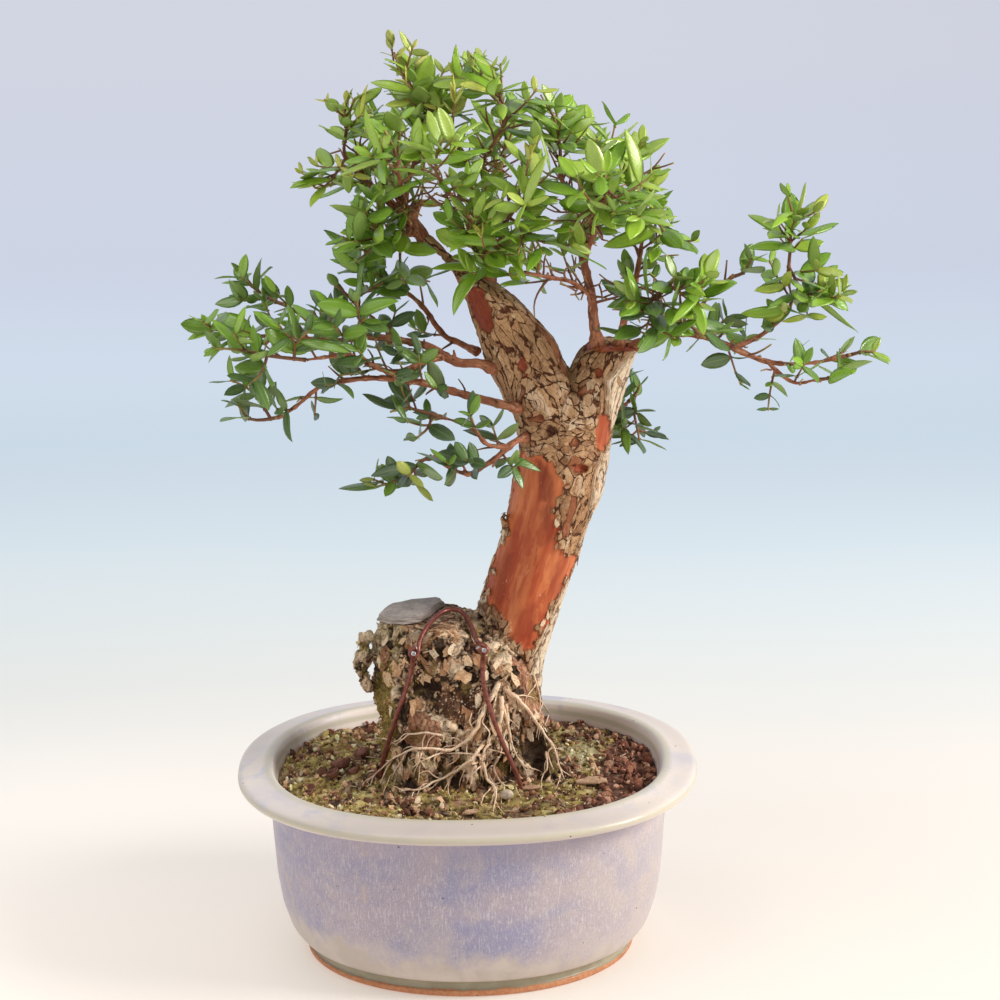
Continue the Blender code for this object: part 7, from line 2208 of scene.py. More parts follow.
def bark_flakes(lower, upper, mat):
    """Loose flakes of bark that stand off the stump and along the edges of the peeled wood."""
    state = np.random.RandomState(41)
    moved, normals = np.concatenate([lower["moved"], upper["moved"]]), np.concatenate([lower["n"], upper["n"]])
    uv, stump, peel = (np.concatenate([lower[k], upper[k]]) for k in ("uv", "stump", "peel"))
    own = np.arange(len(moved)) < len(lower["moved"])
    edge = (peel > 0.15) & (peel < 0.75)
    spots = []
    pool = np.where(own & (stump > 0.6) & (moved[:, 2] > 103) & (moved[:, 2] < 180) & (uv[:, 0] > 380) & (uv[:, 0] < 520))[0]
    spots += [(i, 1.0) for i in state.choice(pool, 190, replace=False)]
    pool = np.where(~own & edge & (uv[:, 1] < 645) & (uv[:, 1] > 430))[0]
    if len(pool) > 80:
        spots += [(i, 0.5) for i in state.choice(pool, 70, replace=False)]
    pool = np.where(~own & (stump < 0.2) & (peel < 0.1) & (uv[:, 1] < 560) & (uv[:, 1] > 280))[0]
    spots += [(i, 0.55) for i in state.choice(pool, 150, replace=False)]
    chosen = {}
    for u, v, long, share, turn, shade in FLAKES:
        d = np.hypot(lower["uv"][:, 0] - u, lower["uv"][:, 1] - v) + 50 * (lower["toward"] < 0.1)
        chosen[len(spots)] = (long, share, turn, shade)
        spots.append((int(d.argmin()), 1.0))
    points, faces, number, flat = [], [], [], []
    for order, (i, size) in enumerate(spots):
        n = Vector(normals[i])
        c = Vector(moved[i])
        up = (UP - n * n.z)
        if up.length < 0.1:
            up = Vector((1, 0, 0)).cross(n)
        up.normalize()
        across = up.cross(n)
        spin = state.normal(scale=0.35)
        up, across = up * math.cos(spin) + across * math.sin(spin), across * math.cos(spin) - up * math.sin(spin)
        long = size * (2.0 + 5.4 * state.random_sample() ** 1.8)
        wide = long * (0.35 + 0.35 * state.random_sample())
        if order in chosen:
            long, share, turn, _ = chosen[order]
            wide = long * share
            up, across = up * math.cos(turn) + across * math.sin(turn), across * math.cos(turn) - up * math.sin(turn)
        count = state.randint(8, 12)
        lift, bend = state.random_sample() ** 2 * 0.45, (state.random_sample() - 0.35) * 0.07
        rim = []
        for k in range(count):
            a = 2 * math.pi * k / count
            r = 0.50 + 0.70 * state.random_sample()
            rim.append((wide * r * math.cos(a), long * r * math.sin(a)))
        thick = 0.22 + 0.22 * state.random_sample()
        base = len(points)
        level_ = lambda x, y: -0.35 + lift * (long * 0.7 - y) * 0.5 + bend * x * x
        for top in (0.0, thick):
            for share in (1.0, 0.55):
                for x, y in rim:
                    x, y = x * share, y * share
                    h = level_(x, y) + top + (0.12 * (state.random_sample() - 0.5) if top else 0)
                    points.append(c + across * x + up * y + n * h)
        points.append(c + n * (level_(0, 0)))
        points.append(c + n * (level_(0, 0) + thick))
        m = count
        for k in range(m):
            j = (k + 1) % m
            faces.append((base + k, base + j, base + 2 * m + j, base + 2 * m + k))          # edge
            faces.append((base + k, base + m + k, base + m + j, base + j))                  # under
            faces.append((base + m + k, base + 4 * m, base + m + j))
            faces.append((base + 2 * m + k, base + 2 * m + j, base + 3 * m + j, base + 3 * m + k))
            faces.append((base + 3 * m + k, base + 3 * m + j, base + 4 * m + 1))
        shade = state.random_sample()
        if stump[i] > 0.5:
            shade = 0.25 + 0.75 * shade
        if order in chosen:
            shade = chosen[order][3]
        number += list(np.clip(shade + 0.16 * (state.random_sample(4 * m + 2) - 0.5), 0, 0.999))
        flat += [stump[i]] * (4 * m + 2)
    number, flat = np.array(number), np.array(flat)
    low = np.array([rgb(*c)[:3] for c in ((112, 74, 52), (164, 116, 82), (206, 160, 118), (234, 198, 156), (252, 228, 196))])
    tall = np.array([rgb(*c)[:3] for c in ((190, 150, 112), (208, 172, 134), (222, 190, 154), (198, 160, 122), (230, 204, 170))])
    k = np.clip((number * 5).astype(int), 0, 4)
    tint = np.where((flat > 0.5)[:, None], low[k], tall[k])
    co = np.array([tuple(p) for p in points])
    piece("loose_bark", co, faces, mat, False, colours={"tint": np.column_stack([tint, np.ones(len(tint))])}, slot="flaky_bark")


# ---------------------------------------------------------------- wires and roots
def smooth_line(points, rounds):
    """Points eased along their run; the ends stay."""
    p = np.array([tuple(q) for q in points])
    for _ in range(rounds):
        p[1:-1] = p[1:-1] * 0.5 + (p[:-2] + p[2:]) * 0.25
    return [Vector(q) for q in p]


def pale_bits(wood, mat):
    """Small white bits in the rotten hollow of the stump."""
    state = np.random.RandomState(61)
    pool = np.where((wood["rotten"] > 0.5) & (wood["toward"] > 0.1))[0]
    if len(pool) == 0:
        return
    pick = state.choice(pool, min(len(pool), 110), replace=False)
    tint = np.array([rgb(*c)[:3] for c in ((206, 178, 148), (176, 138, 104), (140, 102, 76), (228, 208, 182))])[state.randint(0, 4, len(pick))]
    grains("stump_bits", wood["moved"][pick] + wood["n"][pick] * 0.2, 0.35 + 0.45 * state.random_sample(len(pick)), tint, mat, state, "flaky_bark")


def fine_wires(mat, metal, trunk_tree, plain):
    """The same three wires as in the solids, turned finely, each with its cut ends bright."""
    face = [trunk_tree, plain]
    arch_mid = laid([(422, 634), (433, 619), (444, 610), (456, 607), (465, 613), (473, 630)], WIRE_R, face, 0.6, 12)
    nose = min(p.y for p in laid([(413, 654), (484, 650)], WIRE_R, face)) - 5.5
    arch_points = [*curl(413.5, 653.5, nose - 0.5, nose + 2.5, 6.8, -300, 60, 12), *arch_mid, *curl(484, 650, nose + 2.5, nose - 0.5, 6.8, 150, -200, 12)]
    path, verts, faces = free_tube(arch_points, (WIRE_R, WIRE_R), 6, [trunk_tree], 3.0)
    moved = path.p[0] - arch_points[0]
    made = [("arch_wire", path, "anchor_wire_arch")]
    stay_left = laid([(381, 766), (391, 733), (401, 703), (409, 680)], WIRE_R, face, 0.6, 60)
    stay_right = laid([(522, 785), (511, 761), (499, 736), (488, 703), (481, 678)], WIRE_R, face, 0.6, 60)
    runs = {
        "anchor_wire_left": [stay_left[0] + Vector((-0.5, 0, -7)), *stay_left, at(413.2, 664, nose + 8) + moved, at(413.5, 655.2, nose + 6.0) + moved, at(413.5, 653.8, nose - 4.5) + moved],
        "anchor_wire_right": [stay_right[0] + Vector((0.8, 0, -7)), *stay_right, at(482.5, 661, nose + 8) + moved, at(484, 651.8, nose + 6.0) + moved, at(484, 650.3, nose - 4.5) + moved],
    }
    other = [tree_of(CAD["anchor_wire_arch"])]
    for name, points in runs.items():
        path, verts, faces = free_tube(points, (WIRE_R, WIRE_R), 6, [trunk_tree, *other], 4.5)
        other.append(tree_of(CAD[name]))
        made.append((name.replace("anchor_wire", "stay_wire"), path, name))
    for name, path, node in made:
        n = 14
        line = smooth_line([path.at(path.length * k / 70) for k in range(71)], 12 if "arch" in name else 60)
        path = Path(line, 0.8)
        stations = [0.0, 0.12, 0.5]
        while stations[-1] < path.length - 1.3:
            stations.append(stations[-1] + 0.8)
        stations += [path.length - 0.5, path.length - 0.12, path.length]
        rings = []
        for k, s in enumerate(stations):
            rings.append(path.ring(s, WIRE_R * (1.0 if 0 < k < len(stations) - 1 else 0.86) * 1.10, n))
        points, faces = loft(rings)
        count = len(stations) - 1
        slots = [0] * (count * n) + [1] * (2 * n)
        for k in (0, count - 1):
            for i in range(n):
                slots[k * n + i] = 1
        co = np.array([tuple(p) for p in points])
        piece(name, co, faces, [mat, metal], True, slots, slot="brown_wire", replaces=[node])
    return nose


FINE_ROOTS = [  # thin roots over the stump's foot: sheet points, radii
    ([(449.5, 750), (432.9, 756), (419.6, 762.5), (412, 768)], 0.75, 0.4),
    ([(406, 752.5), (402, 760), (396, 769), (391, 780)], 0.65, 0.35),
    ([(478, 762), (467, 766), (459, 770), (452, 771)], 0.6, 0.35),
    ([(489, 744), (484, 751), (482.5, 761), (481, 771)], 0.75, 0.4),
    ([(499, 757), (494, 766), (496, 774), (501, 782), (506, 785.6), (514, 783)], 0.8, 0.4),
    ([(488, 772), (494, 784), (501, 786.5)], 0.55, 0.35),
    ([(499, 683), (492.6, 696), (486, 706), (483, 716)], 1.7, 1.2),
    ([(501.7, 697), (501.7, 713), (500, 724)], 1.4, 1.0),
    ([(505.8, 704), (508, 721), (504, 736), (503, 747)], 0.9, 0.5),
    ([(545.6, 752), (547, 762), (546.5, 771), (540, 775)], 0.7, 0.4),
    ([(486, 712), (482, 722), (490, 733), (487, 744)], 0.6, 0.35),
    ([(471, 786), (472, 771), (477.6, 761)], 0.45, 0.3),
    ([(534, 675), (537, 688), (541, 700), (549.8, 713)], 0.65, 0.45),
    ([(446, 766), (456, 761), (461, 752)], 0.5, 0.3),
    ([(423, 653), (429, 651), (435, 650)], 0.45, 0.3),
    ([(418, 752), (419.6, 759), (426, 769)], 0.4, 0.28),
    ([(506, 754), (497, 751), (489, 749)], 0.5, 0.35),
    ([(481, 756), (468, 754), (456, 753), (443, 754)], 0.55, 0.35),
    ([(553, 747), (548, 752), (550, 762), (554, 770)], 0.6, 0.35),
    ([(528, 712), (534, 716), (538, 726), (536, 738)], 0.6, 0.35),
    ([(381, 768), (374, 776), (370, 786)], 0.6, 0.35),
    ([(394, 757), (386, 770), (380, 784)], 0.5, 0.3),
    ([(440, 779), (434, 786), (424, 792)], 0.5, 0.3),
    ([(457, 770), (450, 780), (444, 790)], 0.45, 0.28),
    ([(492, 787), (484, 796), (480, 806)], 0.5, 0.3),
    ([(466, 744), (456, 738), (446, 738)], 0.5, 0.3),
    ([(557, 764), (563, 771), (572, 776)], 0.5, 0.3),
    ([(476, 733), (470, 722), (472, 710)], 0.5, 0.3),
]


def root_skin(path, r0, r1, seed, sides, bend):
    """A root: thick where it starts, soon thin, uneven, drawn out to its tip."""
    def radius(s):
        t = min(1.0, s / path.length)
        r = r1 + (r0 - r1) * (1 - t) ** 1.5
        r *= 1 + 0.26 * noise.noise(Vector((s * 0.33, seed * 3.7, 1))) + 0.10 * noise.noise(Vector((s * 1.1, seed * 3.7, 5)))
        return r * (1 - 0.55 * max(0.0, (t - 0.8) / 0.2)) * (1 - 0.25 * max(0.0, (0.05 - t) / 0.05))
    return wood_tube(path, radius, sides, 0, path.length, bend)


def fine_roots(mat, trees):
    """The main roots follow their solids' lines on the fine bark; thin ones fork off them."""
    state = random.Random(5)
    mains = {}
    for k, (name, (points, r0, r1)) in enumerate(ROOTS.items()):
        line = laid(points, r0, trees, 0.1, 3)
        line = [p + Vector((state.uniform(-0.5, 0.5), state.uniform(-0.3, 0.3), state.uniform(-0.5, 0.5))) for p in line]
        line[0] = line[0] + EYE_FORWARD * 3.0
        path = Path(line, 1.2)
        mains[name] = (points, path)
        piece(name + "_fine", *root_skin(path, r0 * 0.66, r1 * 0.48, k, 10, 1.4), mat, True, slot="pale_root", replaces=[name])
    parts = []
    for k, (points, r0, r1) in enumerate(FINE_ROOTS):
        line = [(u + state.uniform(-0.5, 0.5), v + state.uniform(-0.5, 0.5)) for u, v in points]
        path = Path(laid(line, r0, trees, 0.15, 3), 1.2)
        parts.append(root_skin(path, r0, r1 * 0.8, 20 + k, 7, 1.5))
    # side roots in turn along each root, drifting downwards over the wood and the soil
    sources = [points for points, _ in mains.values()] + [points for points, r0, _ in FINE_ROOTS if r0 > 0.6]
    for k, points in enumerate(sources):
        total = sum(math.hypot(b[0] - a[0], b[1] - a[1]) for a, b in zip(points, points[1:]))
        here = state.uniform(7, 13)
        while here < total:
            left = here
            for a, b in zip(points, points[1:]):
                long = math.hypot(b[0] - a[0], b[1] - a[1])
                if left <= long:
                    break
                left -= long
            u, v = a[0] + (b[0] - a[0]) * left / long, a[1] + (b[1] - a[1]) * left / long
            angle = math.atan2(b[1] - a[1], b[0] - a[0]) + state.choice((-1, 1)) * state.uniform(0.4, 1.0)
            line, reach = [(u, v)], state.uniform(9, 30)
            while reach > 0 and v < 812:
                angle += state.uniform(-0.45, 0.45)
                angle += 0.28 * math.sin(math.pi / 2 - angle)
                stride = state.uniform(3.5, 5.5)
                u, v = u + stride * math.cos(angle), v + stride * math.sin(angle)
                line.append((u, v))
                reach -= stride
            if len(line) > 2:
                r0 = state.uniform(0.30, 0.55)
                path = Path(laid(line, r0, trees, 0.1, 2), 1.2)
                parts.append(root_skin(path, r0, 0.22, 60 + k + here, 6, 1.6))
            here += state.uniform(8, 15)
    piece("root_threads", *joined(parts), mat, True, slot="pale_root")


# ---------------------------------------------------------------- small things
def fine_slate(mat, top):
    """The flake of slate, split in two thin leaves with broken edges."""
    outline = [(377, 621), (380, 617.5), (383, 614), (387, 611.5), (391, 609), (401, 607), (412, 605), (425, 603.5), (438, 602), (442, 604), (445, 606), (441, 608), (437, 611), (433, 614), (430, 617), (425, 620), (420, 623), (412, 624), (403, 625), (395, 624.5), (388, 624), (382, 622.5)]
    low = [level(u, v, top) for u, v in outline]
    centre = sum(low, Vector()) / len(low)
    state = random.Random(3)
    rings = []
    for share, rise in ((0.97, 0.0), (1.0, 0.3), (0.995, 1.3), (0.965, 1.5), (0.975, 2.4), (0.94, 2.7), (0.93, 3.5), (0.90, 3.7)):
        ring = []
        for i, p in enumerate(low):
            k = share * (1 + 0.014 * math.sin(i * 2.9 + rise * 2) + state.uniform(-0.008, 0.008))
            ring.append(centre + (p - centre) * k + UP * (rise + 0.22 * math.sin(i * 2.3) * rise / 4))
        rings.append(ring)
    inner = []
    for share in (0.7, 0.4, 0.15):
        rings.append([centre + (p - centre) * share + UP * (3.8 + 0.7 * noise.noise(p * 0.13 + Vector((share * 4, 0, 0)))) for p in low])
    return piece("slate_flake", *loft(rings), mat, False, slot="grey_slate", replaces=["slate"])


def rough_stone(name, centre, size, mat, seed, replaces=(), slot="pale_stone", parts=3):
    bm = bmesh.new()
    bmesh.ops.create_icosphere(bm, subdivisions=parts, radius=1.0)
    points = [Vector((v.co.x * size[0], v.co.y * size[1], v.co.z * size[2])) * (1 + 0.18 * noise.noise(v.co * 1.3 + Vector((seed, 0, 0))) + 0.05 * noise.noise(v.co * 4 + Vector((seed, 3, 0)))) + centre for v in bm.verts]
    faces = [tuple(v.index for v in f.verts) for f in bm.faces]
    bm.free()
    return piece(name, points, faces, mat, True, slot=slot, replaces=replaces)


def chip(name, centre, size, turn, mat, seed, replaces=(), tilt=0.06):
    """A chip of bark: a thin ragged sheet, a little curled."""
    state = random.Random(seed)
    n, rings = 18, []
    shape = [state.uniform(0.78, 1.08) for _ in range(n)]
    spin = Matrix.Rotation(turn, 3, "Z") @ Matrix.Rotation(tilt, 3, "X")
    for share, h in ((0.5, 0.0), (1.0, 0.1), (1.0, 0.85), (0.9, 1.0), (0.5, 1.0), (0.15, 1.0)):
        ring = []
        for i in range(n):
            a = 2 * math.pi * i / n
            x, y = size[0] * shape[i] * share * math.cos(a), size[1] * shape[i] * share * math.sin(a)
            z = h * size[2] + 0.05 * y * y + 0.18 * noise.noise(Vector((x, y, seed)) * 0.6)
            ring.append(centre + spin @ Vector((x, y, z)))
        rings.append(ring)
    return piece(name, *loft(rings), mat, True, slot="bark_chip", replaces=replaces)


def cup(name, centre, r, turn, tilt, mat, replaces=(), seed=0):
    """A dry husk: a thin bowl with an uneven lip."""
    profile = [(0.05, 0.0), (0.30, 0.01), (0.56, 0.08), (0.78, 0.24), (0.93, 0.5), (1.0, 0.8), (0.99, 1.05), (0.92, 1.06), (0.90, 0.82), (0.84, 0.55), (0.70, 0.33), (0.48, 0.18), (0.25, 0.12), (0.04, 0.10)]
    spin = Matrix.Rotation(turn, 3, "Z") @ Matrix.Rotation(tilt, 3, "X")
    n, rings = 22, []
    for p, h in profile:
        ring = []
        for i in range(n):
            a = 2 * math.pi * i / n
            k = 1 + 0.10 * noise.noise(Vector((math.cos(a) * 1.4, math.sin(a) * 1.4, seed))) + (0.10 * noise.noise(Vector((math.cos(a) * 3, math.sin(a) * 3, seed + 5))) if h > 0.7 else 0)
            ring.append(centre + spin @ Vector((p * r * k * math.cos(a), p * r * k * math.sin(a), h * r * (1 + (0.12 * noise.noise(Vector((math.cos(a) * 2, math.sin(a) * 2, seed + 9))) if h > 0.7 else 0)))))
        rings.append(ring)
    return piece(name, *loft(rings), mat, True, slot="dry_husk", replaces=replaces)


def node_middle(node):
    lo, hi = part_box(node)
    c = ((np.array(lo) + np.array(hi)) / 2 - AXIS) * 1000
    return Vector(c), Vector((np.array(hi) - np.array(lo)) * 1000)


def on_soil(u, v, lift=0.0):
    p = level(u, v, SOIL_TOP + 1)
    return Vector((p.x, p.y, soil_height(p.x, p.y) + lift))


# ---------------------------------------------------------------- stage
def set_stage():
    """A pale floor that sweeps up to a pale wall, lit softly, brighter from the tree's right."""
    s = Shade("stage", 0.9)
    s.b.inputs["Specular IOR Level"].default_value = 0.1
    coords = s.t.nodes.new("ShaderNodeTexCoord").outputs["Object"]
    x, y, z = s.xyz(coords)
    away = s.math("ADD", y, z)
    cloud = s.range(s.noise(coords, 1.2, 1.0, 0.5), 0.3, 0.7, -0.03, 0.03)
    away = s.math("ADD", away, cloud)
    colour = s.ramp(s.range(away, 0.0, 3.0, 0.0, 1.0, False), [
        (0.0, rgb(252, 243, 233)), (0.08, rgb(249, 243, 236)), (0.16, rgb(234, 239, 238)), (0.24, rgb(219, 232, 240)), (0.33, rgb(210, 225, 239)), (0.50, rgb(204, 212, 229)), (0.85, rgb(209, 212, 225))])
    s.put(s.b.inputs["Emission Color"], colour)
    # a little more on the floor to the tree's left, which the key light reaches least
    far = s.range(away, 0.35, 1.25)
    near = s.math("ADD", 0.39, s.math("MULTIPLY", s.range(x, 0.0, -0.45, 0.0, 0.22), s.range(away, 0.45, 0.05)))
    s.put(s.b.inputs["Emission Strength"], s.math("ADD", s.math("MULTIPLY", near, s.range(far, 0.0, 1.0, 1.0, 0.0)), s.math("MULTIPLY", far, s.range(x, 0.0, 0.8, 0.99, 0.955))))
    dim = s.mix(1.0, colour, (0.62, 0.62, 0.62, 1), "MULTIPLY")
    # far from the lamps the stage glows evenly instead
    s.out(s.mix(far, dim, (0.0, 0.0, 0.0, 1)))
    # the floor runs on well past any place to look from, and only then sweeps up
    width, rows = 9.0, []
    for k in range(9):
        rows.append((-9.0 + 12.6 * k / 8, 0.0))
    for k in range(1, 17):
        a = math.pi / 2 * k / 16
        rows.append((3.6 + 1.0 * math.sin(a), 1.0 * (1 - math.cos(a))))
    rows += [(4.6, 2.0), (4.6, 6.0)]
    verts = [(x, y_, z_) for y_, z_ in rows for x in (-width, width)]
    faces = [(2 * k, 2 * k + 1, 2 * k + 3, 2 * k + 2) for k in range(len(rows) - 1)]
    mesh = bpy.data.meshes.new("backdrop")
    mesh.from_pydata(verts, [], faces)
    for p in mesh.polygons:
        p.use_smooth = True
    mesh.materials.append(s.m)
    obj = bpy.data.objects.new("backdrop", mesh)
    scene.collection.objects.link(obj)
    obj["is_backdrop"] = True

    world = bpy.data.worlds.new("soft")
    scene.world = world
    world.use_nodes = True
    back = world.node_tree.nodes["Background"]
    back.inputs["Color"].default_value = (0.95, 0.965, 1.0, 1)
    back.inputs["Strength"].default_value = 0.25

    def lamp(name, place, aim, size, power, colour):
        data = bpy.data.lights.new(name, "AREA")
        data.shape, data.size, data.energy, data.color = "SQUARE", size, power, colour
        obj_ = bpy.data.objects.new(name, data)
        scene.collection.objects.link(obj_)
        obj_.location = place
        obj_.rotation_euler = (Vector(aim) - Vector(place)).to_track_quat("-Z", "Y").to_euler()

    lamp("key", (1.7, -0.45, 1.15), (0.0, 0.0, 0.2), 0.8, 41, (1.0, 0.965, 0.92))
    lamp("top", (-0.6, -0.35, 1.8), (-0.1, 0.0, 0.1), 1.2, 11, (1.0, 0.985, 0.96))
    lamp("left", (-1.6, -1.5, 0.9), (0.0, 0.0, 0.25), 1.4, 8, (0.98, 0.98, 1.0))


def set_camera():
    data = bpy.data.cameras.new("camera")
    data.lens, data.sensor_width, data.sensor_height = 144.0, 36.0, 36.0
    data.sensor_fit = "HORIZONTAL"
    data.clip_start, data.clip_end = 0.05, 30.0
    obj = bpy.data.objects.new("camera", data)
    scene.collection.objects.link(obj)
    turn = Matrix((EYE_RIGHT, EYE_UP, -EYE_FORWARD)).transposed()
    obj.matrix_world = Matrix.Translation(EYE * 0.001 + Vector(AXIS)) @ turn.to_4x4()
    scene.camera = obj
    scene.view_settings.view_transform = "Standard"
    scene.view_settings.look = "None"
    scene.view_settings.exposure = 0.0
    scene.render.film_transparent = False


# ---------------------------------------------------------------- the whole
BUDS = [  # young upright tips: sheet foot and tip, depth
    ((394, 64), (391, 44), -8), ((474, 82), (472, 62), -8), ((345, 112), (347, 100), -6), ((452, 118), (456, 98), -30),
    ((526, 176), (529, 154), -64), ((484, 248), (481, 234), -62), ((378, 150), (372, 138), -34),
]


def main():
    began = time.perf_counter()

    def say(what):
        print(f"{time.perf_counter() - began:6.1f} s  {what}")

    set_camera()
    set_stage()
    glaze, bark = glaze_material(), bark_material()
    blade = leaf_materials()
    twig, limb = twig_material(), branch_material()
    earth, green = ground_material("soil_mix", 0.5), ground_material("moss_green", 0.3)
    root_mat = plain_wood("root_pale", rgb(252, 228, 198), rgb(230, 194, 160), rgb(162, 118, 86), 1.2, 0.8, (1, 1, 1), 0.4)
    wire, metal = wire_material(), Shade("cut_metal", 0.3, Metallic=0.9).out(rgb(206, 200, 204))
    stone = plain_wood("pebble_stone", rgb(214, 198, 176), rgb(188, 168, 144), rgb(150, 130, 108), 0.8, 0.7)
    chip_mat = plain_wood("chip_wood", rgb(200, 168, 136), rgb(172, 134, 104), rgb(124, 92, 70), 1.1, 0.85, (1, 1, 1), 0.5)
    husk_mat = plain_wood("husk_brown", rgb(150, 102, 84), rgb(120, 76, 62), rgb(84, 52, 44), 0.8, 0.7)
    slate = slate_material()

    trunk_tree = tree_of(CAD["trunk"])
    plain = soil_plain()
    fine_pot(glaze)
    for node in ("drain_screen_left", "drain_screen_right"):
        CAD[node].data.materials.clear()
        CAD[node].data.materials.append(plain_wood("mesh_" + node[13:], (0.02, 0.02, 0.02, 1), (0.035, 0.035, 0.035, 1), (0.012, 0.012, 0.012, 1), 1.0, 0.55))
    say("pot")
    lower = fine_wood("old_stump", True, bark, trunk_tree, 1.1)
    upper = fine_wood("old_trunk", False, bark, trunk_tree, 0.93)
    stump_fine, trunk_fine = (BVHTree.FromPolygons(w["moved"].tolist(), w["quads"].tolist()) for w in (lower, upper))
    say(f"trunk {len(lower['quads'])} {len(upper['quads'])} quads")
    fine_soil(earth)
    soil_cover(stump_fine, earth, green)
    stump_moss(lower, green)
    bark_flakes(lower, upper, ground_material("bark_flake", 0.3))
    pale_bits(lower, earth)
    say("soil and moss")
    fine_wires(wire, metal, trunk_tree, plain)
    fine_roots(root_mat, [stump_fine, trunk_fine, plain])
    top = max(p.z for p in wood_ring(*STUMP[-1], 20))
    fine_slate(slate, top + GAP)
    c, size = node_middle("pebble")
    rough_stone("soil_pebble", c, (size.x / 2, size.y / 2, size.z / 2), stone, 2.0, ["pebble"])
    c, size = node_middle("bark_chip")
    chip("chip_right", c - UP * (size.z / 2 - 0.2), (8.5, 4.0, 1.4), 0.1, chip_mat, 5, ["bark_chip"])
    chip("chip_front", on_soil(531, 793, 0.5), (5.2, 2.6, 1.2), 0.2, chip_mat, 8)
    chip("chip_low", on_soil(472, 814, 0.6), (6.0, 2.4, 1.2), 0.5, chip_mat, 9)
    chip("chip_left", on_soil(413, 795, 0.5), (5.0, 1.8, 1.2), -0.1, chip_mat, 10)
    c, size = node_middle("husk")
    cup("husk_left", c - UP * size.z * 0.42, 5.2, 0.6, -0.5, husk_mat, ["husk"], 1)
    for k, (u, v, r, turn, tilt) in enumerate([(363, 762, 4.4, 0.2, -0.9), (335, 778, 3.6, 1.5, -0.4), (391, 770, 4.2, 2.4, -0.7), (356, 776, 3.4, 4.0, 0.5), (310, 790, 3.2, 3.0, -0.3), (378, 778, 3.0, 1.0, 0.7)]):
        cup(f"husk_{k}", on_soil(u, v, 0.2), r, turn, tilt, husk_mat, (), k + 3)
    say("wires, roots and small things")

    space = Space()
    for node in CAD:
        if not node.startswith(("shoots_", "branch_")):
            points, tris = triangles(CAD[node])
            space.big.append((*space.box(points), BVHTree.FromPolygons(points, tris, all_triangles=True)))
    branches = {}
    for k, (name, spec) in enumerate(BRANCHES.items()):
        stem = branch_stem(spec)
        stem.s0 = first_free(stem, trunk_tree, 0.0)
        branches[name] = stem
        points, tris = triangles(CAD[name])
        space.big.append((*space.box(points), BVHTree.FromPolygons(points, tris, all_triangles=True)))
    for k, (name, stem) in enumerate(branches.items()):
        fine_branch(name, stem, 500 + k, limb, 0.35)
    say("branches")
    carriers = grow_foliage(space, branches)
    say("foliage grown")
    # carrying twigs start in the wood that bears them
    feet = {}
    for name, stem in carriers.items():
        spec = SHOOTS[name]
        parent = branches[spec[0]] if spec[1] < 0 else branches[spec[0]].kids[spec[1]][1]
        root = parent.path.at(parent.path.length * spec[2])
        if (root - stem.path.p[0]).length > 0.4:
            foot = Stem(Path([root, root.lerp(stem.path.p[0], 0.5), stem.path.p[0], stem.path.at(1.2)], 0.6), 1.15, 1.02, 3)
            feet[name] = [foot]
    extras = {}
    for k, name in enumerate(carriers):
        rng = random.Random(4000 + 11 * k)
        spec = SHOOTS[name]
        found = []
        for stem in stems_of(carriers[name]):
            if stem.path.length > 8:
                share = 0.45 if "crown_front" in name else 0.9 if "crown" in name else 0.25 if "left" in name else 0.45
                thicken(space, stem, spec, rng, found, share if stem.level < 2 else 0.2)
        extras[name] = found
    for k, name in enumerate(carriers):
        rng = random.Random(5000 + 11 * k)
        for twig_ in extras[name]:
            if not in_brown(twig_, rng, 0.25):
                dress(space, twig_, SHOOTS[name], rng, SHOOTS[name][6] * 1.0)
    # shoots straight from the branches
    sprouts = []
    for k, (name, stem) in enumerate(branches.items()):
        rng = random.Random(6000 + 11 * k)
        spec = ("", 0, 0, [], 22, 1.0, 15, 0.15)
        found = []
        for part in stems_of(stem):
            if part.level > 0:
                continue
            s = part.s0 + (0.30 * part.path.length if part is stem else 4.0)
            while s < part.path.length - 2:
                for attempt in range(6):
                    d = part.path.dir(s)
                    side = side_axis(d, rng.uniform(0, 6.28))
                    out = (part.path.at(s) - CROWN_HEART).normalized()
                    aim = (side + d * 0.5 + UP * 0.35 + out * 0.2).normalized()
                    long = rng.uniform(11, 25)
                    twig_ = Stem(grown_path(part.path.at(s), aim, long, rng), 0.62, 0.42, 3, 1.6, 1)
                    item = space.free(*twig_.tester(part.radius(s) + 1.3, 0.1))
                    if item:
                        space.take(item)
                        found.append(twig_)
                        break
                s += rng.uniform(7, 12) if "leader_right" in name or "crown_right" in name else rng.uniform(12, 20)
        for twig_ in found:
            if rng.random() < 0.8 and not in_brown(twig_, rng, 0.3):
                dress(space, twig_, spec, rng, 15.5)
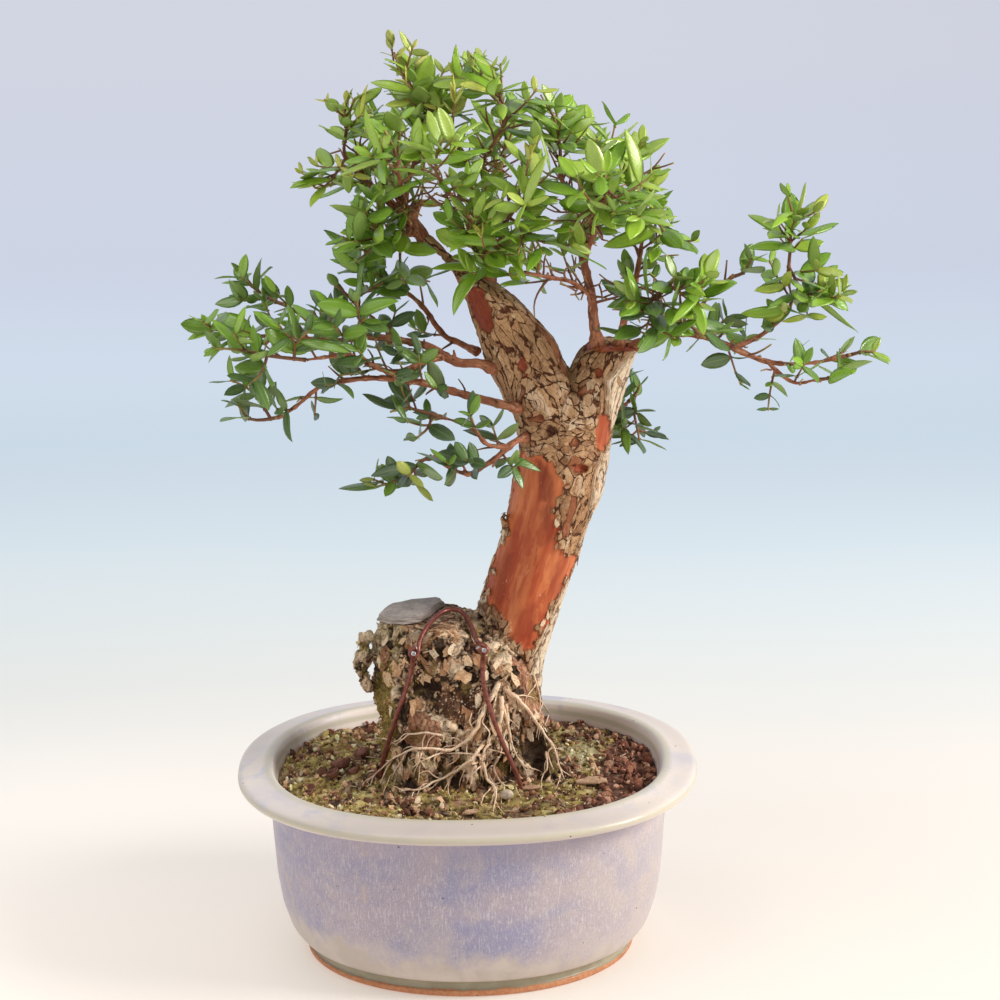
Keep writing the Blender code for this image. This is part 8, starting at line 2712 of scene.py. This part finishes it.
        # dead and cut twigs, thick at their ends, that carry nothing
        dead = []
        for part in stems_of(stem):
            if part.level > 0:
                continue
            s = part.s0 + (0.22 * part.path.length if part is stem else 3.0)
            inner = "leader" in name or "crown" in name
            while s < part.path.length:
                for attempt in range(4):
                    d = part.path.dir(s)
                    side = side_axis(d, rng.uniform(0, 6.28))
                    aim = (side + d * rng.uniform(0.2, 1.4) + UP * (0.25 if inner else 0.0))
                    aim.z *= 1.0 if inner else 0.35
                    aim.normalize()
                    long = rng.uniform(8, 28) if inner else rng.uniform(3.0, 9.0)
                    twig_ = Stem(grown_path(part.path.at(s), aim, long, rng, 0.05, 0.55), rng.uniform(0.55, 0.85), 0.34, 3, 1.6, 0)
                    item = space.free(*twig_.tester(part.radius(s) + 1.0, 0.05))
                    if item:
                        space.take(item)
                        dead.append(twig_)
                        if long > 11 and rng.random() < 0.9:
                            at_ = twig_.path.length * rng.uniform(0.4, 0.7)
                            way = (side_axis(twig_.path.dir(at_), rng.uniform(0, 6.28)) + twig_.path.dir(at_) * 0.8).normalized()
                            dead.append(Stem(grown_path(twig_.path.at(at_), way, long * 0.4, rng, 0.05, 0.16), 0.5, 0.4, 3, 1.2, 0))
                        break
                s += rng.uniform(14, 26) if not inner else rng.uniform(3.0, 6.0) if "right" in name else rng.uniform(1.8, 3.8)
        sprouts.append((name, [*found, *dead]))
    say("extra shoots")
    count = 0
    for k, (name, stem) in enumerate(carriers.items()):
        stems = [*stems_of(stem), *feet.get(name, []), *extras[name]]
        size = 0.94 if "front" in name else 1.14
        _, n = foliage_piece(name.replace("shoots_", "leaves_"), stems, blade, twig, 7000 + k, [name], size=size)
        count += n
    for k, (name, found) in enumerate(sprouts):
        if found:
            _, n = foliage_piece(name.replace("branch_", "sprouts_"), found, blade, twig, 7500 + k)
            count += n
    # young tips
    rng = random.Random(77)
    buds = []
    for (u0, v0), (u1, v1), depth in BUDS:
        a, b = at(u0, v0, depth), at(u1, v1, depth)
        stem = Stem(Path([a, a.lerp(b, 0.5), b]), 0.5, 0.35, 3)
        for s in (stem.path.length * 0.72, stem.path.length - 0.4):
            turn = rng.uniform(0, 3)
            for sign in (1, -1):
                side = side_axis(stem.path.dir(s), turn) * sign
                axis = (side * rng.uniform(0.25, 0.5) + stem.path.dir(s)).normalized()
                face = -side
                face = (face - axis * face.dot(axis)).normalized()
                long = rng.uniform(6.5, 10.5)
                stem.kids.append((s, Leaf(stem.path.at(s), axis, face, long, long * 0.26, 1.0)))
        buds.append(stem)
    _, n = foliage_piece("young_tips", buds, blade, twig, 7900)
    count += n
    say(f"{count} leaves")
    total = 0
    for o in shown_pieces():
        o.data.calc_loop_triangles()
        n = len(o.data.loop_triangles)
        total += n
        if n > 15000:
            print(o.name, n)
    print("triangles", total)
    say("done")


main()
